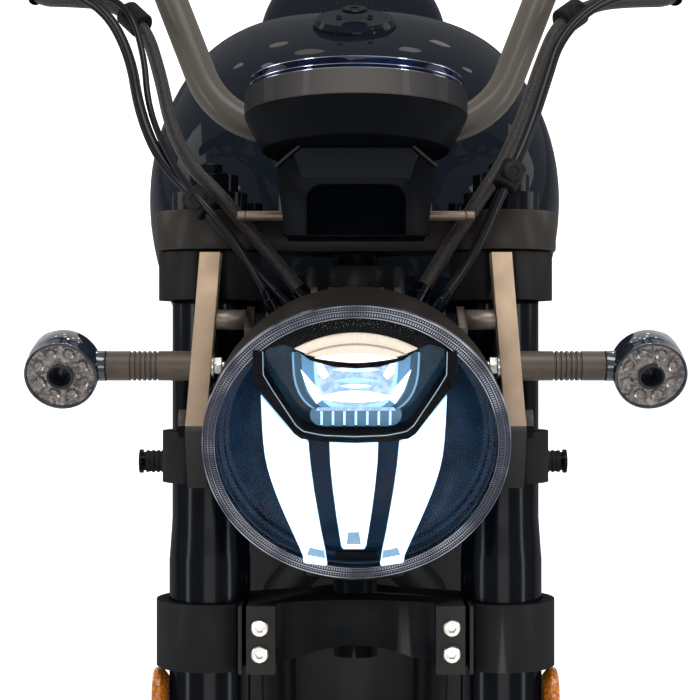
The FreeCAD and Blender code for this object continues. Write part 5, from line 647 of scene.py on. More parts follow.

# %% [markdown]
# ## Brake hoses and cable looms
#
# Five lines run from the handlebar down to the finned junction box behind the headlamp: a brake hose and a wiring
# loom on each side, and a thin throttle-sensor wire on the rider's right. A hose is of one length and springs into
# one even curve, so each is a NURBS curve, which a few points of the fork's frame pull along the way that the CAD's
# tube takes. The hoses come before any other piece.

# %% Hoses
HOSES = {
    "brake_hose_right": (7.2, 0.331, [
        (-219, 36, 902.5), (-214, 22, 884), (-194, 4, 870), (-166, -5, 854), (-149, -12, 822), (-142, -22, 784),
        (-127, -36, 750), (-103, -50, 726), (-80, -54, 698), (-60, -54, 674), (-40, -53, 653.7)]),
    "loom_right": (9.2, 0.368, [
        (-234, 86.4, 893.2), (-230, 74, 878), (-198, 48, 872), (-168, 30, 866), (-143, 14, 848), (-131, 2, 812),
        (-122, -12, 774), (-107, -28, 746), (-88, -42, 728), (-68, -44, 704), (-46, -46, 678), (-26, -53, 654.6)]),
    "throttle_wire": (4.4, 0.383, [
        (-247, 93, 896.0), (-238, 68, 884), (-208, 42, 877), (-178, 20, 872), (-152, 5, 858), (-141, -5, 824),
        (-137, -18, 790), (-126, -34, 762), (-112, -50, 738), (-96, -62, 720), (-78, -65, 700), (-64, -62, 676),
        (-52, -56, 651.6)]),
    "brake_hose_left": (7.2, 0.330, [
        (219, 36, 902.5), (214, 22, 884), (192, 6, 870), (160, -5, 859), (135, -13, 834), (125, -23, 804),
        (115, -34, 776), (104, -47, 750), (92, -54, 726), (80, -57, 698), (66, -57, 674), (50, -54, 652.7)]),
    "loom_left": (10.0, 0.360, [
        (234, 86.4, 892.8), (230, 74, 878), (196, 46, 872), (166, 28, 866), (138, 12, 850), (124, -2, 818),
        (113, -14, 786), (98, -28, 752), (82, -38, 728), (66, -40, 704), (50, -44, 678), (36, -52, 655.4)]),
}


def round_cord(name, points, radius, order, closed=False, fineness=10, section=5):
    """A smooth curve with a round section that its points pull along; it is capped, or closed to a ring."""
    curve = bpy.data.curves.new(name, "CURVE")
    curve.dimensions = "3D"
    spline = curve.splines.new("NURBS")
    spline.points.add(len(points) - 1)
    for control, point in zip(spline.points, points):
        control.co = (*point, 1)
    spline.order_u = order
    spline.use_endpoint_u = not closed
    spline.use_cyclic_u = closed
    spline.resolution_u = fineness
    curve.bevel_depth = mm(radius)
    curve.bevel_resolution = section
    curve.use_fill_caps = not closed
    return placed(name, curve)


def measured(piece):
    """The length along a hose's middle line, and that line's points."""
    line = piece.data.copy()
    line.bevel_depth = 0
    bare = placed("line", line)
    mesh = bpy.data.meshes.new_from_object(bare)
    points = [vertex.co.copy() for vertex in mesh.vertices]
    bpy.data.objects.remove(bare)
    return sum((b - a).length for a, b in zip(points, points[1:])), points


hose_rubber = Finish("hose_rubber", "rubber", (0.005, 0.005, 0.006), 0.32, specular=0.0, coat=0.20,
                     coat_roughness=0.22)
hose_rubber.raised(hose_rubber.noise(700, 2), 0.05, 0.3)
loom_cloth = Finish("loom_braid", "rubber", (0.034, 0.027, 0.022), 0.50, specular=0.14)
loom_cloth.tint(loom_cloth.cells(900), (0.010, 0.009, 0.009), 0.2, 0.6).raised(loom_cloth.cells(900), 0.25, 0.6)
hoses = {}
for name, (diameter, length, route) in HOSES.items():
    hoses[name] = round_cord(name, [FORK @ mm(*point) for point in route], diameter / 2, 3)
    fit(hoses[name], "fork", "loom_braid" if name.startswith("loom") else "hose_rubber", "control_hoses")
    print(name, "is", round(measured(hoses[name])[0], 4), "m long")

# %% [markdown]
# Each line enters the switch housing or the brake cylinder through a tapered rubber boot, and ends in a crimped
# ferrule on the junction box. Both are turned pieces that sit on the ends of the curve, so they are placed by its
# first and last points.

# %% Boots and ferrules
def hose_ends(name):
    """A boot where the line leaves its housing, and a ferrule where it goes into the junction box."""
    radius = HOSES[name][0] / 2
    path = measured(hoses[name])[1]
    start = Matrix.Translation(path[0]) @ along(path[2] - path[0])
    end = Matrix.Translation(path[-1]) @ along(path[-3] - path[-1])
    boot = turned(name + "_boot", [
        (radius, 0), (radius + 2.6, 0), (radius + 2.6, 4), (radius + 1.4, 5), (radius + 2.2, 7), (radius + 1.2, 9),
        (radius + 1.9, 11), (radius + 0.9, 13), (radius + 0.6, 20), (radius, 21)], start, 32)
    ferrule = turned(name + "_ferrule", [
        (radius, 0), (radius + 1.6, 0), (radius + 1.6, 9), (radius + 0.9, 10), (radius + 0.9, 15), (radius, 16)],
        end, 32)
    fit(boot, "fork", "moulded_rubber", "control_hoses")
    fit(ferrule, "fork", "black_anodising", "control_hoses")
    return [boot, ferrule]


for name, (diameter, length, route) in HOSES.items():
    ends = hose_ends(name)
print("hoses declared:", len(HOSES))

# %% [markdown]
# ## Headlamp
#
# The lamp is the machine's face, and it is lit. Behind a clear domed lens sit a navy dish, a black hexagonal housing
# with the projector, and three light bars that narrow downwards. The lens edge is a thick clear flange with a
# moulded knurl, which glitters. The lamp looks straight ahead, so its pieces are drawn facing front: across, up and
# towards the viewer, from the middle of its rim.

# %% Light and glass of the lamp
LAMP = at(0, -602.2, 873.2, FACING_FRONT)


def glowing(look, slot, colour, glow, strength):
    """A finish that gives its own light."""
    lit = Finish(look, slot, colour, 0.25, glow=strength)
    lit.shader.inputs["Emission Color"].default_value = (*glow, 1)
    return lit


for look, colour, glow, strength in (
        ("light_white", (0.9, 0.95, 1.0), (0.93, 0.97, 1.0), 2.4),
        ("light_edge", (0.5, 0.7, 0.9), (0.50, 0.76, 1.0), 0.95),
        ("light_window", (0.10, 0.18, 0.26), (0.20, 0.36, 0.52), 0.60),
        ("lamp_brow", (0.7, 0.66, 0.62), (1.0, 0.93, 0.86), 0.80),
        ("housing_line", (0.30, 0.38, 0.44), (0.50, 0.68, 0.82), 0.22),
        ("bucket_edge", (0.10, 0.22, 0.34), (0.20, 0.44, 0.66), 0.55),
        ("bucket_wall", (0.01, 0.03, 0.05), (0.02, 0.08, 0.14), 0.6),
        ("bucket_glow", (0.04, 0.10, 0.17), (0.10, 0.27, 0.48), 0.75),
        ("bucket_field", (0.25, 0.42, 0.60), (0.30, 0.56, 0.88), 0.75),
        ("bucket_sill", (0.40, 0.60, 0.80), (0.36, 0.66, 0.95), 0.75),
        ("bucket_ledge", (0.03, 0.07, 0.11), (0.10, 0.25, 0.42), 0.42),
        ("lid_shade", (0.20, 0.17, 0.14), (0.52, 0.44, 0.36), 0.30)):
    glowing(look, "optics", colour, glow, strength)
cream = glowing("lamp_reflector", "optics", (0.42, 0.36, 0.30), (0.95, 0.80, 0.64), 0.42)
cream.raised(cream.waves(160), 0.3, 0.5)
haze = glowing("bucket_haze", "optics", (0.10, 0.15, 0.21), (0.34, 0.50, 0.72), 0.72)
haze.tint(haze.noise(210, 3), (0.30, 0.38, 0.48), 0.45, 0.62)
hood_black = Finish("hood_black", "optics", (0.003, 0.003, 0.004), 0.34, specular=0.0, coat=0.10, coat_roughness=0.3)
hood_black.raised(hood_black.noise(800, 2), 0.03, 0.3)
hood_glass = Finish("projector_glass", "optics", (0.005, 0.012, 0.022), 0.10, specular=0.25)
hood_glass.tint(hood_glass.noise(70, 3), (0.010, 0.040, 0.075))
flange = Finish("clear_flange", "lamp_glass", (0.034, 0.038, 0.048), 0.16, metal=0.6)
flange.cloudy(flange.noise(160, 2), 0.10, 0.28).tint(flange.noise(45, 2), (0.022, 0.023, 0.030))
# Bright metal for thin rings and teeth: painted glints on the clear flange and on the gauge glass.
glint = Finish("lens_glint", "lamp_glass", (0.36, 0.37, 0.42), 0.14, metal=0.9)
glint.tint(glint.noise(30, 2), (0.07, 0.075, 0.10), 0.38, 0.60)
lamp_shell = Finish("lamp_shell", "gloss_plastic", (0.0115, 0.0096, 0.0085), 0.38, specular=0.0, coat=0.12,
                    coat_roughness=0.30)
lamp_shell.raised(lamp_shell.noise(1500, 2), 0.04, 0.3)
print("lamp finishes:", len(LOOKS))

# %% [markdown]
# The lens flange is a clear ring with a few turned ridges; two rows of small teeth run round it. One tooth is
# modelled and set round the ring, 360 times, so it is only a little wedge. The flange itself is dark, and the thin
# rings along its ridges and the teeth are bright metal, a painted highlight for the glitter of its clear edge.

# %% Lens flange and knurl
ring = turned("lamp_flange", [
    (81.9, -3), (81.9, 0.4), (82.3, 0.9), (83.0, 0.5), (88.3, 0.4), (88.6, 0.9), (89.2, 0.6), (89.3, -2.0),
    (88.8, -2.4), (85.8, -1.2), (84.6, -3.6), (81.9, -3)], LAMP, 256, 28)
fit(ring, "fork", "clear_flange", "headlamp_lens")
# Three thin bright rings on the flange's ridges are painted highlights.
for name, radius, height, width in (("glint_outer", 89.0, 0.7, 0.34), ("glint_middle", 85.9, 0.7, 0.26),
                                    ("glint_inner", 82.1, 1.1, 0.26)):
    fit(square_ring(name, radius, height, width, LAMP, 256, 28), "fork", "lens_glint", "headlamp_lens")
TEETH = 360
for name, radius, width, height in (("knurl_inner", 84.0, 0.62, 1.7), ("knurl_outer", 87.4, 0.5, 1.0)):
    tooth = cut_out(name, oblong(height / 2, -width / 2, width / 2), 0.7)
    spots = [LAMP @ turn_by(index, TEETH) @ at(radius, 0, 0.2) for index in range(TEETH)]
    fit(repeated(name, tooth, spots), "fork", "lens_glint", "headlamp_lens")
lens = turned("lamp_lens", [
    (0, 11.6), (20, 11.1), (40, 9.4), (58, 6.7), (72, 3.6), (79, 1.6), (81.8, 0.6), (81.8, -1.0), (79, -0.2),
    (72, 1.8), (58, 4.9), (40, 7.6), (20, 9.3), (0, 9.8)], LAMP, 192)
fit(lens, "fork", "lamp_glass", "headlamp_lens")
print("lens and knurl:", 2 * TEETH, "teeth")

# %% [markdown]
# The dish behind the lens is a shallow bowl with two steps at its rim. It is turned as one closed wall.

# %% Dish
dish = turned("lamp_dish", [
    (84.6, -6.4), (81.6, -3.4), (80.6, -3.6), (80.0, -9.0), (77.6, -9.6), (77.0, -14.0), (74.6, -14.6), (70, -20),
    (62, -28), (50, -35), (36, -39), (0, -40), (0, -44.6), (40, -44.2), (66, -36), (78, -22), (84.6, -9), (84.6, -6.4)],
    LAMP, 160, 30)
fit(dish, "fork", "navy_dish", "headlamp_optics")

# %% [markdown]
# Each light bar is a moulded light guide: a plate cut to its outline, with an inset face. The rim of the plate glows
# blue and the face white, and a small darker window closes the lower end. The bars lean back a little, because they
# follow the lens.

# %% Light bars
BAR_LEAN = Matrix.Rotation(math.radians(-4.3), 4, "X")
BARS = at(-1.5, 0, -5.0, BAR_LEAN, LAMP)
BARS_MIRROR = BARS @ MIRROR @ BARS.inverted()
BAR_DEPTH = 2.6
BAR_RIM = 1.7
SIDE_BAR = [
    (-53.2, 30.4), (-52.9, 14), (-52.4, 2), (-51.6, -7.0), (-50.2, -15), (-48.2, -23), (-45.6, -31.5), (-42.6, -40),
    (-39.4, -48.5), (-36.0, -57), (-32.9, -65), (-30.2, -72.4), (-29.9, -76.4), (-29.0, -77.3), (-16.6, -79.2),
    (-15.8, -78.2), (-17.0, -69), (-19.2, -57), (-21.2, -44), (-23.3, -30), (-25.2, -14), (-26.4, 1.2), (-28.6, 3.6),
    (-34.6, 7.4), (-38.4, 11.0)]
MIDDLE_BAR = [(-14.1, 2.0), (-13.7, -12), (-12.3, -28), (-10.2, -46), (-7.4, -65.6), (-6.2, -67.8), (6.2, -67.8),
              (7.4, -65.6), (10.2, -46), (12.3, -28), (13.7, -12), (14.1, 2.0)]


def light_bar(name, outline):
    """A plate whose front face is inset, with the rim and the face in two finishes."""
    bar = cut_out(name, outline, BAR_DEPTH)
    fit(bar, "fork", "light_edge", "headlamp_optics")
    bar.data.materials.append(LOOKS["light_white"][0])
    choose(bar, lambda face: face.normal.z > 0.9)
    bpy.ops.mesh.inset(thickness=mm(BAR_RIM), depth=mm(0.35))
    bar.active_material_index = 1
    bpy.ops.object.material_slot_assign()
    bpy.ops.object.mode_set(mode="OBJECT")
    bar.data.transform(BARS)
    return bar


side_bar = light_bar("light_bar_side", SIDE_BAR)
light_bar("light_bar_middle", MIDDLE_BAR)
joined("light_bars_side", [side_bar, copied(side_bar, BARS_MIRROR)])
WINDOWS = {"window_middle": [(-3.4, -56.2), (3.4, -56.2), (4.4, -64.2), (-4.4, -64.2)],
           "window_right": [(17.6, -68.6), (26.2, -66.4), (28.0, -71.6), (17.0, -73.8)]}
for name, outline in WINDOWS.items():
    window = cut_out(name, outline, 0.8, at(0, 0, 2.7, base=BARS))
    if name == "window_right":
        window = joined("windows_side", [window, copied(window, BARS_MIRROR)])
    fit(window, "fork", "light_window", "headlamp_optics")
print("light bars and their windows ready")

# %% [markdown]
# The housing is a black frame like the lower half of a hexagon, open at the top. A thin bright line runs along its
# inner edge, and dark glass closes it behind. Above, a hood closes the dish's top down to a cream reflector, which
# looks like a half-shut eyelid. Every band is drawn from its outer half outline and the inner one, mirrored.

# %% Projector housing
INSIDE = at(-0.9, 0, 0, base=LAMP)
PROJECTOR_X = 0.6
OUTER_HALF = [(-57.4, 61.5), (-57.4, 43.5), (-52.5, 36.0), (-35.0, 9.6), (-31.0, 6.4), (-18.8, 4.4), (0, 3.6)]
INNER_HALF = [(-51.9, 61.5), (-51.9, 47.2), (-47.4, 38.4), (-33.8, 14.8), (-29.6, 11.0), (-18.0, 8.4), (0, 7.6)]
LINE_HALF = [(-51.55, 61.5), (-51.55, 47.25), (-47.05, 38.45), (-33.5, 15.0), (-29.4, 11.3), (-18.0, 8.75),
             (0, 7.95)]


def mirrored(half):
    """A half outline and its mirror image, as one line from left to right."""
    return half + [(-x, y) for x, y in reversed(half) if x]


def optic(name, outline, thickness, depth, look, x=PROJECTOR_X):
    """A plate of the lamp's optics, cut to its outline and set at a depth."""
    plate = cut_out(name, outline, thickness, at(x, 0, depth, base=INSIDE))
    return fit(plate, "fork", look, "headlamp_optics")


def band(name, outer, inner, thickness, depth, look):
    """A plate between two lines that are each mirrored, set at a depth in the lamp."""
    return optic(name, mirrored(outer) + mirrored(inner)[::-1], thickness, depth, look, 0)


rounded(band("lamp_housing", OUTER_HALF, INNER_HALF, 14, -11.6, "hood_black"), 0.5)
band("housing_line", INNER_HALF, LINE_HALF, 0.3, 1.9, "housing_line")
optic("projector_glass", mirrored(OUTER_HALF), 1.2, -12.4, "projector_glass", 0)

HOOD_RADIUS = 80.6
HOOD_STEPS = 16
HOOD_EDGE = [(-58.0, 55.6), (-51.5, 60.6), (-41.5, 63.6), (-35.6, 61.4), (-26.4, 53.9), (-13, 49.7), (0, 48.6)]
hood_outline = mirrored(HOOD_EDGE)
for step in range(HOOD_STEPS + 1):
    turn = math.radians(44 + 92 * step / HOOD_STEPS)
    hood_outline.append((HOOD_RADIUS * math.cos(turn), HOOD_RADIUS * math.sin(turn)))
rounded(optic("lamp_hood", hood_outline, 12, -15.0, "hood_black", 0.9), 1.0)
LID_STEPS = 12


def eyelid(half_width, middle, rise, drop):
    """An outline like an eyelid: two shallow arcs between the same two corners."""
    shares = [step / LID_STEPS * 2 - 1 for step in range(LID_STEPS + 1)]
    upper = [(half_width * share, middle + rise * (1 - share ** 2)) for share in shares]
    lower = [(-half_width * share, middle - drop * (1 - share ** 2)) for share in shares]
    return upper + lower[1:-1]


lid = cut_out("lamp_reflector", eyelid(34.6, 61.6, 9.6, 8.8), 1.6)
sunk(lid, 1.1, -0.9)
lid.data.transform(at(PROJECTOR_X, 0, -3.4, base=INSIDE))
fit(lid, "fork", "lamp_reflector", "headlamp_optics")
optic("lid_arch", eyelid(29.0, 58.2, 6.6, 4.6), 0.6, -2.3, "lid_shade")
optic("lid_field", eyelid(27.0, 58.2, 5.6, 4.2), 0.6, -2.0, "lamp_reflector")
optic("lid_foot", eyelid(23.4, 56.2, 2.6, 2.7), 0.6, -1.7, "lamp_brow")
print("housing, hood and reflector ready")

# %% [markdown]
# The projector is a bucket of light. Seen from the front it is a wide U: a faint blue outline, white facets at both
# shoulders, a blue field with a white floor, and a paler sill over the row of ribs. Each layer is a plate with a
# rounded outline, set a little in front of the last one, like the steps of the real reflector.

# %% Projector
BUCKET_STEPS = 18


def bucket(name, half_width, top, bottom, depth, look, squareness=0.62):
    """A plate shaped like a U: straight across the top and round below."""
    outline = [(-half_width, top)]
    for step in range(BUCKET_STEPS + 1):
        turn = math.pi * (1 + step / BUCKET_STEPS)
        across = math.copysign(abs(math.cos(turn)) ** squareness, math.cos(turn))
        outline.append((half_width * across, top - 4 - (top - 4 - bottom) * abs(math.sin(turn)) ** 0.75))
    outline.append((half_width, top))
    optic(name, outline, 0.7, depth, look)


bucket("bucket_edge", 36.4, 56, 15.6, -9.6, "bucket_edge")
bucket("bucket_wall", 35.2, 56, 16.8, -9.2, "bucket_wall")
bucket("bucket_glow", 31.0, 56, 18.4, -8.8, "bucket_glow")
bucket("bucket_field", 24.0, 54, 19.6, -8.2, "bucket_field")
bucket("bucket_cone", 21.8, 52, 22.6, -7.8, "bucket_haze", 0.8)
optic("bucket_floor", eyelid(21.6, 28.2, 4.4, 2.6), 0.6, -7.2, "light_white")
optic("bucket_beam", eyelid(9.0, 35.8, 1.3, 1.3), 0.6, -7.0, "light_edge")
optic("bucket_dark", eyelid(13.5, 38.9, 2.4, 0.9), 0.6, -7.05, "bucket_field")
optic("bucket_top", eyelid(14.0, 46.4, 1.5, 1.5), 0.6, -7.0, "light_edge")
facet = cut_out("bucket_facets", [(-31.4, 46.0), (-27.2, 32.6), (-22.6, 24.6), (-19.6, 27.0), (-21.0, 33.0),
                                  (-24.2, 36.6)], 0.7)
wedge = cut_out("bucket_wedge", [(-22.6, 50.0), (-19.2, 49.6), (-15.6, 43.0), (-17.8, 40.2), (-21.6, 44.0)], 0.7)
shoulders = both_sides("bucket_facets", joined("bucket_facets", [facet, wedge]))
shoulders.data.transform(at(PROJECTOR_X, 0, -7.4, base=INSIDE))
fit(shoulders, "fork", "light_white", "headlamp_optics")
RIBS = 7
RIB_PITCH = 6.6
optic("projector_ledge", mirrored([(-25.5, 21.4), (-26.6, 18.0), (-26.0, 14.6), (-23.6, 11.6), (-20, 10.2)]), 0.8,
      -6.9, "bucket_ledge")
optic("projector_sill", [(-22, 22.2), (22, 22.2), (23, 20.4), (-23, 20.4)], 0.8, -6.8, "bucket_haze")
rib = rounded(cut_out("rib", oblong(0.7, -5.4, 4.6), 1.2), 0.2)
dot = cut_out("dot", oblong(0.8, -1.0, 0.8), 0.6)
rib_spots = [at((index - (RIBS - 1) / 2) * RIB_PITCH + PROJECTOR_X, 15.4, -6.6, base=INSIDE) for index in range(RIBS)]
dot_spots = [at(0, -4.8, 1.1, base=spot) for spot in rib_spots]
fit(repeated("projector_ribs", rib, rib_spots), "fork", "bucket_sill", "headlamp_optics")
fit(repeated("projector_dots", dot, dot_spots), "fork", "hood_black", "headlamp_optics")
plate = rounded(cut_out("lamp_foot_plate", [(-13, -80.5), (13, -80.5), (12.2, -74.2), (-12.2, -74.2)], 1.6,
                        at(0, 0, -6.2, base=LAMP)), 0.3)
fit(plate, "fork", "hood_black", "headlamp_optics")
print("projector ready,", RIBS, "ribs")

# %% [markdown]
# ## The solids as they are
#
# Most castings, tubes and covers have the right shape already. A CAD mesh is loose triangles with knife edges, and
# a real casting has none, so each gets a merged copy with rounded edges, which stands for the solid. The rounded
# edge is what catches the light. The width is that of the real edge: wide on castings, narrow on turned parts.

# %% Solids with rounded edges
FLAT = 0.3
body_of = {}
for body, members in frame["record"]["behaviour"]["bodies"].items():
    for member in members:
        body_of[member] = body


def merged(name, node):
    """A copy of a solid with its triangles merged, left in edit mode with all of it selected."""
    piece = placed(name, nodes[node].data.copy())
    pick(piece)
    bpy.ops.mesh.customdata_custom_splitnormals_clear()
    all_selected(piece)
    bpy.ops.mesh.remove_doubles(threshold=mm(MERGE))
    return piece


def softened(name, look, width):
    """A merged copy of a solid with its edges rounded."""
    piece = merged(name + "_skin", name)
    bpy.ops.mesh.dissolve_limited(angle_limit=math.radians(FLAT))
    bpy.ops.object.mode_set(mode="OBJECT")
    if width:
        rounded(piece, width)
    bpy.ops.object.shade_smooth_by_angle(angle=math.radians(SMOOTH))
    return fit(piece, body_of[name], look, name)


SKINS = {
    "battery_case": ("yoke_casting", 1.2), "brake_levers": ("black_anodising", 0.8),
    "centre_stand": ("powder_coat", 1.0), "drive_belt": ("belt_rubber", 0.0), "fork_inner_tubes": ("hard_chrome", 0.8),
    "fork_outer_tubes": ("black_anodising", 0.6), "fork_reflectors": ("amber_reflector", 0.4),
    "front_axle": ("zinc_plating", 0.5), "front_calliper": ("black_anodising", 1.2), "front_disc": ("brake_steel", 0.0),
    "front_mudguard": ("grained_plastic", 0.8), "front_rim": ("yoke_casting", 1.2),
    "gauge_bracket": ("grained_plastic", 1.5), "handlebar": ("bar_coat", 0.6),
    "headlamp_shell": ("lamp_shell", 0.6),
    # the lower yoke takes the darker casting, which is painted shade
    "lower_yoke": ("casting_painted_shade", 1.8), "main_frame": ("powder_coat", 1.0),
    "mirrors": ("gloss_plastic", 0.8), "motor": ("yoke_casting", 1.2), "rear_axle": ("zinc_plating", 0.5),
    "rear_calliper": ("black_anodising", 1.2), "rear_disc": ("brake_steel", 0.0),
    "rear_mudguard": ("grained_plastic", 0.8), "rear_pulley": ("machined_metal", 0.3),
    "rear_rim": ("yoke_casting", 1.2),
    "swingarm": ("powder_coat", 1.5), "switch_pods": ("grained_plastic", 1.5), "tail_cowl": ("black_lacquer", 1.0),
    "tank": ("black_lacquer", 0.0), "upper_yoke": ("clamp_casting", 1.5),
}
for name, (look, width) in SKINS.items():
    skin = softened(name, look, width)
    print(name, "has", len(skin.data.polygons), "faces")

# %% [markdown]
# A headlamp stay is one casting with two clamps, but only its arm is bare. The clamps round the leg and the foot
# under the neck take a darker copy of the black casting, and that extra darkness is painted shade. The bracket between
# the stays is painted black, except for its turned pins. So the skin is cut in a few planes, and each part gets its own
# finish.

# %% Stays in their finishes
ARM_BACK = -34.3


def parted(piece, name, look, origin, normal):
    """The half of a piece on one side of a plane, closed where it is cut."""
    half = placed(name, piece.data.copy())
    all_selected(half)
    bpy.ops.mesh.bisect(plane_co=origin, plane_no=normal, use_fill=True, clear_outer=True)
    bpy.ops.object.mode_set(mode="OBJECT")
    return fit(half, "fork", look, "lamp_stays")


pin_metal = Finish("pin_metal", "cast_grey", (0.135, 0.108, 0.090), 0.40, metal=0.55)
pin_metal.raised(pin_metal.waves(700), 0.05, 0.3)
rod_bronze = Finish("rod_bronze", "cast_grey", (0.135, 0.098, 0.070), 0.42, metal=0.55)
rod_bronze.tint(rod_bronze.noise(90, 3), (0.100, 0.072, 0.050)).raised(rod_bronze.noise(900, 2), 0.03, 0.4)
NECK_UP = 579
ARM_OUTER_X = 108.6
ARM_SPLAY = Vector((1, 0, 0.083)).normalized()
PIN_ROOT_X = 71
BRACKET_HALF = 40
castings, brackets = [], []
for piece in parts_of(softened("lamp_stays", "stay_casting", 1.2)):
    middle = sum(corner[0] for corner in piece.bound_box) / 8
    (castings if abs(middle) > mm(BRACKET_HALF) else brackets).append(piece)
castings = joined("stay_skins", castings)
bracket = joined("bracket_skin", brackets)
print("stay castings:", len(castings.data.polygons), "faces, bracket:", len(bracket.data.polygons), "faces")

front_plane = FORK @ mm(0, ARM_BACK, 500)
neck_plane = FORK @ mm(0, 0, NECK_UP)
back_way = (FORK.to_3x3() @ Vector((0, 1, 0))).normalized()
up_way = (FORK.to_3x3() @ Vector((0, 0, 1))).normalized()
arms = parted(castings, "stay_arms_whole", "stay_casting", front_plane, back_way)
# The clamps and the feet take the darker casting, which is painted shade.
parted(castings, "stay_clamps", "casting_painted_shade", front_plane, -back_way)
bare = parted(arms, "stay_arms_bare", "stay_casting", neck_plane, -up_way)
parted(arms, "stay_feet", "casting_painted_shade", neck_plane, up_way)
for side in SIDES:
    outer_plane = FORK @ mm(side * (ARM_OUTER_X + 0.6), 0, 581)
    outwards = FORK.to_3x3() @ Vector((side * ARM_SPLAY.x, 0, ARM_SPLAY.z))
    parted(bare, "stay_boss_" + ("left" if side > 0 else "right"), "clamp_casting", outer_plane, -outwards)
    rest = parted(bare, "stay_arms", "stay_casting", outer_plane, outwards)
    bpy.data.objects.remove(bare)
    bare = rest
for side in SIDES:
    root = mm(side * PIN_ROOT_X, 0, 0)
    parted(bracket, "bracket_pin_" + ("left" if side > 0 else "right"), "pin_metal", root, Vector((-side, 0, 0)))
inner = parted(bracket, "bracket_inner", "clamp_casting", mm(PIN_ROOT_X, 0, 0), Vector((1, 0, 0)))
parted(inner, "lamp_bracket", "clamp_casting", mm(-PIN_ROOT_X, 0, 0), Vector((-1, 0, 0)))
for piece in (castings, bracket, arms, inner):
    bpy.data.objects.remove(piece)
print("stays in their finishes")

# %% [markdown]
# ## Indicators
#
# Each indicator is a short drum with a smoked ring of a lens in front. Behind the ring lies a faceted reflector with
# a dish for each of the eight diodes, and the drum's middle is open. The stem is a grooved rubber sleeve with a
# polished collar at the drum. One is modelled at the origin, facing up, and set in its four places.

# %% Indicator finishes
Finish("smoked_ring", "lamp_glass", (0.90, 0.87, 0.85), 0.02, clear=1.0, ior=1.16)
reflector = Finish("diode_reflector", "lamp_glass", (0.20, 0.19, 0.19), 0.30, metal=0.45)
reflector.tint(reflector.noise(190, 4), (0.06, 0.056, 0.06), 0.42, 0.56)
# The light chips from the cells are a painted reflection, the mottle that the facets mirror; the darker noise is the
# reflector's own tone.
reflector.tint(reflector.cells(520), (0.30, 0.28, 0.26), 0.55, 0.75).raised(reflector.noise(320, 4), 0.8, 0.7)
dish_metal = Finish("diode_dish", "lamp_glass", (0.30, 0.275, 0.26), 0.24, metal=0.7)
dish_metal.tint(dish_metal.noise(420, 3), (0.10, 0.092, 0.09)).raised(dish_metal.noise(500, 2), 0.4, 0.5)
drum_shine = Finish("indicator_shell", "gloss_plastic", (0.008, 0.011, 0.016), 0.08, coat=0.5, coat_roughness=0.02,
                     specular=0.3)
drum_shine.tint(drum_shine.noise(60), (0.018, 0.026, 0.038))
band_plastic_painted_sheen = Finish("gauge_band_painted_sheen", "black_plastic", (0.064, 0.058, 0.054), 0.40, specular=0.0, coat=0.03)
band_plastic_painted_sheen.raised(band_plastic_painted_sheen.cells(1100, "SMOOTH_F1"), 0.12, 0.5)
# A wave across the machine keeps the band lighter in the middle and darker towards both sides: painted sheen.
band_plastic_painted_sheen.tint(band_plastic_painted_sheen.waves(2.2), (0.013, 0.013, 0.014), 0.0, 1.0)
sleeve_rubber = Finish("stem_sleeve", "rubber", (0.068, 0.050, 0.037), 0.40, specular=0.20)
sleeve_rubber.tint(sleeve_rubber.noise(80, 3), (0.050, 0.038, 0.030)).raised(sleeve_rubber.noise(900, 3), 0.05, 0.4)
print("indicator finishes ready")

# %% One indicator, its face towards its own Z
drum = turned("indicator_drum", [
    (7.4, 1.2), (7.4, -21), (0, -21), (0, -24), (19.6, -24), (22.4, -22.8), (23.5, -20), (23.5, -4.5), (23.1, -3.4),
    (23.1, 0.0), (21.9, 0.3), (21.4, -0.4), (21.4, -5.0), (8.6, -5.0), (8.6, 1.0), (8.0, 1.5), (7.4, 1.2)])
lip = turned("indicator_lip", [(6.9, 0.6), (6.9, 1.5), (7.3, 1.9), (8.1, 1.9), (8.5, 1.4), (8.5, 0.6), (6.9, 0.6)],
             sides=64)
plate = turned("indicator_plate", [(8.7, -4.9), (21.3, -4.9), (21.3, -3.2), (18.5, -3.9), (12.0, -4.1), (8.7, -3.0),
                                   (8.7, -4.9)], sides=64)
smoke = turned("indicator_ring", [
    (9.0, -1.2), (9.0, 0.5), (12, 1.1), (16, 1.1), (20, 0.6), (21.3, -0.3), (21.3, -1.6), (9.0, -1.2)])
pocket = cut_out("indicator_pocket", [(3.4 * x, 4.1 * y) for x, y in circle(1, 12)], 1.2)
sunk(pocket, 1.3, -0.9)
POCKETS = 8
pockets = repeated("indicator_pockets", pocket,
                   [turn_by(index + 0.5, POCKETS) @ at(15.0, 0, -4.3) for index in range(POCKETS)])
print("one indicator:", len(drum.data.polygons) + len(smoke.data.polygons), "faces")

# %% [markdown]
# The stem runs along its own Z from the stay, or the frame, to the drum. Six grooves make it look bent-proof, as a
# rubber stem is.

# %% Stem
STEM_RADIUS = 9.6
STEM_BEHIND = 15.7
DRUM_REACH = 18.8
GROOVES = 6


def stem(name, length):
    """A sleeve with grooves in the middle and a polished collar at its far end."""
    radius = STEM_RADIUS
    profile = [(0, 0), (radius - 0.8, 0), (radius, 0.8), (radius, length * 0.33)]
    for groove in range(GROOVES):
        start = length * 0.36 + groove * 3.3
        profile += [(radius, start), (radius - 1.0, start + 0.5), (radius - 1.0, start + 1.1), (radius, start + 1.6)]
    joint = length - 9
    profile += [(radius, joint - 0.5), (radius - 0.6, joint), (0, joint)]
    sleeve = turned(name, profile, sides=48)
    collar = turned(name + "_collar", [
        (0, joint), (radius - 0.3, joint), (radius + 0.3, joint + 0.7), (radius + 0.3, joint + 6),
        (radius + 1.2, joint + 8), (radius + 1.2, length + 2), (0, length + 2)], sides=48)
    return sleeve, collar


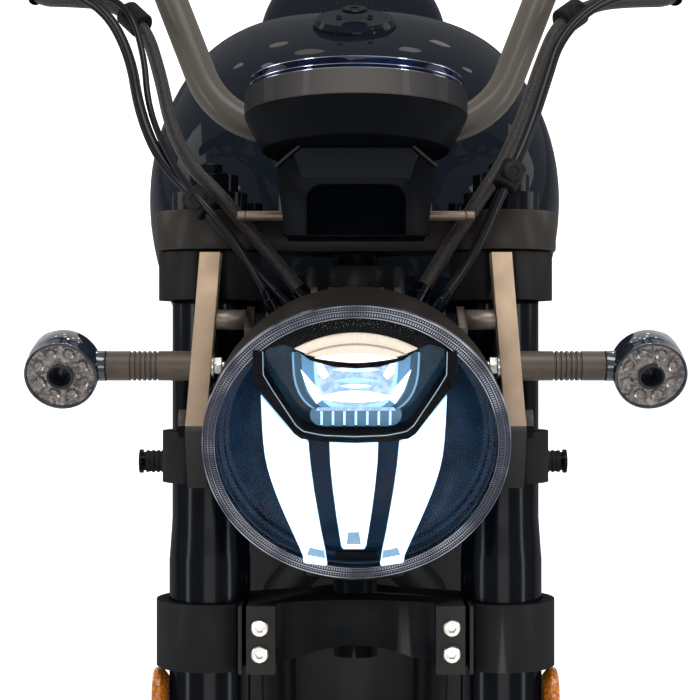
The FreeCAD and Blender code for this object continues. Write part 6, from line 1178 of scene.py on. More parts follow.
def indicators(name, node, body, x, y, z, stem_start, facing):
    """A pair of indicators: the face at (x, y, z), the stem from stem_start out to the drum."""
    place = at(x, y, z, FACING_FRONT if facing < 0 else FACING_BACK)
    stem_place = at(stem_start, y - facing * STEM_BEHIND, z, FACING_LEFT)
    sleeve, collar = stem(name + "_stem", x - DRUM_REACH - stem_start)
    # The lip takes the band's finish, with its painted sheen.
    for piece, look in ((drum, "indicator_shell"), (lip, "gauge_band_painted_sheen"), (smoke, "smoked_ring"),
                        (plate, "diode_reflector"), (pockets, "diode_dish")):
        fit(both_sides(name + "_" + piece.name, copied(piece, place)), body, look, node)
    for piece, look in ((sleeve, "stem_sleeve"), (collar, "indicator_shell")):
        whole = both_sides(piece.name, copied(piece, stem_place))
        bpy.data.objects.remove(piece)
        fit(whole, body, look, node)


indicators("front_indicator", "front_indicators", "fork", 188, -501.6, 869.4, 103.3, -1)
indicators("rear_indicator", "rear_indicators", "chassis", 165, 645.7, 765, 94.3, 1)
for piece in (drum, lip, smoke, plate, pockets):
    bpy.data.objects.remove(piece)
print("indicators placed")

# %% [markdown]
# ## Instrument
#
# The round instrument is a cup of grained plastic with a brighter upper band, on a cone. The band is lighter in the
# middle and darker towards both sides, which is a painted sheen. Its face is black glass with thin bright rings at its
# edges, which are painted highlights, and a fan of ticks that shows only faintly, because the display is asleep; their
# faint glow is painted light. Under it the bracket carries a carbon band over a recess.

# %% Instrument
TILT = Matrix.Rotation(math.radians(-4), 4, "X")
GAUGE = at(0, -80, 786.4, TILT, FORK)
cup = turned("gauge_cup_body", [
    (0, -37), (57.2, -37), (58, -36.4), (58.6, -35.4), (68.3, -17.2), (68.7, -16.2), (68.2, -15.6), (0, -15.6)],
    GAUGE, 160)
fit(cup, "fork", "grained_plastic", "gauge_cup")
# The bezel's band carries the painted sheen, lighter in the middle and darker at the sides.
bezel = turned("gauge_cup_bezel", [
    (66.0, -15.4), (68.5, -15.4), (69, -14.8), (69, -1.2), (68.5, -0.5), (67.6, -0.2), (66.4, -0.4), (66.1, -3.0),
    (0, -3.2), (0, -15.4), (66.0, -15.4)], GAUGE, 160)
fit(bezel, "fork", "gauge_band_painted_sheen", "gauge_cup")
glass = turned("gauge_face", [(0, -2.6), (65.8, -2.6), (66.0, -1.8), (66.0, 5.8), (65.4, 6.9), (64.0, 7.3), (30, 7.5),
                              (0, 7.5)], GAUGE, 160)
fit(glass, "fork", "gauge_display", "gauge_glass")
# Three thin bright rings at the glass's edges are painted highlights.
for name, radius, height, size in (("gauge_edge_low", 66.2, 0.1, 0.32), ("gauge_edge_middle", 66.0, 2.6, 0.18),
                                   ("gauge_edge_high", 65.2, 7.0, 0.24)):
    fit(square_ring(name, radius, height, size, GAUGE, 160), "fork", "lens_glint", "gauge_glass")
# The ticks glow faintly though the display is asleep: painted light.
glowing("gauge_ticks", "gauge_glass", (0.30, 0.40, 0.50), (0.30, 0.44, 0.62), 0.30)
tick = cut_out("tick", oblong(2.2, -0.4, 0.4), 0.5)
TICKS = 41
tick_spots = []
for index in range(TICKS):
    turn = Matrix.Rotation(math.radians(-30 + 240 * index / (TICKS - 1)), 4, "Z")
    tick_spots.append(GAUGE @ turn @ at(56, 0, 7.25))
fit(repeated("gauge_ticks", tick, tick_spots), "fork", "gauge_ticks", "gauge_glass")
print("gauge:", TICKS, "ticks")

# %% [markdown]
# The bracket keeps its shape from the solid. The carbon band is a thin inlaid plate on its upper front, with a raised
# rim above it, and the recess under it is lined by a near-black plate with rounded corners, which is painted shade.

# %% Carbon band
carbon = Finish("carbon_twill", "black_plastic", (0.0015, 0.0022, 0.0035), 0.26, specular=0.0, coat=0.12,
                coat_roughness=0.2)
twill = carbon.waves(300, "DIAGONAL", carbon.stretched(1, 0, 1))
carbon.tint(twill, (0.009, 0.011, 0.014), 0.2, 0.8)
carbon.raised(twill, 0.25, 0.6).raised(carbon.waves(480, "Z"), 0.1, 0.4)
POD = at(0, -102, 0, FACING_FRONT, FORK)
band_outline = [(-33.8, 750.3), (33.8, 750.3), (37.6, 746.0), (32.6, 730.4), (30.2, 731.4), (-30.2, 731.4),
                (-32.6, 730.4), (-37.6, 746.0)]
carbon_band = rounded(cut_out("carbon_band", band_outline, 0.8, at(0, 0, -0.3, base=POD)), 0.3)
fit(carbon_band, "fork", "carbon_twill", "gauge_bracket")
RIM_OUTER = [(-49.2, 739.6), (-33.0, 753.6), (33.0, 753.6), (49.2, 739.6)]
RIM_INNER = [(48.6, 738.2), (32.4, 752.2), (-32.4, 752.2), (-48.6, 738.2)]
# The rim takes the band's finish, with its painted sheen.
rim = rounded(cut_out("bracket_rim", RIM_OUTER + RIM_INNER, 2.4, at(0, 0, -0.6, base=POD)), 0.5)
fit(rim, "fork", "gauge_band_painted_sheen", "gauge_bracket")
ROD_UP = 713
rod = turned("bracket_rod", [(0, 0), (3.1, 0), (3.1, 26), (2.7, 26.6), (3.1, 27.2), (3.1, 31.6), (2.6, 32.2),
                             (0, 32.2)],
             at(43.5, -52, ROD_UP, FACING_LEFT, FORK), 40)
fit(both_sides("bracket_rods", rod), "fork", "rod_bronze", "gauge_bracket")
# A near-black plate set in the recess under the carbon band is painted shade.
recess_painted_shade = Finish("recess_painted_shade", "black_plastic", (0.0010, 0.0014, 0.0020), 0.5, specular=0.0)
recess_painted_shade.raised(recess_painted_shade.cells(900, "SMOOTH_F1"), 0.05, 0.4)
RECESS = [(-29.7, 697.6), (29.7, 697.6), (29.7, 719), (28.6, 723.4), (25.4, 726.6), (21, 727.7), (-21, 727.7),
          (-25.4, 726.6), (-28.6, 723.4), (-29.7, 719)]
shade_plate = rounded(cut_out("recess_shade_plate", RECESS, 0.8, at(0, 0, -7.0, base=POD)), 0.3)
fit(shade_plate, "fork", "recess_painted_shade", "gauge_bracket")
print("bracket dressed")

# %% [markdown]
# ## Bolts, nuts and clips
#
# Every fastener is one of four kinds, each modelled once: a socket bolt with a hexagonal hole, a hexagon bolt on its
# washer, a button-head screw and a plain nut on a threaded end. A row of places then sets them out.

# %% Fasteners
def holed(head, radius, height, floor):
    """A head with a hexagonal hole down to its floor."""
    hole = cut_out("hole", circle(radius, 6), height, at(0, 0, floor))
    shaped(head, "BOOLEAN", object=hole, operation="DIFFERENCE")
    bpy.data.objects.remove(hole)
    return head


def socket_bolt(name, radius, height):
    """A round head with a rounded edge and a hexagonal hole."""
    head = turned(name, [(0, 0), (radius, 0), (radius, height * 0.85), (radius * 0.88, height), (0, height)], sides=32)
    return holed(head, radius * 0.52, height, height * 0.4)


def hex_bolt(name, radius, height):
    """A hexagon head with chamfered corners on a washer."""
    head = rounded(cut_out(name, circle(radius, 6), height, at(0, 0, radius * 0.2)), radius * 0.10)
    washer = turned("washer", [(0, 0), (radius * 1.35, 0), (radius * 1.35, radius * 0.22), (0, radius * 0.22)],
                    sides=32)
    return joined(name, [head, washer])


def stud_nut(name, radius, height):
    """A nut on its washer with the threaded end standing out."""
    nut = hex_bolt(name, radius, height)
    end = turned("stud", [(0, height), (radius * 0.55, height), (radius * 0.55, height * 1.45),
                          (radius * 0.4, height * 1.6), (0, height * 1.6)], sides=24)
    return joined(name, [nut, end])


def button_screw(name, radius, height):
    """A low domed head with a hexagonal hole."""
    head = turned(name, [(0, 0), (radius, 0), (radius * 0.97, height * 0.35), (radius * 0.78, height * 0.8),
                         (radius * 0.5, height), (0, height)], sides=32)
    return holed(head, radius * 0.42, height, height * 0.45)


def fasten(name, kind, radius, height, body, look, places, mirror=True):
    """Sets one kind of fastener at every place, and by default on the other side too."""
    row = repeated(name, kind(name, radius, height), places)
    if mirror:
        row = both_sides(name, row)
    return fit(row, body, look)


fasten("yoke_pinch_bolts", socket_bolt, 5.6, 5.5, "fork", "zinc_plating",
       [at(61.8, -39, YOKE_UP + step, FACING_FRONT, FORK) for step in (-8.5, 8.5)])
fasten("upper_pinch_bolts", socket_bolt, 5.0, 5.0, "fork", "black_anodising", [at(66.0, -20, 719, base=FORK)])
fasten("stay_nuts", stud_nut, 6.4, 5.5, "fork", "zinc_plating",
       [at(92.6, -485.9, 869.4, FACING_RIGHT)])
fasten("stay_boss_nuts", stud_nut, 6.4, 5.5, "fork", "black_anodising", [at(93.8, -39, 603, FACING_RIGHT, FORK)])
print("fasteners on the fork ready")

# %% [markdown]
# The hoses are held in pairs by saddle clips: a rubber sleeve round the line and a round press button in front.

# %% Hose clips
def hose_clip(name, share):
    """A saddle round a hose at a share of its length, with a button towards the front."""
    radius = HOSES[name][0] / 2 + 0.2
    path = measured(hoses[name])[1]
    spot = int(share * (len(path) - 1))
    way = (path[spot + 1] - path[spot - 1]).normalized()
    saddle = turned(name + "_saddle", [
        (radius, -9), (radius + 3.4, -9), (radius + 4.2, -8), (radius + 4.2, 8), (radius + 3.4, 9), (radius, 9),
        (radius, -9)], Matrix.Translation(path[spot]) @ along(way), 40)
    ahead = Vector((0, -1, 0.35))
    ahead = (ahead - ahead.dot(way) * way).normalized()
    button = turned(name + "_button", [
        (0, 0), (7.0, 0), (7.0, 3.4), (5.8, 5.0), (3.6, 5.6), (3.2, 5.0), (0, 5.0)],
        Matrix.Translation(path[spot] + ahead * mm(radius + 0.8)) @ along(ahead), 32)
    return fit(joined(name + "_clip", [saddle, button]), "fork", "moulded_rubber")


for name, share in (("loom_right", 0.33), ("brake_hose_right", 0.74), ("loom_left", 0.33), ("brake_hose_left", 0.70)):
    hose_clip(name, share)
print("clips ready")

# %% [markdown]
# ## Tyres
#
# A tyre is turned as a closed ring with the same section as its solid, in fine steps. The tread is cut into that
# skin: strips of faces across the crown are sunk, long and short ones in turn and staggered from side to side, and
# then the whole crown is twisted from the middle outwards, so that the straight cuts become a swept V.

# %% Tyres
SEAT_RADIUS = 216.6
LIP_RADIUS = 224.3
FRONT_WHEEL = at(0, *FRONT_AXLE, FACING_LEFT)
REAR_WHEEL = at(0, *REAR_AXLE, FACING_LEFT)
WIDEST_SHARE = 0.42
WALL_STEPS = 4
CROWN_STEPS = 13
TYRE_SIDES = 336
TYRE_SMOOTH = 40
TREAD_PERIOD = 12
LONG_CUT = (0.42, 1.1)
SHORT_CUT = (0.42, 0.86)


def tyre(name, body, place, radius, half_width, bead, sweep):
    """A tyre as one closed ring, with its tread cut and then swept backwards by an angle."""
    middle = SEAT_RADIUS + (radius - SEAT_RADIUS) * WIDEST_SHARE
    side = [(SEAT_RADIUS, bead)]
    for step in range(WALL_STEPS):
        turn = math.pi / 2 * (1 - step / WALL_STEPS)
        side.append((middle - (middle - LIP_RADIUS) * math.sin(turn), bead + (half_width - bead) * math.cos(turn)))
    for step in range(CROWN_STEPS):
        turn = math.pi / 2 * step / CROWN_STEPS
        side.append((middle + (radius - middle) * math.sin(turn), half_width * math.cos(turn)))
    profile = side + [(radius, 0)] + [(r, -x) for r, x in reversed(side)] + [side[0]]
    piece = turned(name, profile, UPRIGHT, TYRE_SIDES, TYRE_SMOOTH)

    def in_groove(face):
        """Whether a face of the skin lies in one of the tread's cuts."""
        x, y, across = (length / MM for length in face.center)
        rise = (math.hypot(x, y) - middle) / (radius - middle)
        slot = int((math.atan2(y, x) % (2 * math.pi)) / (2 * math.pi) * TYRE_SIDES)
        slot = (slot + (TREAD_PERIOD // 4 if across < 0 else 0)) % TREAD_PERIOD
        long_cut = slot == 0 and LONG_CUT[0] < rise < LONG_CUT[1] and abs(across) > 4
        short_cut = slot == TREAD_PERIOD // 2 and SHORT_CUT[0] < rise < SHORT_CUT[1]
        return long_cut or short_cut

    sunk(piece, 0.7, -2.6, in_groove)
    for vertex in piece.data.vertices:
        turn = Matrix.Rotation(sweep * abs(vertex.co.z) / mm(half_width), 3, "Z")
        vertex.co = turn @ vertex.co
    piece.data.transform(place)
    bpy.ops.object.shade_smooth_by_angle(angle=math.radians(TYRE_SMOOTH))
    print(name, "has", len(piece.data.polygons), "faces")
    return fit(piece, body, "tyre_rubber", name)


tyre("front_tyre", "front_wheel", FRONT_WHEEL, 293, 55, 42, 0.09)
tyre("rear_tyre", "rear_wheel", REAR_WHEEL, 314, 70, 55, 0.11)
for name, body, place, half_width, middle in (("front_ribs", "front_wheel", FRONT_WHEEL, 54.6, 243),
                                              ("rear_ribs", "rear_wheel", REAR_WHEEL, 69.4, 250)):
    ribs = []
    for side in SIDES:
        for step, sink in ((0, 0.0), (5, 0.35)):
            r, x = middle - step, half_width - sink
            ribs.append(turned(name, [(r - 0.8, side * (x - 1.0)), (r, side * (x + 0.3)), (r + 0.8, side * (x - 1.0)),
                                      (r - 0.8, side * (x - 1.0))], place, 168))
    fit(joined(name, ribs), body, "tyre_rubber")
print("tyres ready")

# %% [markdown]
# ## Springs and dampers
#
# The shock absorber's solids are the damper, with its eyes and seats, and the coil. They are parted, so that the
# coil is painted black and the damper is bright below and black above.

# %% Shock absorbers
spring_paint = Finish("spring_paint", "gloss_plastic", (0.006, 0.006, 0.007), 0.22, coat=0.3, specular=0.25)
spring_paint.raised(spring_paint.noise(500, 2), 0.03, 0.3)
SHOCK_TOP = (500, 765)
SHOCK_RUN = (100, -370)
SHOCK_LEAN = along(Vector((0, *SHOCK_RUN)).normalized())
COIL_FACES = 6000
for piece in parts_of(softened("shock_absorbers", "hard_chrome", 0.3)):
    coil = len(piece.data.polygons) > COIL_FACES
    fit(piece, "chassis", "spring_paint" if coil else "hard_chrome", "shock_absorbers")
    print(piece.name, len(piece.data.polygons), "faces", "coil" if coil else "damper")


def on_shock(x, share, turn=SHOCK_LEAN):
    """A place at a share of the way down from the left shock absorber's upper eye to the lower one."""
    return at(x, SHOCK_TOP[0] + SHOCK_RUN[0] * share, SHOCK_TOP[1] + SHOCK_RUN[1] * share, turn)


for name, share, profile, look in (
        ("shock_collar", 0.145, [(9, -5), (25.5, -5), (25.5, -3.4), (24.6, -2.6), (24.6, 2.6), (25.5, 3.4), (25.5, 5),
                                 (9, 5), (9, -5)], "black_anodising"),
        ("shock_body", 0.17, [(16.0, 0), (18.4, 0), (18.4, 84), (17.2, 88), (16.0, 88), (16.0, 0)], "black_anodising"),
        ("shock_ring", 0.82, [(8, -3), (25.5, -3), (25.5, 3), (8, 3), (8, -3)], "black_anodising"),
        ("shock_boot", 0.86, [(7.4, -6), (12, -6), (14, 0), (12, 6), (7.4, 6), (7.4, -6)], "moulded_rubber")):
    fit(both_sides(name, turned(name, profile, on_shock(153, share), 64)), "chassis", look)
for share in (0.0, 1.0):
    nut = hex_bolt("shock_nut", 9, 7)
    nut.data.transform(on_shock(167, share, FACING_LEFT))
    fit(both_sides("shock_nuts", nut), "chassis", "zinc_plating")
print("shock absorbers ready")

# %% [markdown]
# ## Grips, switches and mirrors
#
# The grips are ribbed rubber sleeves with a metal weight in the bar's end. The switch pods get their buttons on the
# side that faces the rider. So does the mirrors' glass.

# %% Grips
BAR_END = Vector((368, 137, 938))
BAR_WAY = (BAR_END - Vector((141.5, 56, 905))).normalized()
GRIP_LENGTH = 122


def on_bar(inwards, radius=0.0, spin=0.0):
    """A place on the left end of the bar, so far in from its end, turned by spin and out by a radius."""
    foot = at(*(BAR_END - BAR_WAY * inwards), along(BAR_WAY), FORK)
    return at(radius, 0, 0, base=foot @ Matrix.Rotation(spin, 4, "Z"))


profile = [(11.6, 0), (17, 0), (17, 3), (15.5, 4)]
RIBS_ON_GRIP = 17
for rib in range(RIBS_ON_GRIP):
    start = 7 + rib * 6.2
    profile += [(15.5, start), (16.9, start + 0.9), (16.9, start + 3.4), (15.5, start + 4.3)]
profile += [(15.5, 114), (17, 116), (17, GRIP_LENGTH), (11.6, GRIP_LENGTH), (11.6, 0)]
sleeve = turned("grip_sleeve", profile, on_bar(GRIP_LENGTH), 64)
fit(both_sides("grip_sleeves", sleeve), "fork", "moulded_rubber", "grips")
weight = turned("bar_weight", [
    (0, 0.4), (16, 0.4), (16, 6), (14.8, 6.8), (14.8, 8.6), (16, 9.4), (16, 19), (14.4, 22), (5.0, 22.2), (4.4, 19),
    (0, 19)], on_bar(0), 64)
fit(both_sides("bar_weights", weight), "fork", "black_anodising", "grips")
print("grips:", RIBS_ON_GRIP, "ribs")

# %% Switches
kill_red = Finish("switch_red", "gloss_plastic", (0.35, 0.008, 0.006), 0.30, specular=0.4)
kill_red.raised(kill_red.noise(900, 2), 0.02, 0.3)
button_grey = Finish("switch_grey", "gloss_plastic", (0.030, 0.031, 0.033), 0.36, specular=0.35)
button_grey.raised(button_grey.noise(900, 2), 0.02, 0.3)
RIDER_SIDE = math.radians(62)
POD_RADIUS = 21.4


def switch(name, inwards, spin, size, look, side):
    """A rounded key on the pod, its own Z pointing away from the bar."""
    away = on_bar(inwards, POD_RADIUS, spin) @ FACING_LEFT
    key = rounded(block(name, size, at(0, 0, size[2] / 2 - 1, base=away)), 1.0, 3)
    if side < 0:
        mirrored_key = copied(key, MIRROR)
        bpy.data.objects.remove(key)
        key = mirrored_key
    return fit(key, "fork", look)


for side, name, inwards, spin, size, look in (
        (1, "horn_button", 133, RIDER_SIDE, (8, 8, 4.5), "switch_grey"),
        (1, "signal_slider", 142, RIDER_SIDE, (6, 12, 5.5), "switch_grey"),
        (1, "beam_rocker", 152, RIDER_SIDE, (9, 9, 4.0), "switch_grey"),
        (1, "beam_trigger", 146, RIDER_SIDE + math.radians(150), (12, 7, 5), "switch_grey"),
        (-1, "stop_rocker", 133, RIDER_SIDE, (11, 10, 4.5), "switch_red"),
        (-1, "mode_button", 143, RIDER_SIDE, (7, 8, 4.0), "switch_grey"),
        (-1, "start_button", 152, RIDER_SIDE, (8, 8, 5.0), "switch_grey")):
    switch(name, inwards, spin, size, look, side)
for inwards in (128, 158):
    screw = button_screw("pod_screw", 3.0, 2.0)
    screw.data.transform(on_bar(inwards, POD_RADIUS + 0.2, RIDER_SIDE - math.radians(80)) @ FACING_LEFT)
    fit(both_sides("pod_screws", screw), "fork", "black_anodising")
print("switches ready")

# %% Mirrors
mirror_silver = Finish("mirror_silver", "hard_chrome", (0.78, 0.80, 0.82), 0.015, metal=1.0)
mirror_silver.cloudy(mirror_silver.noise(20), 0.01, 0.03)
mirror_place = at(264.2, -245.1, 1240.9, FACING_BACK)
silver = turned("mirror_glass", [(0, -1.0), (44.6, -1.0), (44.6, 0.1), (43.8, 0.35), (0, 0.35)], mirror_place, 96)
fit(both_sides("mirror_glasses", silver), "fork", "mirror_silver")
edge = turned("mirror_edge", [(44.7, -1), (47.6, -1), (47.6, 0.2), (46.6, 0.9), (45.2, 0.9), (44.7, 0.2), (44.7, -1)],
              mirror_place, 96)
fit(both_sides("mirror_edges", edge), "fork", "moulded_rubber")
print("mirrors ready")

# %% [markdown]
# ## Tail lamp and foot rests
#
# The tail lamp is a round red lens with ring prisms in a black ring. The foot rests are rubber sleeves with ribs on
# the metal peg.

# %% Tail lamp
tail_place = at(0, 800.3, 806, FACING_BACK)
ring = turned("tail_ring", [(0, 0), (24, 0), (24, 9), (23.2, 10.6), (21.2, 11.2), (20.6, 10), (20.4, 5), (0, 5)],
              tail_place)
fit(ring, "chassis", "gloss_plastic", "tail_lamp")
profile = [(0, 5.1), (20.2, 5.1), (20.2, 9.6)]
PRISMS = 6
for prism in range(PRISMS):
    r = 19.6 - prism * 3.1
    height = 10.2 + prism * 0.55
    profile += [(r, height), (r - 1.4, height + 0.9), (r - 2.8, height)]
profile.append((0, 13.4))
lens = turned("tail_lens", profile, tail_place, 96, 20)
fit(lens, "chassis", "red_lens", "tail_lamp")
print("tail lamp:", PRISMS, "prism rings")

# %% Foot rests
softened("foot_rests", "black_anodising", 0.8)
PEG_RIBS = 12
profile = [(10.6, 0), (13.0, 0), (13.0, 2)]
for rib in range(PEG_RIBS):
    start = 4 + rib * 5.8
    profile += [(11.9, start - 0.8), (11.9, start), (13.2, start + 0.8), (13.2, start + 3.4), (11.9, start + 4.2)]
profile += [(13.0, 76), (13.0, 78), (10.6, 78), (10.6, 0)]
rubber_peg = turned("peg_rubber", profile, at(167, 250, 392, FACING_LEFT), 48)
fit(both_sides("peg_rubbers", rubber_peg), "chassis", "moulded_rubber")
fasten("rest_bolts", socket_bolt, 6.5, 5.5, "chassis", "zinc_plating",
       [at(153.2, 128, 292, FACING_LEFT), at(153.2, 168, 336, FACING_LEFT)])
print("foot rests ready")

# %% [markdown]
# ## Seat
#
# The seat is a foam pad in leather on a flat base. A pad is round because it is stuffed, so it is made that way: a
# slightly smaller copy of the solid is remeshed into an even net and blown up as cloth by a little pressure, with
# its base held flat. Only after that come the cross channels, the welt along the side and the two rows of stitches,
# because the remesh would wipe them out.

# %% Pad
SEAT_LOW, SEAT_HIGH = (Vector(corner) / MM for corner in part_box("seat"))
SEAT_MIDDLE = (SEAT_LOW + SEAT_HIGH) / 2
NET = 5.0
PRESSURE = 4.0
FRAMES = 20
CAP = 24.0
BASE_HEIGHT = 8
SHRINK = (0.955, 0.985, 0.93)
pad = merged("seat_pad", "seat")
bpy.ops.transform.resize(value=SHRINK, center_override=mm(0, SEAT_MIDDLE.y, SEAT_LOW.z))
bpy.ops.object.mode_set(mode="OBJECT")
shaped(pad, "REMESH", mode="VOXEL", voxel_size=mm(NET))
print("pad net:", len(pad.data.vertices), "points")

before = [vertex.co.copy() for vertex in pad.data.vertices]
held = pad.vertex_groups.new(name="base")
held.add([index for index, spot in enumerate(before) if spot.z < mm(SEAT_LOW.z + BASE_HEIGHT)], 1.0, "REPLACE")
cloth = pad.modifiers.new("Cloth", "CLOTH")
cloth.settings.use_pressure = True
cloth.settings.uniform_pressure_force = PRESSURE
cloth.settings.effector_weights.gravity = 0
cloth.settings.vertex_group_mass = "base"
cloth.point_cache.frame_start = 1
cloth.point_cache.frame_end = FRAMES
for step in range(1, FRAMES + 1):
    bpy.context.scene.frame_set(step)
pick(pad)
bpy.ops.object.modifier_apply(modifier=cloth.name)
furthest = 0.0
for vertex, start in zip(pad.data.vertices, before):
    move = vertex.co - start
    furthest = max(furthest, move.length / MM)
    if move.length > mm(CAP):
        vertex.co = start + move.normalized() * mm(CAP)
pad.vertex_groups.clear()
print("the pad swelled by up to", round(furthest, 1), "mm, capped at", CAP)
shaped(pad, "SUBSURF", levels=1, render_levels=1)
for vertex in pad.data.vertices:
    x, y, z = vertex.co / MM
    y = min(max(y, SEAT_LOW.y - 0.6), SEAT_HIGH.y + 0.2)
    vertex.co = mm(x, y, max(z, SEAT_LOW.z))
print("pad has", len(pad.data.polygons), "faces")

# %% [markdown]
# A channel is a groove where the cover is sewn through to the base. The points near each line are pulled down, most
# in the middle of the groove and on the top, and not at all below the welt.

# %% Channels
WELT_SHARE = 0.46
CHANNELS = 10
CHANNEL_PITCH = 27.0
CHANNEL_START = 238.0
CHANNEL_DEPTH = 5.0
CHANNEL_HALF = 4.2
SWELL = 1.2
bpy.context.view_layer.update()


def skin_above(x, y):
    """Whether a line straight up through the pad hits its skin, where, and the skin's direction there."""
    return pad.ray_cast(mm(x, y, SEAT_LOW.z + 20), (0, 0, 1))[:3]


def top_of_pad(y):
    """How high the pad's middle line is."""
    hit, spot, _ = skin_above(0, y)
    return spot.z / MM if hit else SEAT_HIGH.z


heights = [(y, top_of_pad(y)) for y in range(int(SEAT_LOW.y) + 4, int(SEAT_HIGH.y) - 2, 6)]


def welt_height(y):
    """The height of the seam between the top and the side of the cover."""
    nearest = min(heights, key=lambda pair: abs(pair[0] - y))[1]
    return SEAT_LOW.z + (nearest - SEAT_LOW.z) * WELT_SHARE


seams = [CHANNEL_START + CHANNEL_PITCH * index for index in range(CHANNELS)]
for vertex in pad.data.vertices:
    x, y, z = vertex.co / MM
    low = welt_height(y)
    above = min(max((z - low - 3) / 10, 0), 1)
    if not above:
        continue
    depth = sum(CHANNEL_DEPTH * math.exp(-((y - seam) / CHANNEL_HALF) ** 2) for seam in seams)
    swell = SWELL * abs(math.sin(math.pi * (y - seams[0]) / CHANNEL_PITCH)) if seams[0] < y < seams[-1] else 0
    vertex.co = mm(x * (1 - 0.010 * depth / CHANNEL_DEPTH * above), y, z - (depth - swell) * above)
bpy.ops.object.shade_smooth()
fit(pad, "chassis", "seat_leather", "seat")
print("channels:", len(seams))

# %% [markdown]
# The welt is a round cord in leather that runs all round the pad on the seam, and the stitches are short threads
# below it and along each channel. Their places are found by casting lines from inside the pad out through its skin.

# %% Welt and stitches
bpy.context.view_layer.update()
welt_black = Finish("welt_leather", "seat_cover", (0.010, 0.009, 0.0085), 0.36, specular=0.10)
welt_black.raised(welt_black.cells(700, "SMOOTH_F1"), 0.10, 0.4)
thread_grey = Finish("seat_thread", "seat_cover", (0.16, 0.15, 0.14), 0.55, specular=0.10)
thread_grey.raised(thread_grey.noise(1800, 2), 0.05, 0.5)


def around(count, drop):
    """Places on the pad's side all round it, a little below the top of the welt."""
    spots = []
    half_long = (SEAT_HIGH.y - SEAT_LOW.y) / 2
    for turn in range(count):
        angle = 2 * math.pi * turn / count
        corner = max(abs(math.cos(angle)), abs(math.sin(angle)))
        y = SEAT_MIDDLE.y + half_long * 0.80 * math.sin(angle) / corner
        start = mm(0, y, welt_height(y) - drop)
        way = Vector((math.cos(angle), math.sin(angle) * 0.9 if abs(math.sin(angle)) > 0.7 else 0, 0)).normalized()
        hit, spot, normal, _ = pad.ray_cast(start, way)
        if hit:
            spots.append((spot.copy(), normal.copy()))
    return spots


welt_line = [spot + normal * mm(0.4) for spot, normal in around(96, 0)]
pick(round_cord("seat_welt", welt_line, 2.3, 4, True, 4, 4))
bpy.ops.object.convert(target="MESH")
welt = bpy.context.object
bpy.ops.object.shade_smooth()
fit(welt, "chassis", "welt_leather")

thread = shaped(cut_out("seat_stitch", oblong(0.5, -1.7, 1.7), 0.7), "SUBSURF", levels=1, render_levels=1)
ACROSS_STITCHES = 15


def stitch_place(spot, normal, way):
    """A stitch lying on the skin along a direction."""
    across = normal.cross(way).normalized()
    ahead = across.cross(normal).normalized()
    turn = Matrix((across, ahead, normal)).transposed().to_4x4()
    return Matrix.Translation(spot - normal * mm(0.15)) @ turn


stitch_spots = []
line = around(190, 6.5)
for (spot, normal), (following, _) in zip(line, line[1:] + line[:1]):
    stitch_spots.append(stitch_place(spot, normal, (following - spot).normalized()))
for seam in seams:
    for side in SIDES:
        for step in range(ACROSS_STITCHES):
            hit, spot, normal = skin_above((step - ACROSS_STITCHES // 2) * 11.0, seam + side * 4.4)
            if hit:
                stitch_spots.append(stitch_place(spot, normal, Vector((1, 0, 0))))
fit(repeated("seat_stitches", thread, stitch_spots), "chassis", "seat_thread")
print("stitches:", len(stitch_spots))

# %% [markdown]
# ## Brakes, motor and battery
#
# The brake discs hang on bobbins at their arms' ends and are bolted to the hubs. The callipers get piston caps, bolts
# and a bleed nipple. The motor's covers and the battery's case are screwed down along their edges, and the axles, the
# swingarm's pivot, the fork legs and the tank's cap get their own fittings.

# %% Brake discs and wheels
def ring_of(count, radius, y, z, start=0.0):
    """Places round an axle, as (y, z), the first one start degrees behind straight up."""
    turns = [math.radians(start + 360 * step / count) for step in range(count)]
    return [(y + radius * math.sin(turn), z + radius * math.cos(turn)) for turn in turns]


def bobbin(name, radius, height):
    """A flanged button with a sunk middle."""
    return turned(name, [(0, 0), (radius, 0), (radius, height * 0.6), (radius * 0.85, height), (radius * 0.5, height),
                         (radius * 0.42, height * 0.6), (0, height * 0.6)], sides=32)


for name, body, x, outwards, inner, inwards, y, z, reach in (
        ("front_disc", "front_wheel", 65, FACING_LEFT, 60, FACING_RIGHT, *FRONT_AXLE, 121),
        ("rear_disc", "rear_wheel", -81, FACING_RIGHT, -76, FACING_LEFT, *REAR_AXLE, 81)):
    places = [at(x, *spot, outwards) for spot in ring_of(5, reach, y, z)]
    places += [at(inner, *spot, inwards) for spot in ring_of(5, reach, y, z)]
    fasten(name + "_bobbins", bobbin, 7.0, 1.8, body, "black_anodising", places, mirror=False)
    fasten(name + "_bolts", button_screw, 4.6, 3.2, body, "zinc_plating",
           [at(x, *spot, outwards) for spot in ring_of(5, 28, y, z, 36)], mirror=False)
VALVE = [(0, 0), (3.4, 0), (3.4, 20), (4.2, 21), (4.2, 31), (3.4, 32), (0, 32)]
for name, body, (y, z) in (("front_valve", "front_wheel", FRONT_AXLE), ("rear_valve", "rear_wheel", REAR_AXLE)):
    (spot_y, spot_z), = ring_of(1, 199, y, z, 36)
    inwards = Vector((0, y - spot_y, z - spot_z)).normalized()
    fit(turned(name, VALVE, Matrix.Translation(mm(0, spot_y, spot_z)) @ along(inwards), 24), body, "zinc_plating")
print("disc and wheel fittings ready")

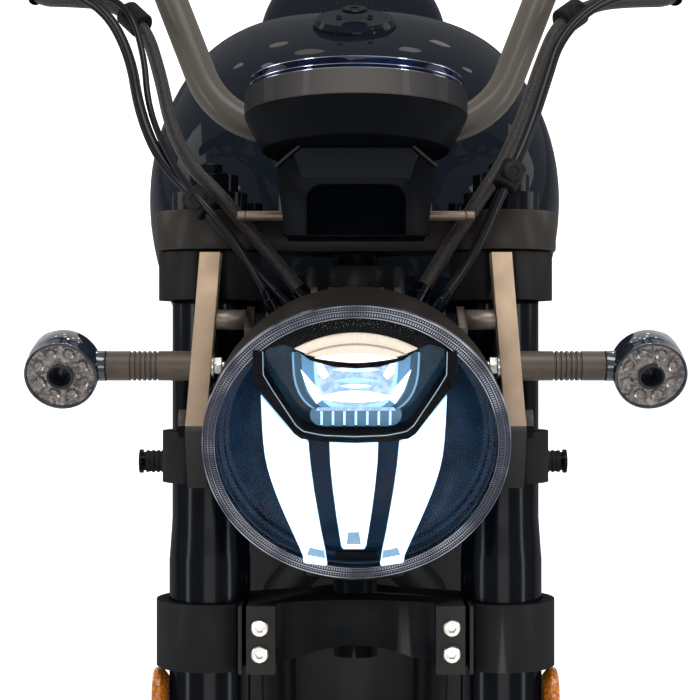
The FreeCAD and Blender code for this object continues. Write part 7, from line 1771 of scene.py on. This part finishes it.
# %% Callipers
for name, body, x, outwards, y, z, reach, lean, face in (
        ("front_calliper", "fork", 77.5, FACING_LEFT, *FRONT_AXLE, 150, 7, ((136, -22), (136, 22))),
        ("rear_calliper", "chassis", -93.5, FACING_RIGHT, *REAR_AXLE, 110, 122, ((112, -30), (112, 30)))):
    radial = Vector((0, math.cos(math.radians(lean)), math.sin(math.radians(lean))))
    across = Vector((0, -radial.z, radial.y))
    hub = mm(x, y, z)
    caps = [Matrix.Translation(hub + radial * mm(out) + across * mm(side)) @ outwards for out, side in face]
    cap_radius = 14 if name.startswith("front") else 10
    fasten(name + "_pistons", bobbin, cap_radius, 3.0, body, "machined_metal", caps, mirror=False)
    bolts = [Matrix.Translation(hub + radial * mm(reach + 8) + across * mm(side)) @ outwards for side in (-34, 0, 34)]
    fasten(name + "_bolts", socket_bolt, 4.6, 4.4, body, "zinc_plating", bolts, mirror=False)
    middle = hub - mm(math.copysign(15, x), 0, 0)
    nipple = turned(name + "_nipple", [
        (0, 0), (4.4, 0), (4.4, 4), (2.4, 4.6), (2.4, 8), (3.2, 9), (3.2, 12), (0, 12.6)],
                    Matrix.Translation(middle + radial * mm(reach + 4) + across * mm(47.5)) @ along(across), 24)
    fit(nipple, body, "zinc_plating")
fasten("bracket_bolts", socket_bolt, 5.0, 5.0, "chassis", "zinc_plating",
       [at(-108.1, 639.7, 412, FACING_RIGHT)], mirror=False)
print("calliper fittings ready")

# %% Motor and battery
for name, x, outwards in (("right", -97, FACING_RIGHT), ("left", 70, FACING_LEFT)):
    fasten("motor_bolts_" + name, socket_bolt, 5.0, 4.6, "chassis", "zinc_plating",
           [at(x, *spot, outwards) for spot in ring_of(8, 69, 0, 400, 22.5)], mirror=False)
cover = turned("motor_cover", [
    (0, -1), (50, -1), (50, 2.4), (48, 4.0), (40, 4.0), (39, 2.8), (34, 2.8), (33, 4.0), (14, 4.0), (13, 2.8), (9, 2.8),
    (8, 4.4), (0, 4.4)], at(-97, 0, 400, FACING_RIGHT), 96)
fit(cover, "chassis", "machined_metal")
edge_spots = [(-318.5, 300 + 56 * step) for step in range(7)] + [(-117.5, 300 + 52 * step) for step in range(4)]
edge_spots += [(-276 + 67 * step, 692 - 4 * step) for step in range(6)] + [(73, 546), (73, 606)]
edge_spots += [(-62, 519.5), (6, 519.5)]
fasten("battery_screws", button_screw, 4.4, 2.6, "chassis", "zinc_plating",
       [at(116, y, z, FACING_LEFT) for y, z in edge_spots])
socket = turned("charge_cap", [
    (0, -1), (25, -1), (25, 2.0), (24, 3.4), (20.6, 3.4), (20, 2.4), (6, 2.4), (5, 2.4), (0, 2.4)],
    at(116, -210, 718, FACING_LEFT), 72)
grip_bar = rounded(block("charge_grip", (34, 7, 5), at(118.4, -210, 718, FACING_LEFT)), 1.2)
fit(joined("charge_cap", [socket, grip_bar]), "chassis", "moulded_rubber")
print("motor and battery fittings:", len(edge_spots) * 2 + 16, "screws")

# %% Axles, legs, levers and cap
LEG_X = 97.5
for name, body, x, axle in (("front_axle_nuts", "fork", 126.8, FRONT_AXLE),
                            ("rear_axle_nuts", "chassis", 143.3, REAR_AXLE),
                            ("pivot_nuts", "chassis", 141, (160, 400))):
    fasten(name, hex_bolt, 10.4, 6.5, body, "zinc_plating", [at(x, *axle, FACING_LEFT)])
seal = turned("fork_seal", [(18.9, 0.2), (25.2, 0.2), (25.2, -4.0), (24.2, -5.0), (21.8, -5.4), (20.4, -9.0),
                            (18.9, -9.0), (18.9, 0.2)], at(LEG_X, 0, 205, base=FORK), 64)
fit(both_sides("fork_seals", seal), "fork", "moulded_rubber")
fasten("fork_caps", hex_bolt, 8.6, 6.0, "fork", "black_anodising", [at(LEG_X, 0, 744, base=FORK)])

POD_AWAY = 175.6
forwards = (Vector((0, -1, 0)) + BAR_WAY * BAR_WAY.y).normalized()
clamp_middle = BAR_END - BAR_WAY * POD_AWAY
pot_foot = FORK @ mm(*(clamp_middle + forwards * 52.5))
pivot_end = FORK @ mm(*(clamp_middle + forwards * 66))
cap = turned("reservoir_cap", [
    (0, 33), (18.2, 33), (18.6, 33.6), (18.6, 38.2), (17.6, 39.4), (8, 39.4), (7.4, 38.6), (0, 38.6)],
    Matrix.Translation(pot_foot), 72)
bar_across = rounded(block("cap_grip", (22, 4.4, 3.4), Matrix.Translation(pot_foot + mm(0, 0, 39.8))), 0.8)
fit(both_sides("reservoir_caps", joined("reservoir_cap", [cap, bar_across])), "fork", "moulded_rubber")
fasten("lever_pivots", socket_bolt, 4.6, 4.2, "fork", "zinc_plating", [Matrix.Translation(pivot_end + mm(0, 0, 10.6))])

CAP_TOP = 1015
CAP_BACK = -120
fasten("tank_cap_screws", button_screw, 2.7, 1.4, "chassis", "black_anodising",
       [at(x, CAP_BACK + y, CAP_TOP) for x, y in circle(25.5, 6)], mirror=False)
key_cover = turned("key_cover", [(0, -0.5), (10.5, -0.5), (10.5, 1.2), (9.8, 2.0), (4, 2.0), (3.6, 1.4), (0, 1.4)],
                   at(0, CAP_BACK, CAP_TOP), 48)
fit(key_cover, "chassis", "black_anodising")
print("axle, leg, lever and cap fittings ready")
